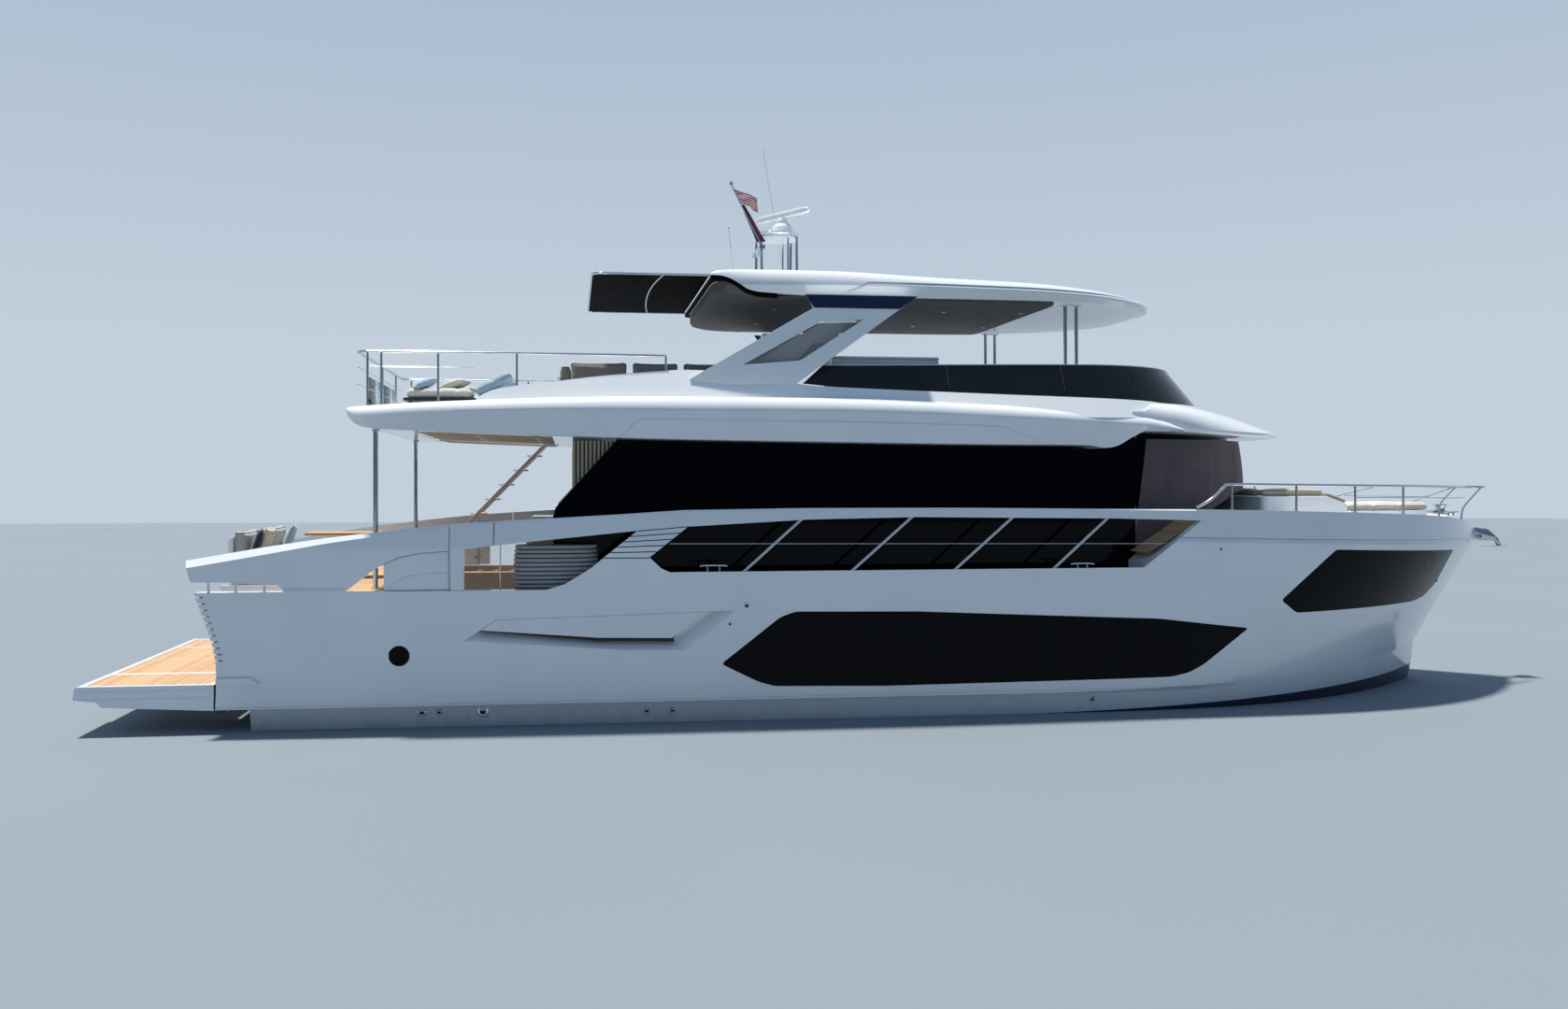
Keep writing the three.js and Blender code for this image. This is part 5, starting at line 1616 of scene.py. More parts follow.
@dataclass
class Deckhouse:
    """The dark glass band round the saloon and wheelhouse, its blinds and its windscreen cover."""

    skin: float = 20
    screen_x: float = 3990
    cover_aft: Line = ((2400, 3960), (3000, 4000), (4205, 4180))
    cover_low: Line = (
        (3700, 2400), (3960, 2400), (4720, 2960), (5200, 3060), (5700, 3300), (6500, 3480))
    cover_top: float = 4152
    aft_line: Line = (
        (-4990, 1900), (-4990, 2970), (-4950, 3110), (-4060, 4100), (-4060, 5000))
    seams: tuple[float, ...] = (-2305, -355, 1595)

    def shell(self, outside: float, inside: float, low: float) -> Piece:
        """Makes a wall between two insets of the deckhouse outline."""
        outer = plan(house_outline(outside, -7000), low, 4400)
        return cut(outer, plan(house_outline(inside, -7500), 1000, 5000))

    def headroom(self) -> Piece:
        """Makes the space below the upper deck and ahead of the slanted aft edge.

        Returns:
            The tool.
        """
        under = [(x, z) for x, _, _, _, z in UPPER_STATIONS if -4990 < x < 6500]
        room = through([(-4990, 1000), (-4990, height_on([(s[0], s[4]) for s in UPPER_STATIONS], -4990)),
                     *under, (6500, 4230), (6500, 1000)])
        return cut(room, through([(-9000, 1000), *self.aft_line, (-9000, 5000)]))

    def glass(self) -> None:
        """Builds the side glass, with the seams of its panes, and the windscreen."""
        band = common(self.shell(-self.skin, -GAP, DECK_Z + 90), self.headroom())
        screen = common(copied(band), block((self.screen_x + 10, -3000, FORE_Z + 130), (7000, 3000, 5000)))
        sides = common(band, block((-4985, 0, 0), (self.screen_x - 10, 3000, 5000)))
        for x in self.seams:
            y = 2180 + self.skin
            cut(sides, block((x - 3, y - 5, 0), (x + 3, y + 5, 5000)))
        paired(softened(sides, 24), "saloon_side_glass", GLASS, "saloon_glass")
        screen.name = "wheelhouse_screen"
        dressed(softened(screen, 24), GLASS, YACHT, ["windscreen"])

    def curtain(self) -> None:
        """Hangs the ribbed blind behind the slanted edge of the side glass."""
        (x0, z0), (x1, z1) = self.aft_line[2:4]
        steep = (z1 - z0) / (x1 - x0)
        for name, sign in SIDES.items():
            slats = []
            for k in range(11):
                x = -4700 + k * 60
                foot = max(3400, 4072 - steep * (-x - 4085))
                slats.append(block((x, sign * 2080 - 9, foot), (x + 34, sign * 2080 + 9, 4088)))
            y0, y1 = sorted((sign * 2052, sign * 2060))
            back = side([(-4702, 3392), (-4070, 4086), (-4702, 4086)], y0, y1, f"aft_blind_back_{name}")
            dressed(back, GREY_PIPING)
            blind = gathered(f"aft_blind_{name}", slats)
            dressed(softened(blind, 40), SOFFIT_VINYL)

    def stand_off(self, way: float, z: float, x: float, t: float) -> float:
        """Says how far the cover hangs off the glass, furthest ahead and tucked in along its top.

        Args:
            way: How far round the screen a place is.
            z: Its height.
            x: Its place along the boat.
            t: Its share of the way from the cover's foot to its top.

        Returns:
            The distance.
        """
        fold = (math.sin(way / 190 + 0.8 * math.sin(z / 420)) * 0.5 + math.sin(way / 83 + 1.7) * 0.14
                + math.sin((way + z * 0.9) / 310) * 0.5)
        front = max(0.0, min(1.0, (x - 4500) / 1700))
        crease = max(0.0, math.sin(way / 118 + 0.7 * math.sin(z / 520))) ** 5
        return 6 + 165 * front + (1 - t) ** 0.6 * ((34 + 70 * front) * (0.5 + 0.5 * fold / 1.14)
                                                   + (8 + 22 * front) * crease)

    def wrap(self) -> None:
        """Hangs the dark mesh cover over the windscreen, in soft upright folds."""
        first = 3700.0
        path = [Vector(p) for p in house_outline(-self.skin - 3, 3000, 90) if p[0] > first]
        run = [0.0]
        for before, after in zip(path, path[1:]):
            run.append(run[-1] + (after - before).length)
        length, columns, rows = run[-1], 241, 27
        xs, ys = [p.x for p in path], [p.y for p in path]
        edge = [(z, x - xs[0]) for z, x in self.cover_aft]
        outer, inner = [], []
        for i in range(columns):
            share = i / (columns - 1)
            near = float(np.interp(length * share, run, xs))
            low = height_on(self.cover_low, near)
            for r in range(rows):
                t = r / (rows - 1)
                z = low + (self.cover_top - low) * t
                way = length * share + height_on(edge, z) * (1 - 2 * share)
                here, ahead = (Vector((float(np.interp(s, run, xs)), float(np.interp(s, run, ys))))
                               for s in (way - 4, way + 4))
                out = Vector((ahead.y - here.y, here.x - ahead.x)).normalized()
                out *= 1 if out.dot(Vector((here.x - first + 900, here.y))) > 0 else -1
                proud = self.stand_off(way, z, here.x, t)
                x, y = (here + ahead) / 2
                outer.append((x + out.x * proud, y + out.y * proud, z))
                inner.append((x + out.x * (proud - 3), y + out.y * (proud - 3), z))
        cloth = skinned(outer, inner, columns, rows, "screen_cover")
        dressed(softened(cloth, 60), MESH_CLOTH, YACHT, ["windscreen_cover"])

    def build(self) -> None:
        """Builds all of it."""
        self.glass()
        self.curtain()
        self.wrap()


@dataclass
class UpperDeck:
    """The long overhang under the flybridge, with its raised side band and its visor."""

    steps: int = 7
    band: Line = (
        (-4080, 4060), (-3760, 4372), (-2210, 4362), (-700, 4350), (800, 4322), (1600, 4300), (2400, 4000),
        (2400, 3900), (-4080, 3900))
    # From aft to fore, and from the centreline out
    stairwell: tuple[float, float, float, float] = (-6950, -4940, 990, 1810)
    # Stations of its fore end, as above, and the visor's height, tip and half breadth
    side_end: Rows = (
        (3230, 2726, 4540, 4355, 3992), (3470, 2710, 4522, 4345, 4028), (3700, 2690, 4508, 4338, 4150),
        (3950, 2664, 4490, 4330, 4262), (4150, 2635, 4450, 4318, 4266), (4330, 2612, 4405, 4300, 4260),
        (4520, 2580, 4330, 4278, 4257), (4600, 2550, 4290, 4270, 4260))
    visor_rows: Rows = (
        (4250, 7120, 2560), (4258, 7250, 2600), (4290, 7275, 2620), (4330, 7240, 2635), (4392, 7065, 2650),
        (4455, 6865, 2655), (4522, 6650, 2655), (4588, 6405, 2640), (4642, 6160, 2610), (4680, 5930, 2570))
    droop: float = 60
    shoulder: Line = (
        (2000, 4440), (3690, 4440), (3705, 4556), (3930, 4564), (4000, 4606), (4100, 4677), (4180, 4730),
        (2000, 4730))

    def rings(self, wider: float = 0.0) -> list[list[Point]]:
        """Draws the sections along the deck as far as the visor.

        Args:
            wider: How far its sides stand out further.

        Returns:
            Rings of points.
        """
        rows = [s for s in UPPER_STATIONS if s[0] < 3100] + list(self.side_end)
        channels = [smooth_path([(r[0], r[i], 0) for r in rows], self.steps) for i in range(1, 5)]
        made = []
        for half_at, top_at, crease_at, under_at in zip(*channels):
            x, half = half_at.x, half_at.y + wider
            top, crease, under = top_at.y, crease_at.y, under_at.y
            port = [(0.0, under), (half * 0.9 - 60, under), (half * 0.972 - 14, under),
                    (half * 0.975, under + 8)]
            port += [(half * 0.93 + half * 0.07 * math.cos(a), crease + (top - crease) * math.sin(a))
                     for a in np.linspace(0, math.pi / 2, 9)]
            star = [(-y, z) for y, z in reversed(port[1:])]
            made.append([(x, y, z) for y, z in [*port, (0.0, top + 20), *star]])
        return made

    def visor(self) -> Piece:
        """Makes the visor: a drooping lip that swells up to the flybridge screen.

        Returns:
            The visor.
        """
        rings = []
        for z, tip, half in self.visor_rows:
            outline = [(2600.0, half)]
            for i in range(61):
                angle = i / 60 * math.pi / 2
                outline.append((3000 + (tip - 3000) * math.sin(angle) ** 0.94, half * math.cos(angle) ** 0.9))
            rings.append([(x, y, z - self.droop * math.sin(math.pi * max(0.0, (x - 4600) / 3400)))
                          for x, y in both_sides(outline)])
        return cut(loft(rings, "visor"), through(self.shoulder))

    def build(self) -> None:
        """Builds the deck."""
        slab = loft(self.rings(), "overhang")
        band = common(loft(self.rings(14)), through(self.band))
        added(slab, band, self.visor())
        x0, x1, y0, y1 = self.stairwell
        cut(slab, Flybridge().form(GAP), block((-9000, -2330, FLY_Z), (-5900, 2330, 5000)),
            block((x0, y0, 3000), (x1, y1, 6000)))
        dressed(softened(slab, 20), GELCOAT, YACHT, ["upper_deck"])
        self.soffit()

    def soffit(self) -> None:
        """Sets the beige lining and the round lamps under the aft overhang."""
        under = [(s[0], s[4]) for s in UPPER_STATIONS]
        wide = [(s[0], s[1]) for s in UPPER_STATIONS]
        rings = []
        for x in (-7500, -7200, -6900, -6590, -6200, -5700, -5200, -4995):
            z, half = height_on(under, x), height_on(wide, x) * 0.9 - 110
            rings.append([(x, -half, z - 6), (x, half, z - 6), (x, half, z + 3), (x, -half, z + 3)])
        x0, x1, y0, y1 = self.stairwell
        lining = cut(loft(rings, "soffit_lining"), block((x0, y0, 3000), (x1, y1, 6000)))
        dressed(softened(lining, 30), SOFFIT_VINYL)
        lenses, rims = [], []
        for x in (-7000, -6100, -5200):
            for y in (-1500, -500, 500, 1500):
                if -6950 < x < -4900 and y > 900:
                    continue
                z = height_on(under, x)
                lenses.append(pin(44, -12, 0, (x, y, z), 24))
                rims.append(turned([(44, -13), (56, -11), (58, -4), (44, -4)], (x, y, z), 24, hollow=True))
        dressed(gathered("soffit_lamps", lenses), LAMP)
        dressed(softened(gathered("soffit_lamp_rims", rims), 40), STAINLESS)


@dataclass
class Flybridge:
    """The coaming round the flybridge, its dark screen and the slanted arches."""

    low: float = 4450
    high: float = 5350
    # At the low and at the high level
    half: tuple[float, float] = (2720, 2290)
    tip: tuple[float, float] = (6080, 5300)
    aft: float = -6060
    arch: Line = (
        (-3020, 4975), (-1120, 6085), (-1200, 6249), (360, 6249), (210, 6110), (-1430, 4930), (-1570, 4820))
    arch_hole: Line = ((-2230, 5200), (-1050, 5860), (-420, 5890), (-1380, 5270))

    def form(self, grow: float) -> Piece:
        """Makes the sloping form that the coaming and the screen share.

        Args:
            grow: How far it stands out.

        Returns:
            The closed solid above the floor.
        """
        rings = []
        for z in (4300, 5400):
            t = (z - self.low) / (self.high - self.low)
            half = self.half[0] + (self.half[1] - self.half[0]) * t + grow
            tip = self.tip[0] + (self.tip[1] - self.tip[0]) * t + grow
            outline = [(self.aft - grow, half)]
            for i in range(41):
                angle = i / 40 * math.pi / 2
                outline.append((3000 + (tip - 3000) * math.sin(angle), half * math.cos(angle)))
            rings.append([(x, y, z) for x, y in both_sides(outline)])
        return common(loft(rings), block((-9000, -FAR, FLY_Z), (9000, FAR, 6000)))

    def top(self, grow: float) -> Piece:
        """Makes the space under the coaming's top line."""
        line = [tuple(p)[:2] for p in smooth_path([(x, z, 0) for x, z in COAMING_TOP], 6)]
        return through([(-6200, 4000), *[(x - grow, z + grow) for x, z in line], (6300, 4000)])

    def coaming(self) -> None:
        """Builds the coaming."""
        wall = cut(self.form(0), self.form(-110), block((-7000, -2200, 4000), (self.aft + 300, 2200, 5500)))
        common(wall, self.top(0), block((-9000, -FAR, FLY_Z + GAP), (9000, FAR, 6000)))
        dressed(softened(wall, 24, 9), GELCOAT, YACHT, ["fly_coaming"])

    def screen(self) -> None:
        """Builds the dark screen, with the bright line along its top and the seams between its panes."""
        line = [tuple(p)[:2] for p in smooth_path([(x, z, 0) for x, z in COAMING_TOP], 6) if p.x > -900]
        outline = [(-1330, 4935), *[(x, z + GAP) for x, z in line], (6300, 5300), (4450, 5295), (2290, 5275),
                   (-1000, 5225)]
        arch = self.arch_block(-GAP)
        wall = cut(common(cut(self.form(-30), self.form(-52)), through(outline)), arch, mirrored(arch))
        for x in (900, 2700, 3900):
            cut(wall, block((x - 4, -FAR, 4000), (x + 4, FAR, 6000)))
        dressed(softened(wall, 24), SMOKED_ACRYLIC, YACHT, ["fly_windscreen"])
        edge = [(-1010, 5225), (2290, 5275), (4450, 5295), (6300, 5300)]
        strip = [(x, z - 7) for x, z in edge] + [(x, z + 7) for x, z in reversed(edge)]
        cap = common(cut(self.form(-24), self.form(-58)), through(strip))
        cap.name = "fly_screen_trim"
        dressed(softened(cap, 40), STAINLESS)

    def arch_block(self, by: float) -> Piece:
        """Makes the arch's whole outline as a block, to port."""
        return side(shrunk(self.arch, by), 2180, 2500)

    def arches(self) -> None:
        """Builds the arches, the grey panel in each opening and the navy plate at each head."""
        plate = cut(side(rounded(self.arch, 26, 4), 2180, 2500),
                    side(rounded(self.arch_hole, 40, 5), 2000, 2600))
        cut(plate, common(self.form(GAP), self.top(GAP)))
        paired(softened(plate, 30, 26, 3), "arch_leg", GELCOAT, "arch")
        pocket = [(-2090, 5232), (-1052, 5840), (-500, 5868), (-950, 5560), (-1120, 5560), (-1400, 5280)]
        navy = [(-1172, 6052), (-1310, 6246), (398, 6246), (212, 6116), (122, 6052)]
        for name, sign in SIDES.items():
            y = sorted((sign * 2300, sign * 2312))
            panel = side(rounded(pocket, 30, 4), *y, name=f"arch_panel_{name}")
            dressed(softened(panel, 30), GREY_VINYL)
            y = sorted((sign * 2496, sign * 2507))
            shield = side(rounded(navy, 12, 3), *y, name=f"arch_plate_{name}")
            dressed(softened(shield, 30, 2), NAVY_GELCOAT)

    def build(self) -> None:
        """Builds all of it."""
        self.coaming()
        self.screen()
        self.arches()


@dataclass
class Hardtop:
    """The hardtop: a thin white shell over a grey lining, swept down at its aft end."""

    # X, half breadth, the heights of the top, the edge and the underside, and how full the shoulder is
    stations: Rows = (
        (-2650, 2130, 6610, 6480, 6400, 0.985), (-2450, 2180, 6655, 6440, 6300, 0.96),
        (-1940, 2210, 6680, 6420, ROOF_Z, 0.92), (-600, 2220, 6680, 6440, ROOF_Z, 0.9),
        (750, 2210, 6620, 6430, ROOF_Z, 0.9), (2300, 2180, 6570, 6400, ROOF_Z, 0.9),
        (3200, 2050, 6520, 6370, ROOF_Z, 0.9), (3900, 1780, 6470, 6340, ROOF_Z, 0.9),
        (4450, 1380, 6430, 6330, ROOF_Z + 10, 0.9), (4800, 900, 6400, 6325, ROOF_Z + 30, 0.9),
        (4980, 300, 6370, 6320, ROOF_Z + 50, 0.9))
    sweep: Line = (
        (-2660, 6572), (-2520, 6560), (-2380, 6520), (-2240, 6440), (-2120, 6370), (-1960, 6330),
        (-1800, 6318))
    ledge: Line = (
        (-640, 6345), (-270, 6505), (900, 6494), (2300, 6470), (3400, 6440), (4300, 6410))
    rim: float = 6278
    steps: int = 8

    def rings(self, inset: float = 0.0) -> list[list[Point]]:
        """Draws the sections along the hardtop.

        Args:
            inset: How far its sides are drawn in.

        Returns:
            Rings of points.
        """
        channels = [smooth_path([(s[0], s[i], 0) for s in self.stations], self.steps) for i in range(1, 6)]
        made = []
        for half_at, top_at, edge_at, under_at, shoulder_at in zip(*channels):
            x, half = half_at.x, half_at.y - inset
            top, edge, under, shoulder = top_at.y, edge_at.y, under_at.y, shoulder_at.y
            port = [(0.0, under), (half * 0.94, under), (half * 0.965, under + (edge - under) * 0.12)]
            port += [(half * (shoulder + (1 - shoulder) * math.cos(a)), edge + (top - edge) * math.sin(a))
                     for a in np.linspace(0, math.pi / 2, 9)]
            star = [(-y, z) for y, z in reversed(port[1:])]
            made.append([(x, y, z) for y, z in [*port, (0.0, top + 15), *star]])
        return made

    def swept(self, drop: float) -> list[tuple[float, float]]:
        """Draws the lower edge of the white shell, moved down by a drop."""
        line = [tuple(p)[:2] for p in smooth_path([(x, z, 0) for x, z in self.sweep], 6)]
        return [(x, z - drop) for x, z in line] + [(-1500, self.rim - drop + 20), (-1000, self.rim - drop)]

    def ledge_tool(self, shell: Piece) -> Piece:
        """Makes a tool for each side's ledge: a V groove whose lower face looks up.

        Args:
            shell: The shell, before it is cut.

        Returns:
            The tool, for both sides.
        """
        skin = skin_of(shell)
        rings = []
        for t in np.linspace(0, 1, 109):
            x = self.ledge[0][0] + (self.ledge[-1][0] - self.ledge[0][0]) * t
            top = height_on(self.ledge, x)
            fade = min(1.0, t / 0.03 + 0.05, (1 - t) / 0.2 + 0.05)
            foot = top - 12 - 34 * fade
            y0, y1 = breadth_at(skin, x, top), breadth_at(skin, x, foot)
            deep = y0 - 34 * fade
            rings.append([(x, y0 + 60, top), (x, deep, top - 1), (x, y1 + 1, foot), (x, y1 + 60, foot)])
        tool = loft(rings)
        return gathered("ledges", [tool, mirrored(tool)])

    def build(self) -> None:
        """Builds all of it."""
        line = self.swept(0)
        shell = common(loft(self.rings()),
                       through([*line, (6000, self.rim), (6000, 8000), (-4000, 8000), (-4000, 6572)]))
        cut(shell, self.ledge_tool(shell))
        dressed(softened(shell, 24), GELCOAT, YACHT, ["hardtop"])
        self.seal()
        self.lining()

    def seal(self) -> None:
        """Fits the black band under the swept end."""
        band = common(loft(self.rings(14)), through([*self.swept(GAP), *reversed(self.swept(62))]),
                      block((-3000, -FAR, 6000), (-1650, FAR, 7000)))
        band.name = "hardtop_seal"
        dressed(softened(band, 24), CANVAS)

    def lining(self) -> None:
        """Fits the grey lining with its piping and lamps, and the dome on the roof."""
        lining = common(loft(self.rings(46)), through([
            *self.swept(64)[:-2], (-1500, self.rim - 2), (6000, self.rim - 2), (6000, 6000), (-4000, 6000)]))
        end = rounded(oblong(-2600, -2300, 2800, 2300), 700, 10)
        common(lining, plan(end, 6000, 7000))
        fall = self.swept(66)
        aft = sorted(((x, y) for x, y in end if x < -1600), key=lambda p: math.atan2(p[1], -p[0] - 1500))
        piping = tube([(x, y, height_on(fall, x)) for x, y in aft if abs(y) < 2040], 11, 8,
                      name="lining_piping")
        dressed(softened(piping, 60), CUSHION_CLOTH)
        for x in (-1250, 450, 1900):
            cut(lining, block((x - 3, -FAR, 6200), (x + 3, FAR, 6256)))
        for y in (-1300, 1300):
            cut(lining, block((-4000, y - 3, 6200), (2700, y + 3, 6256)))
        lining.name = "hardtop_lining"
        dressed(softened(lining, 24), HEAD_LINING)
        lenses = [pin(40, -4, 4, (x, y, ROOF_Z), 20)
                  for x in (-1500, 0, 1300, 2600) for y in (-900, 900)]
        dressed(gathered("hardtop_lamps", lenses), LAMP)
        dome = turned([(0, 6690), (330, 6690), (322, 6722), (270, 6768), (170, 6796), (0, 6806)],
                      (-350, 0, 0), 40)
        dome.name = "roof_dome"
        dressed(softened(dome, 40), GELCOAT)


@dataclass
class Awning:
    """The black sun awning behind the hardtop: canvas over a stainless frame with a middle bow."""

    fore: float = -2650
    aft: float = -4420
    half: float = 2060
    z: float = 6575
    tube: float = 18
    middle: float = -3350

    def build(self) -> None:
        """Builds the frame and the canvas."""
        bend = 160
        path = [(self.fore - GAP, -self.half, self.z), (self.aft + bend, -self.half, self.z)]
        path += [(self.aft + bend - bend * math.sin(a), -self.half + bend - bend * math.cos(a), self.z)
                 for a in np.linspace(0.1, math.pi / 2, 8)]
        loop = [*path, *[(x, -y, z) for x, y, z in reversed(path)]]
        bow = [(self.middle - 110 * (1 - (y / self.half) ** 2), y, self.z + 30 * (1 - (y / self.half) ** 2))
               for y in np.linspace(-self.half, self.half, 17)]
        frame_piece = gathered("awning_bows", [tube(loop, self.tube, 14), tube(bow, 13, 12)])
        dressed(softened(frame_piece, 50), STAINLESS, YACHT, ["awning_frame"])
        self.canvas()

    def canvas(self) -> None:
        """Stretches the canvas over the bows, sagging a little between them."""
        x0, x1, half = self.aft + 16, self.fore - 22, self.half - 6
        columns, rows = 49, 61
        top, low = [], []
        for i in range(columns):
            u = i / (columns - 1)
            x = x0 + (x1 - x0) * u
            for j in range(rows):
                v = j / (rows - 1)
                y = -half + 2 * half * v
                near = x - self.middle + 110 * (1 - (y / half) ** 2)
                lift = 30 * math.exp(-(near / 260) ** 2) * (1 - (y / half) ** 2)
                sag = 16 * math.sin(math.pi * min(1.0, abs(near) / 880)) * math.sin(math.pi * v) ** 0.7
                ripple = 2.0 * math.sin(y / 95 + x / 400) * math.sin(math.pi * u)
                z = self.z + 2 + lift - sag + ripple
                top.append((x, y, z + 1.5))
                low.append((x, y, z - 1.5))
        cloth = skinned(top, low, columns, rows, "awning_canvas")
        dressed(softened(cloth, 60), CANVAS, YACHT, ["awning"])


@dataclass
class MastSet:
    """The mast on the hardtop, its scanner, aerials and flags."""

    x: float = -1205
    top: float = 7580
    roof: float = 6695
    turn: float = -56

    def mast(self) -> None:
        """Builds the mast's plate, legs, oval deck and pedestal."""
        top, roof = self.top, self.roof
        plate = plan(rounded(oblong(self.x - 460, -420, self.x + 250, 420), 120, 8), roof + GAP, roof + 26)
        oval = [(self.x - 105 + 345 * swell(math.cos(a), 0.8), 350 * swell(math.sin(a), 0.8))
                for a in around(64)]
        deck = plan(oval, top - 40, top)
        pedestal = turned([
            (0, top), (205, top), (205, top + 30), (178, top + 60), (170, top + 150), (150, top + 200),
            (112, top + 225), (108, top + 268), (0, top + 268)], (self.x, 0, 0), 48)
        white = gathered("mast_body", [softened(p, 40) for p in (plate, deck, pedestal)])
        dressed(softened(white, 35), GELCOAT, YACHT, ["mast"])
        legs = [tube([(self.x + dx, y, roof + 20), (self.x + dx, y * 0.8, top - 30)], 24, 20)
                for dx in (-400, 190) for y in (-330, 330)]
        legs += [tube([(self.x + 50, y, roof + 20), (self.x + 50, y, top - 30)], 15, 14) for y in (-250, 250)]
        ring = [(x + (x - self.x) * 0.04, y * 1.04, top + 34) for x, y in oval[::2]]
        legs.append(tube(ring, 9, 10, True))
        for x, y in oval[::8]:
            legs.append(tube([(x, y * 1.02, top - 20), (x, y * 1.03, top + 34)], 6, 8))
        dressed(softened(gathered("mast_legs", legs), 40), STAINLESS)

    def scanner(self) -> None:
        """Builds the open array scanner, which turns."""
        angle = math.radians(self.turn)
        z = self.top + 375
        rings = []
        for k in range(25):
            t = -1 + 2 * k / 24
            reach = 650 * t
            squeeze = (1 - abs(t) ** 14) * 0.95 + 0.05
            ring = []
            for a in around(20):
                across = 62 * squeeze * swell(math.cos(a), 0.55)
                rise = 56 * squeeze * swell(math.sin(a), 0.55)
                ring.append((self.x + reach * math.cos(angle) - across * math.sin(angle),
                             reach * math.sin(angle) + across * math.cos(angle), z + rise))
            rings.append(ring)
        bar = loft(rings)
        foot, head = self.top + 271, self.top + 330
        hub = turned([(0, foot), (92, foot), (88, foot + 29), (66, head), (0, head)], (self.x, 0, 0), 40)
        array = gathered("scanner_array", [bar, hub])
        dressed(softened(array, 35), GELCOAT, "radar", ["radar_scanner"])

    def aerials(self) -> None:
        """Sets the whip aerial, the short aerial, the flagstaff and the lamps."""
        metal = [tube([(-949, 960, self.roof + 14), (-1010, 960, self.roof + 350)], 14, 12),
                 block((-1010, 400, self.roof + GAP), (-910, 1000, self.roof + 24))]
        dressed(softened(gathered("whip_base", metal), 40), STAINLESS)
        white = [tube([(-1008, 960, self.roof + 340), (-1381, 960, 9318)], 7.5, 10),
                 tube([(-2040, -300, 6690), (-2150, -300, 7640)], 8, 10),
                 turned([(0, 7630), (16, 7640), (14, 7680), (0, 7690)], (-2150, -300, 0), 16)]
        dressed(softened(gathered("aerials", white), 40), GELCOAT)
        staff = [tube([(-1635, -510, self.top - 260), (-2138, -510, 8320)], 13, 12),
                 block((self.x - 470, -540, self.top - 290), (self.x - 380, 300, self.top - 230)),
                 tube([(-1310, 250, 6706), (-1310, 250, 6980)], 20, 16),
                 turned([(0, 8300), (26, 8310), (30, 8340), (22, 8372), (0, 8380)], (-2138, -510, 0), 20)]
        dressed(softened(gathered("flagstaff", staff), 40), STAINLESS)

    def flag(self, name: str, corners: Sequence[Point], finish: Finish, sway: float) -> None:
        """Hangs a flag: a thin waved sheet between four corners.

        Args:
            name: Its name.
            corners: Hoist top, fly top, fly bottom and hoist bottom.
            finish: Its cloth.
            sway: How deep its waves are.
        """
        a, b, c, d = (Vector(p) for p in corners)
        columns, rows = 33, 21
        across = (b - a).cross(d - a).normalized()
        front, back = [], []
        for i in range(columns):
            u = i / (columns - 1)
            for j in range(rows):
                v = j / (rows - 1)
                at = a * (1 - u) * (1 - v) + b * u * (1 - v) + c * u * v + d * (1 - u) * v
                wave = sway * math.sin(u * 7.5 + v * 1.6) * (0.25 + u) + sway * 0.4 * math.sin(v * 6 + u * 3)
                front.append(tuple(at + across * (wave + 0.8)))
                back.append(tuple(at + across * (wave - 0.8)))
        cloth = skinned(front, back, columns, rows, name)
        dressed(softened(cloth, 60), finish)

    def build(self) -> None:
        """Builds all of it."""
        self.mast()
        self.scanner()
        self.aerials()
        self.flag("flag_upper",
                  [(-2110, -512, 8262), (-1700, -470, 8130), (-1690, -480, 7890), (-2000, -512, 8050)],
                  STRIPED_CLOTH, 26)
        self.flag("flag_lower",
                  [(-1990, -520, 8020), (-1900, -500, 7990), (-1560, -470, 7420), (-1720, -500, 7400)],
                  NAVY_CLOTH, 18)


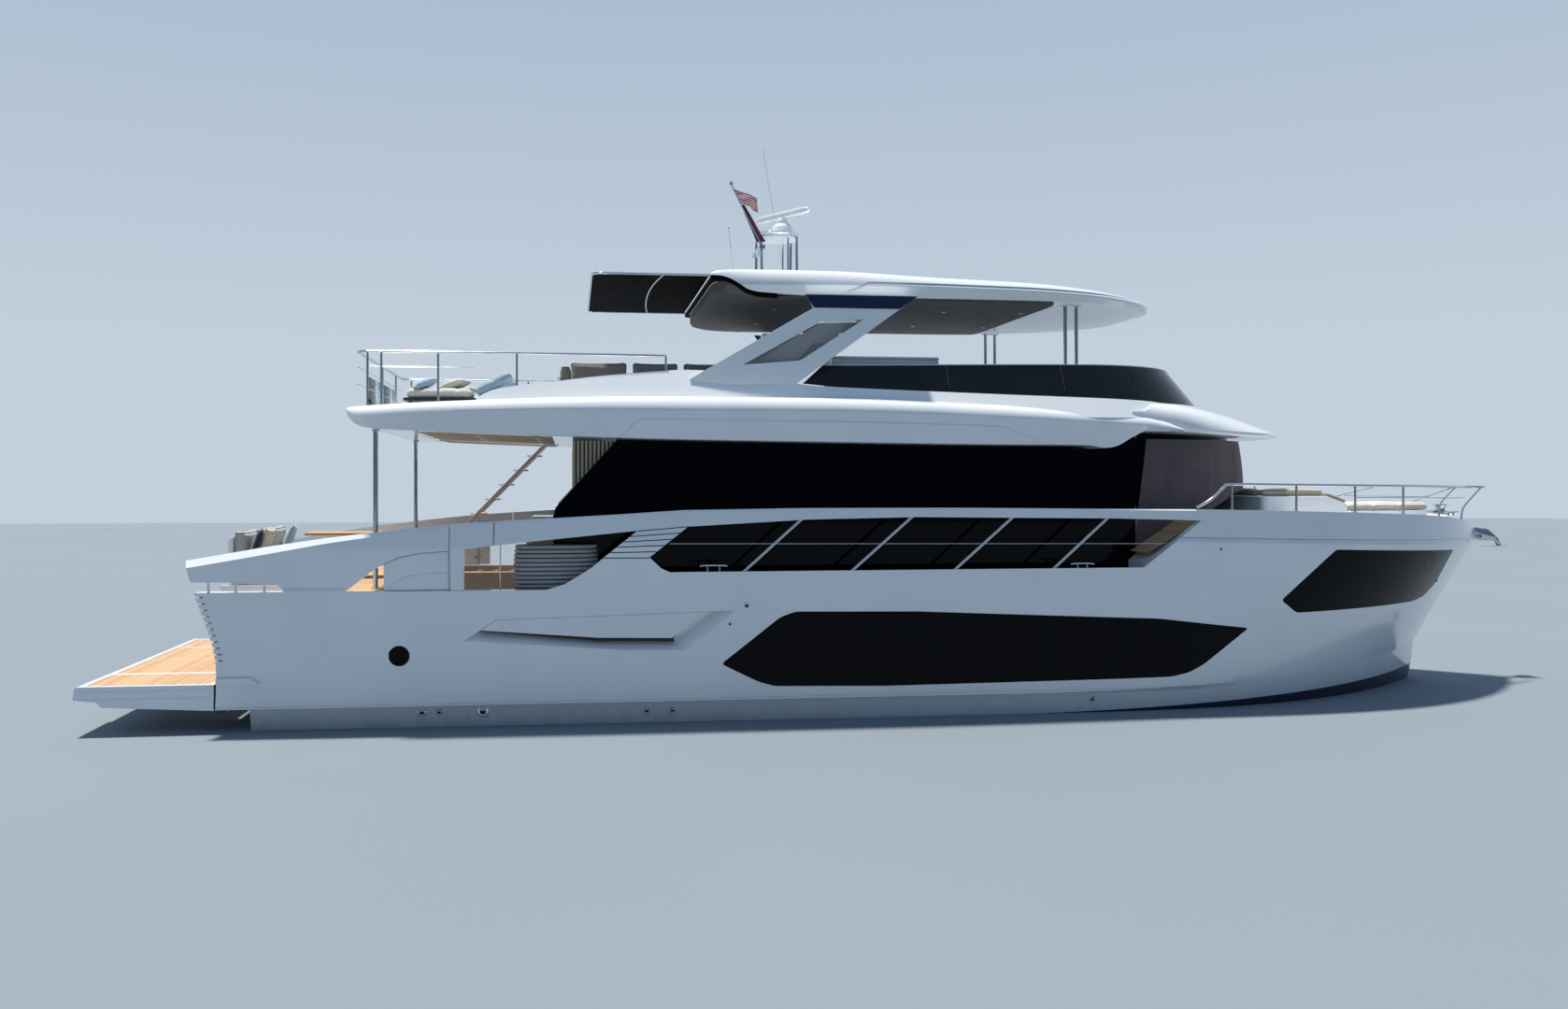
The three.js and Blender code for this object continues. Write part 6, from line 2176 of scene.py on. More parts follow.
@dataclass
class Cushion:
    """Foam in a sewn cover: crowned on top, drawn in between its corners, piped round its edges."""

    name: str
    low: Point
    high: Point
    finish: Finish
    piping: Finish | None = None
    lean: float = 0.0
    turn: float = 0.0
    corner: float = 70
    channels: int = 0
    fill: float = 0.75
    cap: float = 24
    voxel: float = 30
    crown: float = 16
    pull: float = 9

    @property
    def soft(self) -> float:
        """How far the cover's edges are rounded."""
        return min(34.0, (self.high[2] - self.low[2]) * 0.32)

    def outline(self, inset: float) -> list[tuple[float, float]]:
        """Draws the cover from above, its sides drawn in between the corners.

        Args:
            inset: How far it is drawn in.

        Returns:
            The outline.
        """
        (x0, y0, _), (x1, y1, _) = self.low, self.high
        cx, cy, dx, dy = (x0 + x1) / 2, (y0 + y1) / 2, (x1 - x0) / 2, (y1 - y0) / 2
        made = []
        for x, y in dense(rounded(oblong(x0, y0, x1, y1), self.corner, 5), 60):
            u, v = (x - cx) / dx, (y - cy) / dy
            waist_x = self.pull * (1 - v * v) * abs(u) ** 3
            waist_y = self.pull * (1 - u * u) * abs(v) ** 3
            made.append((x - math.copysign(waist_x, u) - inset * u,
                         y - math.copysign(waist_y, v) - inset * v))
        return made

    def cover(self) -> Piece:
        """Makes the sewn cover before it is filled.

        Returns:
            The cover.
        """
        z0, z1, soft, slack = self.low[2], self.high[2], self.soft, 8.0
        levels = ((z0 + 1, soft), (z0 + soft * 0.35, soft * 0.3), (z0 + soft, 0), (z1 - soft - slack, 0),
                  (z1 - soft * 0.35 - slack, soft * 0.3), (z1 - slack, soft))
        rings = [[(x, y, level) for x, y in self.outline(inset + slack)] for level, inset in levels]
        return loft(rings, self.name)

    def filled(self) -> Piece:
        """Fills the cover, then sews its channels.

        Returns:
            The cushion, level and unturned.
        """
        piece = swollen(self.cover(), self.voxel, self.cap)
        (x0, y0, z0), (x1, y1, z1) = self.low, self.high
        middle = (z0 + z1) / 2
        for vertex in piece.data.vertices:
            x, y, z = (c / MM for c in vertex.co)
            u = max(-1.0, min(1.0, (2 * x - x0 - x1) / (x1 - x0)))
            v = max(-1.0, min(1.0, (2 * y - y0 - y1) / (y1 - y0)))
            if z > middle:
                z += self.crown * (1 - u ** 4) * (1 - v ** 4)
                for k in range(1, self.channels + 1):
                    away = x - (x0 + (x1 - x0) * k / (self.channels + 1))
                    z -= 15 * math.exp(-(away / 22) ** 2)
            vertex.co = (x * MM, y * MM, max(z, z0) * MM)
        fine = piece.modifiers.new("fine", "SUBSURF")
        fine.levels = 1
        fine.render_levels = 1
        return settled(piece)

    def welt(self, piece: Piece) -> Piece:
        """Sews a piping cord round the cushion's upper and lower seams.

        Args:
            piece: The filled cushion.

        Returns:
            The cords.
        """
        skin, inward = skin_of(piece), self.soft * 0.7
        cords = []
        for level in (self.low[2] + inward, self.high[2] - inward - 4):
            ring = []
            for x, y in self.outline(0):
                spot, way, _, _ = skin.find_nearest(Vector((x, y, level)) * MM)
                ring.append((spot + way * 0.0015) / MM)
            cords.append(tube(smooth_path(ring, 1, True), 5, 6, True))
        return gathered(f"{self.name}_welt", cords)

    def build(self, body: str = YACHT, replaces: Sequence[str] = ()) -> None:
        """Builds the cushion, and leans and turns it.

        Args:
            body: The body that it moves with.
            replaces: Solids that it stands for.
        """
        piece = self.filled()
        parts = [(piece, self.finish)]
        if self.piping:
            parts.append((self.welt(piece), self.piping))
        pivot = Vector((self.low[0], (self.low[1] + self.high[1]) / 2, self.low[2])) * MM
        move = (Matrix.Translation(pivot) @ Matrix.Rotation(math.radians(self.turn), 4, "Z")
                @ Matrix.Rotation(math.radians(self.lean), 4, "Y") @ Matrix.Translation(-pivot))
        for part, finish in parts:
            part.data.transform(move)
            dressed(softened(part, 60), finish, body, replaces if part is piece else ())


def swollen(piece: Piece, voxel: float, cap: float) -> Piece:
    """Fills a closed cover with pressure by a cloth simulation, so that it swells and creases.

    Args:
        piece: The cover.
        voxel: The size of its even mesh.
        cap: How far a point may move.

    Returns:
        The filled piece.
    """
    even = piece.modifiers.new("even", "REMESH")
    even.mode = "VOXEL"
    even.voxel_size = voxel * MM
    settled(piece)
    count = len(piece.data.vertices)
    before = np.empty(count * 3)
    piece.data.vertices.foreach_get("co", before)
    cloth = piece.modifiers.new("filling", "CLOTH")
    cloth.settings.use_pressure = True
    cloth.settings.uniform_pressure_force = 4.0
    cloth.settings.effector_weights.gravity = 0.0
    cloth.settings.quality = 4
    cloth.collision_settings.use_collision = False
    last = 20
    cloth.point_cache.frame_start, cloth.point_cache.frame_end = 1, last
    scene = bpy.context.scene
    for moment in range(1, last + 1):
        scene.frame_set(moment)
    shape = piece.evaluated_get(bpy.context.evaluated_depsgraph_get())
    after = np.empty(count * 3)
    shape.data.vertices.foreach_get("co", after)
    piece.modifiers.clear()
    scene.frame_set(1)
    shift = (after - before).reshape(-1, 3)
    length = np.linalg.norm(shift, axis=1)[:, None]
    shift *= np.minimum(1.0, cap * MM / np.maximum(length, 1e-9))
    piece.data.vertices.foreach_set("co", before + shift.reshape(-1))
    piece.data.update()
    return piece


@dataclass
class Pillow:
    """A square throw pillow with pinched corners, leaning on the seat."""

    name: str
    at: Point
    size: float
    finish: Finish
    lean: float = 62
    turn: float = 0
    thick: float = 75

    def build(self) -> None:
        """Builds the pillow."""
        count = 21
        half = self.size / 2
        points, faces = [], []
        for sign in (1, -1):
            for i in range(count):
                for j in range(count):
                    u, v = -1 + 2 * i / (count - 1), -1 + 2 * j / (count - 1)
                    rise = self.thick * ((1 - u * u) * (1 - v * v)) ** 0.42
                    rise *= 1 + 0.05 * math.sin(5 * u + 3 * v) * sign
                    x = u * (half - 0.09 * half * (1 - v * v))
                    y = v * (half - 0.09 * half * (1 - u * u))
                    points.append((x, y, sign * rise))
        faces += grid_faces(count, count, False)
        faces += [tuple(count * count + i for i in reversed(f)) for f in grid_faces(count, count, False)]
        piece = new_object(self.name, points, faces)
        piece.data.transform(
            Matrix.Translation(Vector(self.at) * MM) @ Matrix.Rotation(math.radians(self.turn), 4, "Z")
            @ Matrix.Rotation(math.radians(-self.lean), 4, "Y"))
        dressed(softened(piece, 70), self.finish)


def slab(low: Point, high: Point, radius: float, bevel: float, name: str) -> Piece:
    """Makes a flat moulding with rounded corners and eased edges."""
    outline = rounded(oblong(*low[:2], *high[:2]), radius, 5)
    return softened(plan(outline, low[2], high[2], name), 35, bevel)


def table(at: tuple[float, float], floor: float, height: float, size: tuple[float, float], name: str) -> None:
    """Builds a teak table on a stainless pedestal.

    Args:
        at: Its middle.
        floor: The floor under it.
        height: Its height.
        size: Its length and width.
        name: Its name, which is also the name of the solid that it stands for.
    """
    (x, y), (dx, dy) = at, (size[0] / 2, size[1] / 2)
    high = floor + height
    top = slab((x - dx, y - dy, high - 40), (x + dx, y + dy, high), 80, 8, f"{name}_top")
    dressed(top, TEAK, YACHT, [name])
    leg = turned([(0, floor + GAP), (198, floor + GAP), (198, floor + 8), (180, floor + 16), (70, floor + 24),
                  (58, floor + 40), (58, high - 60), (80, high - 44), (0, high - 41)], (x, y, 0), 40,
                 name=f"{name}_leg")
    dressed(softened(leg, 40), STAINLESS)


@dataclass
class Cockpit:
    """The cockpit: its sofa, table, bar cabinet, ribbed rolls, stairs and poles."""

    floor: float = DECK_Z

    def sofa(self) -> None:
        """Builds the aft sofa."""
        floor = self.floor
        plinth = slab((-9715, -1395, floor + GAP), (-8985, 1395, floor + 285), 60, 10, "cockpit_sofa_base")
        dressed(plinth, GELCOAT, YACHT, ["cockpit_sofa"])
        back = [(-9758, floor + GAP), (-9758, floor + 640), (-9730, floor + 690), (-9690, floor + 700),
                (-9690, floor + GAP)]
        shell = softened(side(back, -1398, 1398, "cockpit_sofa_shell"), 35, 6)
        dressed(shell, GELCOAT)
        for k, y in enumerate((-930, 0, 930)):
            Cushion(f"cockpit_seat_{k}", (-9540, y - 460, floor + 287), (-8955, y + 460, floor + 425),
                    CUSHION_CLOTH, GREY_PIPING).build()
            Cushion(f"cockpit_back_{k}", (-9690, y - 455, floor + 430), (-9545, y + 455, floor + 800),
                    GREY_CLOTH, GREY_PIPING, corner=50, crown=5, pull=4).build()
        Pillow("cockpit_pillow_navy", (-9400, -1130, floor + 620), 420, NAVY_CUSHION, 70, 12).build()
        Pillow("cockpit_pillow_white", (-9380, -720, floor + 620), 430, CUSHION_CLOTH, 68, -8).build()
        Pillow("cockpit_pillow_blue", (-9380, 900, floor + 620), 430, BLUE_CLOTH, 68, 8).build()

    def cabinet(self) -> None:
        """Builds the cabinet by the saloon door, with three doors."""
        floor = self.floor
        carcass = block((-5340, -492, floor + 60), (-4958, 492, 2886), "cockpit_cabinet_body")
        kick = block((-5310, -470, floor + GAP), (-4975, 470, floor + 60))
        kick.name = "cockpit_cabinet_kick"
        top = slab((-5349, -499, 2888), (-4951, 499, 2930), 40, 8, "cockpit_cabinet_top")
        doors = [softened(block((-5348, y, floor + 90), (-5341, y + 314, 2860)), 30, 2)
                 for y in (-480, -158, 164)]
        dressed(softened(carcass, 30, 4), VARNISHED_OAK, YACHT, ["cockpit_cabinet"])
        dressed(softened(kick, 30), RUBBER)
        dressed(top, GELCOAT)
        dressed(gathered("cockpit_cabinet_doors", doors), VARNISHED_OAK)

    def roll(self) -> None:
        """Stacks the ribbed grey roll that stands inside the gate on each side, round a black core that
        paints the shade between its coils.
        """
        for name, sign in SIDES.items():
            coils, shade_cores = [], []
            for k in range(10):
                z = self.floor + 34 + k * 62
                bulge = 26 * math.sin(math.pi * (k + 0.5) / 10)
                ring, shade_ring = [], []
                for a in around(40):
                    x, y = swell(math.cos(a), 0.45), swell(math.sin(a), 0.6)
                    ring.append((-4940 + (556 + bulge) * x, sign * 2440 + (161 + bulge) * y, z))
                    shade_ring.append((-4940 + (536 + bulge) * x, sign * 2440 + (141 + bulge) * y, z - 31))
                coils.append(tube(ring, 26, 12, True))
                shade_cores += [shade_ring, [(x, y, z + 62) for x, y, z in shade_ring]]
            dressed(softened(gathered(f"ribbed_roll_{name}", coils), 60), GREY_VINYL)
            # Painted shade: the black core inside the coils darkens the gaps between them
            dressed(loft(shade_cores, f"ribbed_roll_painted_shade_{name}"), RUBBER)
            rod = tube([(-5723, sign * 2620, self.floor + GAP), (-5723, sign * 2620, 2600)], 9, 12)
            rod.name = f"cockpit_rod_{name}"
            dressed(rod, STAINLESS)

    def stairs(self) -> None:
        """Builds the stairs to the flybridge: teak on white treads between two slanted beams."""
        x0, x1, y0, y1, count = -7150.0, -5000.0, 1050.0, 1750.0, 9
        run, rise = (x1 - x0) / count, (FLY_Z - self.floor) / (count + 1)
        foot, slope, deep = self.floor + GAP, rise / run, 45.0
        low, head = self.floor + rise / 2 - 20, x1 + 20
        high = low + (head - x0) * slope
        start = x0 - (low - foot) / slope
        line = [(start - deep / slope, foot), (start + deep / slope, foot), (head, high - deep),
                (head, high + deep)]
        beams = [softened(side(line, *pair), 30, 6) for pair in ((y0 - 20, y0 + 15), (y1 - 15, y1 + 20))]
        boards, noses = [], []
        for i in range(count):
            x, z = x0 + i * run, self.floor + (i + 1) * rise
            boards.append(softened(block((x, y0 + 16, z - 32), (x + run + 18, y1 - 16, z - 6)), 30, 5))
            noses.append(block((x + 14, y0 + 40, z - 5.7), (x + run + 4, y1 - 40, z)))
        dressed(gathered("fly_stairs_frame", [*beams, *boards]), GELCOAT, YACHT, ["fly_stairs"])
        dressed(gathered("fly_stairs_treads", noses), TEAK_ACROSS)

    def treads(self) -> None:
        """Lays teak on the steps from the platform to the cockpit."""
        boards = []
        for i in range(1, STEPS):
            x, z = STEPS_X + (i - 1) * STEP_RUN, PLATFORM_Z + i * STEP_RISE
            boards.append(slab((x + 18, 1560, z + GAP), (x + 252, 2430, z + 5), 30, 1, "tread"))
        paired(gathered("transom_treads", boards), "transom_treads", TEAK_ACROSS)

    def poles(self) -> None:
        """Builds the polished poles that carry the overhang."""
        under = [(s[0], s[4]) for s in UPPER_STATIONS]
        top = height_on(under, -7500) - 1
        for name, sign in SIDES.items():
            pole = tube([(-7500, sign * 2280, self.floor + GAP), (-7500, sign * 2280, top - 4)], 36, 28)
            feet = [turned([(36, z0), (62, z0), (62, z1), (36, z1 + 6)], (-7500, sign * 2280, 0), 32)
                    for z0, z1 in ((self.floor + GAP, self.floor + 12), (top - 24, top - 12))]
            dressed(softened(gathered(f"overhang_pole_{name}", [pole, *feet]), 40), STAINLESS, YACHT,
                    [f"cockpit_pole_{name}"])

    def build(self) -> None:
        """Builds all of it."""
        self.sofa()
        table((-8250, 0), self.floor, 720, (1300, 700), "cockpit_table")
        self.cabinet()
        self.roll()
        self.stairs()
        self.treads()
        self.poles()


@dataclass
class FlyLounge:
    """What stands on the flybridge: table, sofa, loungers, bar, helm and its seats."""

    floor: float = FLY_Z

    def sofa(self) -> None:
        """Builds the U-shaped sofa."""
        floor = self.floor
        base = [slab((-4895, -1845, floor + GAP), (-4215, 1845, floor + 285), 60, 10, "base"),
                slab((-4290, -1845, floor + GAP), (-2315, -1265, floor + 285), 60, 10, "base"),
                slab((-4290, 1265, floor + GAP), (-2315, 1845, floor + 285), 60, 10, "base"),
                slab((-4955, -1700, floor + GAP), (-4880, 1700, floor + 620), 30, 8, "base")]
        dressed(gathered("fly_sofa_base", base), GELCOAT, YACHT, ["fly_sofa"])
        for k, y in enumerate((-1115, 0, 1115)):
            Cushion(f"fly_seat_{k}", (-4740, y - 545, floor + 287), (-4215, y + 545, floor + 425),
                    GREY_CLOTH, GREY_PIPING).build()
            Cushion(f"fly_back_{k}", (-4880, y - 540, floor + 430), (-4735, y + 540, floor + 800),
                    TAUPE_CLOTH, GREY_PIPING, corner=50, crown=6, pull=4).build()
        for name, sign in SIDES.items():
            for k, x in enumerate((-4180, -3240)):
                low, high = sorted((sign * 1275, sign * 1700))
                Cushion(f"fly_side_seat_{name}_{k}", (x, low, floor + 287), (x + 900, high, floor + 425),
                        GREY_CLOTH, GREY_PIPING).build()
            for k, (x0, x1) in enumerate(((-4755, -3865), (-3835, -3095), (-3065, -2400))):
                low, high = sorted((sign * 1705, sign * 1843))
                Cushion(f"fly_side_back_{name}_{k}", (x0, low, floor + 300), (x1, high, floor + 840),
                        TAUPE_CLOTH, GREY_PIPING, corner=45, crown=5, pull=3).build()

    def loungers(self) -> None:
        """Sets the loungers and the low table on the aft deck."""
        floor = self.floor
        for name, y in (("starboard", -1500.0), ("middle", 0.0)):
            frame_piece = gathered(f"lounger_frame_{name}", [
                slab((-7180, y - 330, floor + 230), (-5500, y + 330, floor + 275), 60, 6, "lounger"),
                *[block((x, yy - 25, floor + GAP), (x + 50, yy + 25, floor + 230))
                  for x in (-7100, -5650) for yy in (y - 280, y + 280)]])
            dressed(frame_piece, DRIVE_PAINT)
            Cushion(f"lounger_pad_{name}", (-7170, y - 325, floor + 277), (-6150, y + 325, floor + 400),
                    CUSHION_CLOTH, None, channels=3).build()
            Cushion(f"lounger_back_{name}", (-6130, y - 325, floor + 300), (-5480, y + 325, floor + 415),
                    BLUE_CLOTH, None, lean=-27, channels=1).build()
            Pillow(f"lounger_pillow_{name}", (-6900, y - 60, floor + 500), 400, BLUE_CLOTH, 20, 15).build()
            at = (-6450, y + 40, floor + 500)
            Pillow(f"lounger_pillow_white_{name}", at, 380, CUSHION_CLOTH, 16, -20).build()

    def bar(self) -> None:
        """Builds the bar with its sink, its grill's lid and the gaps round its doors."""
        floor = self.floor
        body = slab((-795, -1990, floor + 70), (895, -1410, floor + 905), 60, 8, "fly_bar_body")
        grooves = [block((x - 3, -1420, floor + 90), (x + 3, -1400, floor + 890)) for x in (-370, 55, 480)]
        cut(body, *grooves, block((-900, -1420, floor + 686), (1000, -1400, floor + 692)))
        dressed(softened(body, 30), GELCOAT, YACHT, ["fly_bar"])
        kick = slab((-770, -1965, floor + GAP), (870, -1440, floor + 70), 40, 2, "fly_bar_kick")
        dressed(kick, RUBBER)
        top = slab((-799, -1999, floor + 906), (899, -1401, floor + 948), 60, 18, "fly_bar_top")
        sink = slab((-600, -1880, floor + 890), (-160, -1560, floor + 960), 50, 0, "sink")
        cut(top, sink)
        dressed(top, GELCOAT)
        lid = slab((100, -1900, floor + 944), (760, -1500, floor + 949.8), 30, 2, "fly_bar_grill_lid")
        dressed(lid, STAINLESS)

    def helm(self) -> None:
        """Builds the console with its screens and its wheel."""
        floor = self.floor
        outline = [(4058, floor + GAP), (4058, 4990), (4080, 5030), (4330, 5190), (4360, 5236), (4500, 5222),
                   (4900, 5150), (4942, 5120), (4942, floor + GAP)]
        shell = softened(side(outline, -896, 896, "helm_console_shell"), 26, 10)
        dressed(shell, GELCOAT, YACHT, ["helm_console"])
        screens = [self.on_dash(block((-120, y - 190, 0), (120, y + 190, 8))) for y in (-420, 0, 420)]
        dressed(gathered("helm_screens", screens), GLASS)
        hub = turned([(0, -6), (26, -6), (30, 12), (0, 18)], (0, 0, 0), 24, "X")
        rim = [(0, 175 * math.cos(a), 175 * math.sin(a)) for a in around(40)]
        spokes = [tube([(0, 0, 0), (0, 175 * math.cos(a), 175 * math.sin(a))], 8, 10)
                  for a in (0.5, 2.6, 4.71)]
        column = tube([(0, 0, 0), (130, 0, 20)], 20, 14)
        wheel = gathered("helm_wheel", [hub, tube(rim, 14, 12, True), *spokes, column])
        wheel.data.transform(Matrix.Translation(Vector((3960, 520, 5000)) * MM)
                             @ Matrix.Rotation(math.radians(-18), 4, "Y"))
        dressed(softened(wheel, 50), STAINLESS)

    def on_dash(self, piece: Piece) -> Piece:
        """Lays a piece on the sloping dash."""
        tilt = Matrix.Rotation(-math.atan2(160, 250), 4, "Y")
        piece.data.transform(Matrix.Translation(Vector((4205, 0, 5112)) * MM) @ tilt)
        return softened(piece, 30)

    def seats(self) -> None:
        """Builds the two helm seats on their plinth."""
        floor = self.floor
        plinth = slab((3155, -795, floor + GAP), (3545, 795, floor + 78), 60, 6, "helm_plinth")
        profile = [(140, floor + 78), (140, floor + 96), (70, floor + 112), (62, floor + 500),
                   (100, floor + 556), (0, floor + 558)]
        posts = [turned(profile, (3350, y, 0), 36) for y in (-520, 520)]
        dressed(plinth, GELCOAT, YACHT, ["helm_seats"])
        dressed(softened(gathered("helm_posts", posts), 40), STAINLESS)
        for name, y in (("port", 520), ("starboard", -520)):
            Cushion(f"helm_seat_{name}", (3185, y - 280, floor + 560), (3640, y + 280, floor + 690),
                    CUSHION_CLOTH, GREY_PIPING, channels=2).build()
            Cushion(f"helm_back_{name}", (3050, y - 280, floor + 640), (3175, y + 280, floor + 985),
                    CUSHION_CLOTH, GREY_PIPING, corner=40, crown=8, pull=5).build()
            curve = ((3120, 700), (3140, 850), (3250, 880), (3480, 880))
            arms = [tube(smooth_path([(x, yy, floor + z) for x, z in curve], 5), 16, 12)
                    for yy in (y - 300, y + 300)]
            dressed(softened(gathered(f"helm_arms_{name}", arms), 50), STAINLESS)

    def build(self) -> None:
        """Builds all of it."""
        table((-2900, 0), self.floor, 700, (1200, 650), "fly_table")
        self.sofa()
        self.loungers()
        self.bar()
        self.helm()
        self.seats()


@dataclass
class Rails:
    """The stainless rails of the flybridge and the bow, and the hardtop's front poles."""

    fly_top: float = 5335
    fly_y: float = 2400
    fly_aft: float = -7740
    fly_fore: float = -3350
    bow_top: float = 3440

    def upper(self, x: float) -> float:
        """Reads the top of the overhang at a place."""
        return height_on([(s[0], s[2]) for s in UPPER_STATIONS], x)

    def fly_rail(self) -> None:
        """Builds the flybridge rail with its middle rails and aft glass panels."""
        y, aft, top = self.fly_y, self.fly_aft, self.fly_top
        half = [(self.fly_fore, y - 30, top - 10), (-4400, y - 6, top - 5), (-5500, y + 20, top),
                (-6600, y + 8, top)]
        bend = 150
        half += [(aft + bend - bend * math.sin(a), y - bend + bend * math.cos(a), top)
                 for a in np.linspace(0, math.pi / 2, 8)]
        loop = [*half, *[(x, -yy, z) for x, yy, z in reversed(half)]]
        bars = [tube(loop, 19, 14)]
        middle = [(-6100, y + 6, 5120), (aft + bend, y, 5120)]
        for sign in (1, -1):
            bars.append(tube([(x, sign * yy, z) for x, yy, z in middle], 8, 10))
            for x in (aft + 150, -7400, -6610):
                bars += self.post(x, sign * y, self.upper(x + 17) + 1.6, top, 16)
            for x in (-5500, self.fly_fore):
                bars += self.post(x, sign * (y + 20 if x < -5000 else y - 30),
                                  height_on(COAMING_TOP, x + 17) + 1, top, 16)
        for yy in (-1500, 0, 1500):
            bars += self.post(aft, yy, FLY_Z + GAP, top, 16)
        bars.append(tube([(aft, -y + bend, 5120), (aft, y - bend, 5120)], 8, 10))
        bars.append(tube([(aft, -y + bend, 4880), (aft, y - bend, 4880)], 8, 10))
        dressed(softened(gathered("fly_handrail", bars), 50), STAINLESS, YACHT, ["fly_rail"])
        panes = [softened(block((aft - 6, a, 4600), (aft + 6, b, 5060)), 30, 2)
                 for a, b in ((-1470, -40), (40, 1470))]
        dressed(gathered("fly_aft_panes", panes), CLEAR_GLASS)

    def post(self, x: float, y: float, low: float, top: float, radius: float) -> list[Piece]:
        """Makes a stanchion with its round foot."""
        foot = turned([(radius, low), (radius * 2.2, low), (radius * 2.1, low + 5), (radius, low + 9)],
                      (x, y, 0), 20)
        return [tube([(x, y, low + 1), (x, y, top - 5)], radius, 14), foot]

    def deck_edge(self, x: float) -> float:
        """Finds the half breadth on which the bow rail stands.

        Args:
            x: The place along the boat.

        Returns:
            The half breadth.
        """
        line = FORM.lines[8]
        s = (x - line.aft[0]) / (line.stem[0] - line.aft[0])
        return max(0.0, FORM.point(line, s, 0)[1] - 110 * (1 + max(0.0, (x - 8500) / 3000)))

    def bow_rail(self) -> None:
        """Builds the bow rail, whose forward stanchions hook outward."""
        xs = (5250, 6350, 7450, 8500, 9500, 10300, 10900)
        path = [(x, self.deck_edge(x), self.bow_top - (x - 5900) * 0.008) for x in xs]
        start = [(x, self.deck_edge(x), z) for x, z in (
            (4660, height_on(CAP_TOP, 4660) + 22), (4900, height_on(CAP_TOP, 4900) + 150),
            (5110, self.bow_top - 40))]
        end = [(11320, 340, self.bow_top - 42), (11540, 150, self.bow_top - 45)]
        line = smooth_path([*start, *path, *end], 6)
        bars = [tube(line, 21, 14)]
        low = [(x, y, z - 190) for x, y, z in path[2:]]
        bars.append(tube(smooth_path(low, 5), 11, 10))
        for x, y, z in path[:4]:
            bars += self.post(x, y, height_on(CAP_TOP, x - 14) + 1, z - 2, 17)
        for x, y, z in (path[5], end[0]):
            foot = Vector((x - 780, self.deck_edge(x - 780) + 24, height_on(CAP_TOP, x - 794) + 1))
            reach = Vector((x, y, z)) - foot
            hook = smooth_path([foot, foot + reach * 0.08 + Vector((0, 0, 150)), foot + reach * 0.34
                                + Vector((0, 0, 130)), (x, y, z - 3)], 6)
            bars.append(tube(hook, 15, 14))
            bars.append(turned([(13, foot.z), (30, foot.z), (28, foot.z + 5), (13, foot.z + 9)],
                               (foot.x, foot.y, 0), 20))
        paired(softened(gathered("bow_handrail", bars), 50), "bow_handrail", STAINLESS, "bow_rail")

    def poles(self) -> None:
        """Builds the pairs of front poles under the hardtop."""
        for name, sign in SIDES.items():
            y = sign * 1850
            bars = [tube([(x, y, FLY_Z + GAP), (x, y, ROOF_Z - 6)], 28, 26) for x in (2970, 3150)]
            bars += [slab((2900, y - 60, z0), (3220, y + 60, z1), 40, 2, "foot")
                     for z0, z1 in ((FLY_Z + GAP, FLY_Z + 12), (ROOF_Z - 12, ROOF_Z - 1))]
            poles = softened(gathered(f"hardtop_poles_{name}", bars), 40)
            dressed(poles, STAINLESS, YACHT, [f"front_poles_{name}"])

    def build(self) -> None:
        """Builds all of it."""
        self.fly_rail()
        self.bow_rail()
        self.poles()


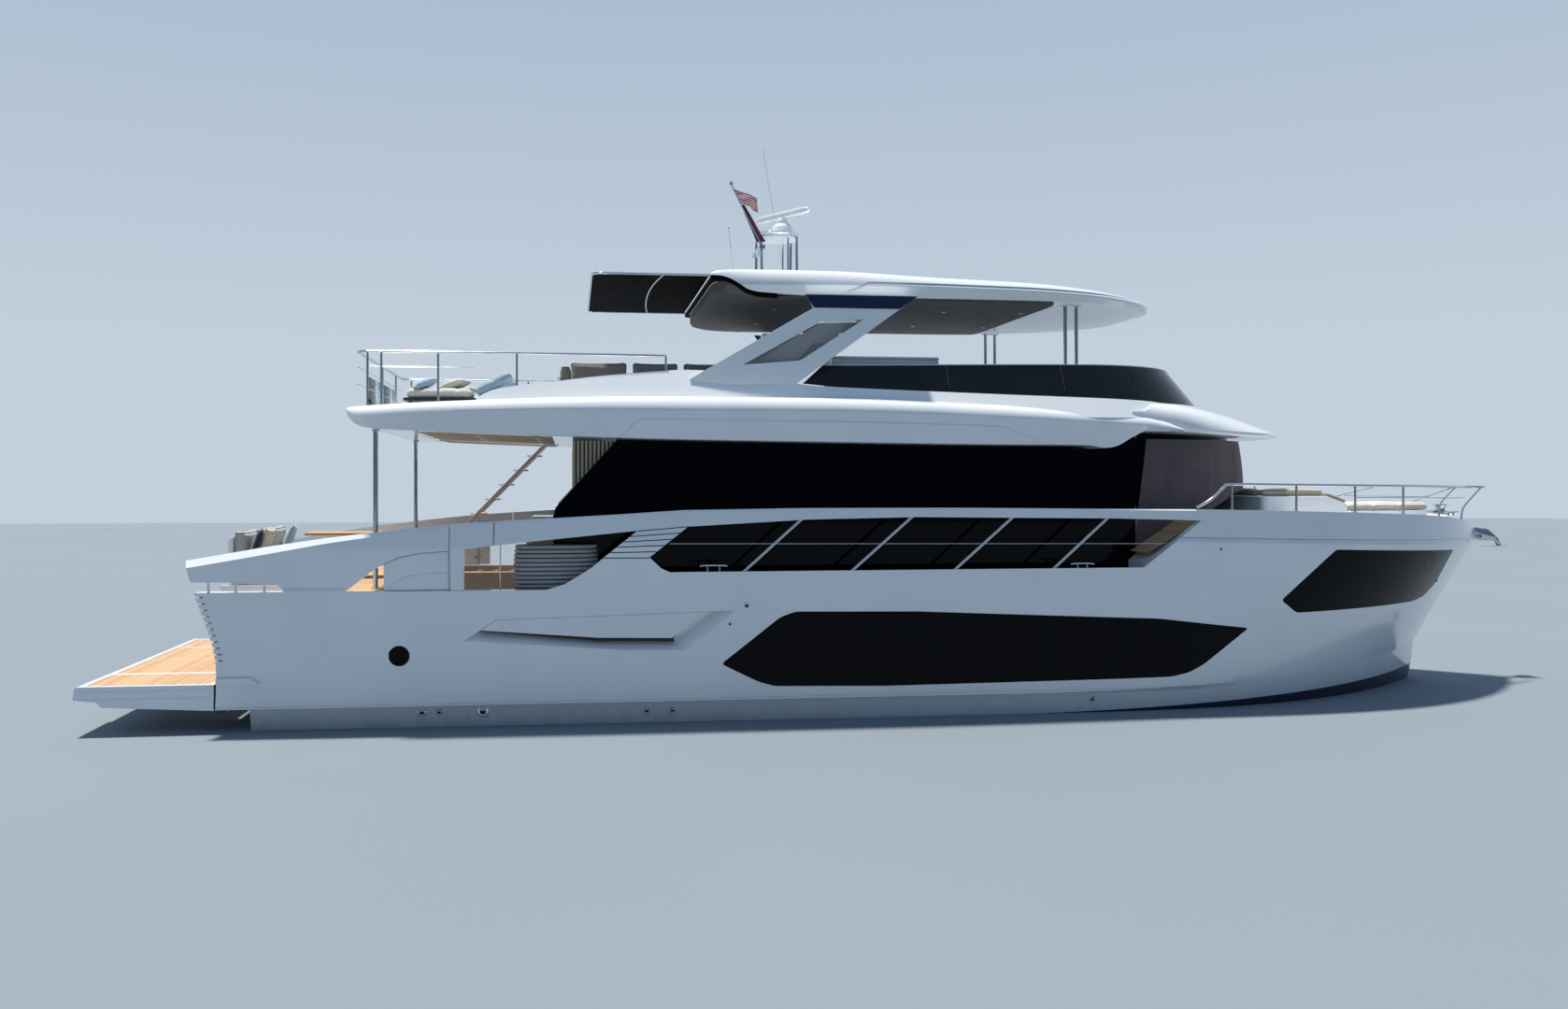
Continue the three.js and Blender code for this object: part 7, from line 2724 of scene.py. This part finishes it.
@dataclass
class Foredeck:
    """The foredeck: sofa, sunpads, anchor gear, cleats and non-slip."""

    floor: float = FORE_Z

    def seat(self) -> None:
        """Builds the moulded sofa with its tan backrests and pale cushions."""
        floor = self.floor
        outer = plan(rounded(taper(6482, 1498, 8148, 1298), 120, 6), floor + GAP, floor + 350,
                     "fore_seat_moulding")
        well = plan(rounded(taper(7150, 900, 8400, 850), 60, 5), floor - 100, floor + 600)
        seats = plan(rounded(taper(6700, 1250, 8400, 1075), 60, 5), floor + 130, floor + 600)
        fall = [(7700, floor + 352), (8200, floor + 190), (8200, floor + 500), (7700, floor + 500)]
        cut(outer, well, seats, side(fall, -2000, 2000))
        dressed(softened(outer, 28, 14, 3), GELCOAT, YACHT, ["fore_seat"])
        Cushion("fore_seat_aft", (6710, -880, floor + 132), (7145, 880, floor + 255), CUSHION_CLOTH,
                GREY_PIPING).build()
        backs = [((6500, -1190, floor + 352), (6690, -20, floor + 466)),
                 ((6500, 20, floor + 352), (6690, 1190, floor + 466))]
        for k, (low, high) in enumerate(backs):
            Cushion(f"fore_back_{k}", low, high, TAN_CLOTH, TAN_PIPING, corner=50, crown=6, pull=3).build()
        for name, sign in SIDES.items():
            low, high = sorted((sign * 910, sign * 1180))
            Cushion(f"fore_side_{name}", (6720, low, floor + 132), (8120, high, floor + 250), CUSHION_CLOTH,
                    GREY_PIPING, turn=sign * -3.2).build()
            low, high = sorted((sign * 1190, sign * 1370))
            parts = ((6500, 7690, 80, 0, 112), (7705, 8140, -55, 18, 70))
            for k, (x0, x1, shift, lean, thick) in enumerate(parts):
                Cushion(f"fore_arm_{name}_{k}", (x0, low + sign * shift, floor + 352),
                        (x1, high + sign * shift, floor + 352 + thick), TAN_CLOTH, TAN_PIPING,
                        corner=50, crown=6, pull=3, turn=sign * -6.4, lean=lean).build()

    def sunpads(self) -> None:
        """Builds the sunpad ahead of the sofa in three humped parts."""
        floor = self.floor
        edge = [(8310, -1070), (10045, -632), (10140, -495)]
        outline = rounded([*edge, *[(x, -y) for x, y in reversed(edge)]], 60, 5)
        base = plan(outline, floor + GAP, floor + 95, "sunpad_base")
        dressed(softened(base, 28, 12, 3), GELCOAT, YACHT, ["fore_sunpad"])
        spans = [(8330, 8900, 960), (8915, 9480, 830), (9495, 10100, 670)]
        for k, (x0, x1, half) in enumerate(spans):
            for name, sign in SIDES.items():
                low, high = sorted((sign * 6, sign * half))
                Cushion(f"sunpad_{name}_{k}", (x0, low, floor + 97), (x1, high, floor + 205), CUSHION_CLOTH,
                        GREY_PIPING, corner=80).build()

    def anchor_gear(self) -> None:
        """Builds the roller and the anchor."""
        low, half = 2550 + GAP, 90.0
        cheek = [(11150, low), (11150, 2700), (11650, 2640), (11800, 2520), (11818, 2440), (11780, 2432),
                 (11560, 2432), (11530, low)]
        plates = [softened(side(rounded(cheek, 24, 4), *pair), 30, 3) for pair in ((-half, -70), (70, half))]
        plates.append(softened(block((11150, -half + 1, low), (11480, half - 1, low + 12)), 30, 2))
        dressed(gathered("roller_cheeks", plates), STAINLESS, YACHT, ["bow_roller"])
        wheel = turned([(0, -66), (40, -66), (30, -20), (28, 0), (30, 20), (40, 66), (0, 66)],
                       (11740, 0, 2480), 32, "Y")
        wheel.name = "roller_wheel"
        dressed(softened(wheel, 40), RUBBER)
        bend = [(11305, 2640), (11312, 2676), (11700, 2606), (11880, 2490), (11905, 2480), (11988, 2352),
                (11900, 2336), (11862, 2420), (11680, 2560)]
        shank = softened(side(rounded(bend, 22, 4), -17, 17), 30, 6, 3)
        fluke = self.fluke()
        dressed(gathered("plough_anchor", [shank, fluke]), STAINLESS, YACHT, ["anchor"])

    def windlass(self) -> None:
        """Builds the windlass and the links of the chain that show."""
        drum = turned([(0, 2902), (150, 2902), (150, 2925), (95, 2945), (80, 2990), (86, 3040), (108, 3068),
                       (104, 3086), (0, 3090)], (10780, 0, 0), 40)
        motor = slab((10560, -110, 2901), (10700, 110, 2975), 30, 10, "windlass_box")
        chain = []
        for k in range(9):
            x, z = 10880 + k * 34, 2912 - k * 30
            wide, tall = (12, 3) if k % 2 else (3, 12)
            ring = [(x + 22 * math.cos(a), wide * math.sin(a), z + tall * math.sin(a)) for a in around(12)]
            if x < 11130 and z > 2905:
                chain.append(tube(ring, 5, 6, True))
        dressed(softened(gathered("windlass", [drum, motor, *chain]), 40), STAINLESS)

    def cleats(self) -> None:
        """Builds the bow cleats."""
        cleats = []
        for x, y, z in ((10450, 700, 2902), (10450, -700, 2902)):
            cleats.append(tube([(x - 130, y, z + 62), (x, y, z + 54), (x + 130, y, z + 62)], 14, 12))
            cleats += [turned([(26, z), (16, z + 20), (14, z + 56)], (x + dx, y, 0), 16) for dx in (-45, 45)]
        dressed(softened(gathered("bow_cleats", cleats), 50), STAINLESS)

    def fluke(self) -> Piece:
        """Makes the anchor's plough: a folded delta that narrows to its tip.

        Returns:
            The plough.
        """
        rings = []
        sections = ((11600, 6, 0), (11720, 90, 10), (11860, 168, 16), (11960, 205, 14), (12036, 150, 4))
        for x, wide, fall in sections:
            top = [(x - abs(y) * 0.18, y, 2338 + fall * (1 - abs(y) / wide) + abs(y) * 0.035)
                   for y in np.linspace(-wide, wide, 9)]
            low = [(px, y, z - 10) for px, y, z in reversed(top)]
            rings.append([*top, *low])
        return softened(loft(rings), 40)

    def non_slip(self) -> None:
        """Lays the non-slip round the sofa and the sunpad."""
        panel = common(FORM.solid(240),
                       block((FORE_X + 60, -2700, FORE_Z + GAP), (10980, 2700, FORE_Z + 1.8)))
        cut(panel, plan(house_outline(-80, 3000), 2000, 4000),
            plan([(6430, -1560), (8260, -1360), (10080, -700), (10220, -560), (10220, 560), (10080, 700),
                  (8260, 1360), (6430, 1560)], 2000, 4000))
        panel.name = "foredeck_non_slip"
        dressed(softened(panel, 30), NON_SLIP)

    def build(self) -> None:
        """Builds all of it."""
        self.seat()
        self.sunpads()
        self.anchor_gear()
        self.windlass()
        self.cleats()
        self.non_slip()


@dataclass
class Platform:
    """The bathing platform: fixed quarters and the lifting middle, white mouldings with teak inlays."""

    aft: float = -11450
    fore: float = -9626
    split: float = 1470
    out: float = 2610

    def wings(self) -> None:
        """Builds the fixed wings, their seals against the hull and their teak."""
        aft = self.aft
        outline = [(self.fore, 320), (self.fore, PLATFORM_Z), (aft + 30, PLATFORM_Z), (aft + 4, 664),
                   (aft - 18, 520), (aft - 10, 500), (aft + 290, 465), (aft + 350, 395)]
        body = side(outline, self.split, self.out)
        corner = rounded([(self.fore + 500, self.split), (self.fore + 500, self.out), (aft - 30, self.out),
                          (aft - 30, self.split)], 10, 2)
        common(body, plan(corner, 0, 1000))
        for z in (610, 505):
            cut(body, block((aft + 60, self.out - 6, z), (self.fore - 40, self.out + 10, z + 6)))
        cut(body, plan(self.inlay(GAP), PLATFORM_Z - 6, 1000))
        paired(softened(body, 28, 8), "platform_quarter", GELCOAT, "platform_wing")
        seal = block((self.fore + 1, self.split + 10, 345), (-9596, self.out - 25, PLATFORM_Z - 12))
        paired(seal, "platform_seal", RUBBER)
        teak = plan(self.inlay(0), PLATFORM_Z - 5.7, PLATFORM_Z)
        paired(softened(teak, 30), "platform_teak", TEAK_ACROSS)

    def inlay(self, grow: float) -> list[tuple[float, float]]:
        """Draws the teak panel of one wing from above."""
        return rounded(oblong(self.aft + 110 - grow, self.split + 50 - grow, self.fore - 60 + grow,
                              self.out - 90 + grow), 70, 6)

    def lift(self) -> None:
        """Builds the lifting middle with its lugs, pins and teak."""
        half, fore, deck, arm = 1455.0, -9700.0, 110.0, 900.0
        under = PLATFORM_Z - deck
        aft = self.aft + 10
        outline = [(aft, under + 6), (aft + 2, under + 20), (aft + 18, PLATFORM_Z - 8),
                   (aft + 26, PLATFORM_Z), (fore, PLATFORM_Z), (fore, under), (aft + 6, under)]
        body = softened(side(outline, -half, half, "lift_slab"), 28, 6)
        panels = [rounded(oblong(aft + 110, y0, fore - 60, y1), 40, 5)
                  for y0, y1 in ((-half + 50, -12), (12, half - 50))]
        cut(body, *[plan(shrunk(p, -GAP), PLATFORM_Z - 6, 1000) for p in panels])
        dressed(softened(body, 28), GELCOAT, "platform_deck", ["lift_platform"])
        teak = gathered("lift_teak", [plan(p, PLATFORM_Z - 5.7, PLATFORM_Z) for p in panels])
        dressed(softened(teak, 30), TEAK_ACROSS, "platform_deck")
        lug = [(-10440, under - 0.5), (-10260, under - 0.5), (-10305, 405), (-10395, 405)]
        metal = [softened(side(lug, y, y + 30), 30, 3) for y in (-arm - 60, -arm + 30, arm - 60, arm + 30)]
        metal += [pin(14, y - 60, y + 60, (-10350, 0, 450), 20, "Y")
                  for y in (-arm, arm)]
        dressed(gathered("lift_lugs", metal), STAINLESS, "platform_deck")

    def hinges(self) -> None:
        """Builds the hull's share of the lift's and the garage door's hinges, and the drives' bosses."""
        x, z, radius = -9812.0, 1786.0, 12.0
        parts = []
        for y in (-900, 0, 900):
            knuckle = pin(radius, y - 40, y, (x, 0, z), 24, "Y")
            added(knuckle, block((x, y - 40, z - 4), (x + 60, y, z + radius)))
            parts.append(cut(knuckle, pin(6.3, y - 100, y + 100, (x, 0, z), 20, "Y")))
        for y in (930, -988):
            ear = block((-9320, y, 60), (-9150, y + 28, 180))
            added(ear, pin(60, y, y + 28, (-9320, 0, 120), 32, "Y"))
            parts.append(cut(ear, pin(27, y - 40, y + 90, (-9320, 0, 120), 32, "Y")))
        dressed(softened(gathered("transom_hinges", parts), 30), STAINLESS)
        bosses = [turned([(0, -760), (236, -760), (240, -740), (240, -380), (0, -380)], (-7350, y, 0), 48)
                  for y in (-1150, 1150)]
        dressed(softened(gathered("drive_bosses", bosses), 35), HULL_GELCOAT)

    def build(self) -> None:
        """Builds all of it."""
        self.wings()
        self.lift()
        self.hinges()


@dataclass
class Drives:
    """The pod drives under the hull and their pairs of opposed propellers."""

    x: float = -7350
    y: float = 1150
    top: float = -760
    axis: float = -1320
    hub: float = 75

    def pod(self) -> Piece:
        """Makes one pod: a streamlined leg on a torpedo body under a round plate.

        Returns:
            The pod, to port.
        """
        rings = []
        for t in np.linspace(0, 1, 9):
            z = self.axis + (self.top - 30 - self.axis) * t
            fore, aft = 380 - 50 * t, -300 + 50 * t
            ring = []
            for a in around(32):
                along = (fore + aft) / 2 + (fore - aft) / 2 * math.cos(a)
                thick = 70 * math.sin(a) * (0.6 + 0.4 * math.cos(a)) ** 0.5 if math.cos(a) > -1 else 0
                ring.append((self.x + along, self.y + thick, z))
            rings.append(ring)
        leg = loft(rings)
        profile = [(0, -520), (60, -500), (108, -430), (150, -300), (163, -100), (165, 100), (163, 250),
                   (148, 330), (130, 380), (110, 400), (0, 400)]
        body = turned(profile, (self.x, self.y, self.axis), 40, "X")
        plate = turned([(0, self.top - 45), (225, self.top - 45), (235, self.top - 35), (235, self.top - GAP),
                        (0, self.top - GAP)], (self.x, self.y, 0), 48)
        return softened(added(leg, body, plate), 30)

    def propeller(self, x: float, radius: float, count: int, hand: int) -> Piece:
        """Makes a propeller with swept, twisted blades.

        Args:
            x: Where its middle is.
            radius: Its radius.
            count: How many blades it has.
            hand: 1 or -1, the way it turns.

        Returns:
            The propeller.
        """
        blades = []
        for number in range(count):
            start = 2 * math.pi * number / count
            rings = []
            for t in np.linspace(0, 1, 12):
                r = 70 + (radius - 71) * t
                chord = radius * 0.52 * math.sin(math.pi * (0.22 + 0.74 * t)) ** 0.8
                pitch = math.atan2(radius * 1.1, 2 * math.pi * r * 0.75)
                skew = 0.35 * t * t
                ring = []
                for a in around(16):
                    along = chord / 2 * math.cos(a)
                    thick = (9 * (1 - t) + 3.5) * math.sin(a) * (1.1 - 0.3 * math.cos(a))
                    axial = along * math.sin(pitch) + thick * math.cos(pitch)
                    turn = (along * math.cos(pitch) - thick * math.sin(pitch)) / r - skew
                    angle = start + hand * turn
                    limit = self.hub - 1.0
                    ring.append((x + max(-limit, min(limit, axial)), self.y + r * math.sin(angle),
                                 self.axis + r * math.cos(angle)))
                rings.append(ring)
            blades.append(loft(rings))
        profile = [(0, -self.hub), (106, -self.hub), (108, -self.hub + 8), (97, self.hub - 10),
                   (94, self.hub), (0, self.hub)]
        hub = turned(profile, (x, self.y, self.axis), 40, "X")
        return softened(gathered("propeller", [hub, *blades]), 35)

    def build(self) -> None:
        """Builds both drives."""
        pod = self.pod()
        paired(pod, "pod_drive", DRIVE_PAINT, "pod", "pod")
        for place, x, radius, count, hand in (("aft", -6874.5, 330, 4, 1), ("fore", -6724, 300, 3, -1)):
            screw = self.propeller(x, radius, count, hand)
            paired(screw, f"screw_{place}", BRONZE, f"propeller_{place}", f"propeller_{place}")


@dataclass
class Studio:
    """The plain floor at the waterline, the soft light and the camera of the photograph."""

    eye: tuple[float, float, float] = (-4.736, -20.103, 3.467)
    turn: float = 7.0
    film: float = 36.0
    focal_px: float = 1300.0
    image: tuple[int, int] = (1678, 1080)
    middle_px: tuple[float, float] = (770.0, 517.0)
    floor_half: float = 90000.0

    def camera(self) -> bpy.types.Object:
        """Places the camera.

        Returns:
            The camera.
        """
        width, height = self.image
        data = bpy.data.cameras.new("camera")
        data.sensor_fit = "HORIZONTAL"
        data.sensor_width = self.film
        data.lens = self.focal_px / width * self.film
        data.shift_x = (width / 2 - self.middle_px[0]) / width
        data.shift_y = -(height / 2 - self.middle_px[1]) / width
        data.clip_end = 500.0
        eye = bpy.data.objects.new("camera", data)
        bpy.context.scene.collection.objects.link(eye)
        eye.location = self.eye
        eye.rotation_euler = (math.radians(90), 0.0, math.radians(-self.turn))
        bpy.context.scene.camera = eye
        return eye

    def floor(self) -> Piece:
        """Lays the pale floor at the waterline.

        Returns:
            The floor.
        """
        half = self.floor_half
        corners = [(x, y, 0) for x, y in oblong(-half, -half, half, half)]
        sheet = new_object("floor", corners, [(0, 1, 2, 3)])
        matt = Finish("matt_studio_floor", "", "#79848E", "#76818B", drift_mm=9000, roughness=0.85,
                      grain_mm=60, grain_depth=0.3)
        sheet.data.materials.append(matt.material())
        return sheet

    def sun(self, towards: Point, strength: float, spread: float) -> None:
        """Adds the key light, soft at its edges.

        Args:
            towards: The way from the boat to the light.
            strength: Its strength.
            spread: Its apparent size in degrees.
        """
        data = bpy.data.lights.new("key", "SUN")
        data.energy = strength
        data.angle = math.radians(spread)
        data.color = to_linear("#FFF8EC")[:3]
        lamp = bpy.data.objects.new("key", data)
        bpy.context.scene.collection.objects.link(lamp)
        lamp.rotation_euler = Vector(towards).to_track_quat("Z", "Y").to_euler()

    def sky(self, near: str, far: str, high: str, strength: float) -> None:
        """Lights the room from all round: palest behind the boat, deepest on the near side.

        Args:
            near: Colour on the starboard side, low down.
            far: Colour on the port side, low down.
            high: Colour overhead.
            strength: Its strength.
        """
        world = bpy.data.worlds.new("studio")
        bpy.context.scene.world = world
        world.use_nodes = True
        tree = world.node_tree
        spot = add_node(tree, "TexCoord")
        way = add_node(tree, "SeparateXYZ", {}, {"Vector": spot.outputs["Generated"]})
        across = add_node(tree, "MapRange", {"From Min": -0.6, "From Max": 0.6}, {"Value": way.outputs["Y"]})
        low = add_node(tree, "ValToRGB", {}, {"Fac": across.outputs["Result"]}, [(0.0, near), (1.0, far)])
        rise = add_node(tree, "MapRange", {"From Min": 0.1, "From Max": 0.7}, {"Value": way.outputs["Z"]})
        shade = add_node(tree, "Mix", {"data_type": "RGBA", 7: to_linear(high)},
                         {0: rise.outputs["Result"], 6: low.outputs["Color"]})
        back = tree.nodes["Background"]
        back.inputs["Strength"].default_value = strength
        tree.links.new(shade.outputs[2], back.inputs["Color"])

    def build(self) -> None:
        """Sets up the whole studio."""
        self.camera()
        self.floor()
        self.sky("#455D73", "#C3D0DC", "#86A1C2", 1.0)
        self.sun((-0.16, 0.12, 1.0), 5.6, 4.0)
        bpy.context.scene.view_settings.view_transform = "Standard"


def main() -> None:
    """Builds the studio and the boat."""
    logging.basicConfig(level=logging.INFO, format="%(name)s %(message)s")
    Studio().build()
    finishes = {"gelcoat": GELCOAT, "dark_glass": GLASS, "teak": TEAK, "stainless_steel": STAINLESS,
                "black_canvas": CANVAS, "mesh_cloth": MESH_CLOTH, "cushion_cloth": CUSHION_CLOTH,
                "bronze": BRONZE, "coated_metal": DRIVE_PAINT}
    for node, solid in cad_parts.items():
        slot = solid.data.materials[0].name if solid.data.materials else "gelcoat"
        LOG.info("%s %s", node, slot)
        carried(node, finishes.get(slot.split(".")[0], GELCOAT))
    for part in (Topsides(), Deckhouse(), UpperDeck(), Flybridge(), Hardtop(), Awning(), MastSet(), Rails(),
                 Foredeck(), Cockpit(), FlyLounge(), Platform(), Drives()):
        part.build()


if __name__ == "__main__":
    main()
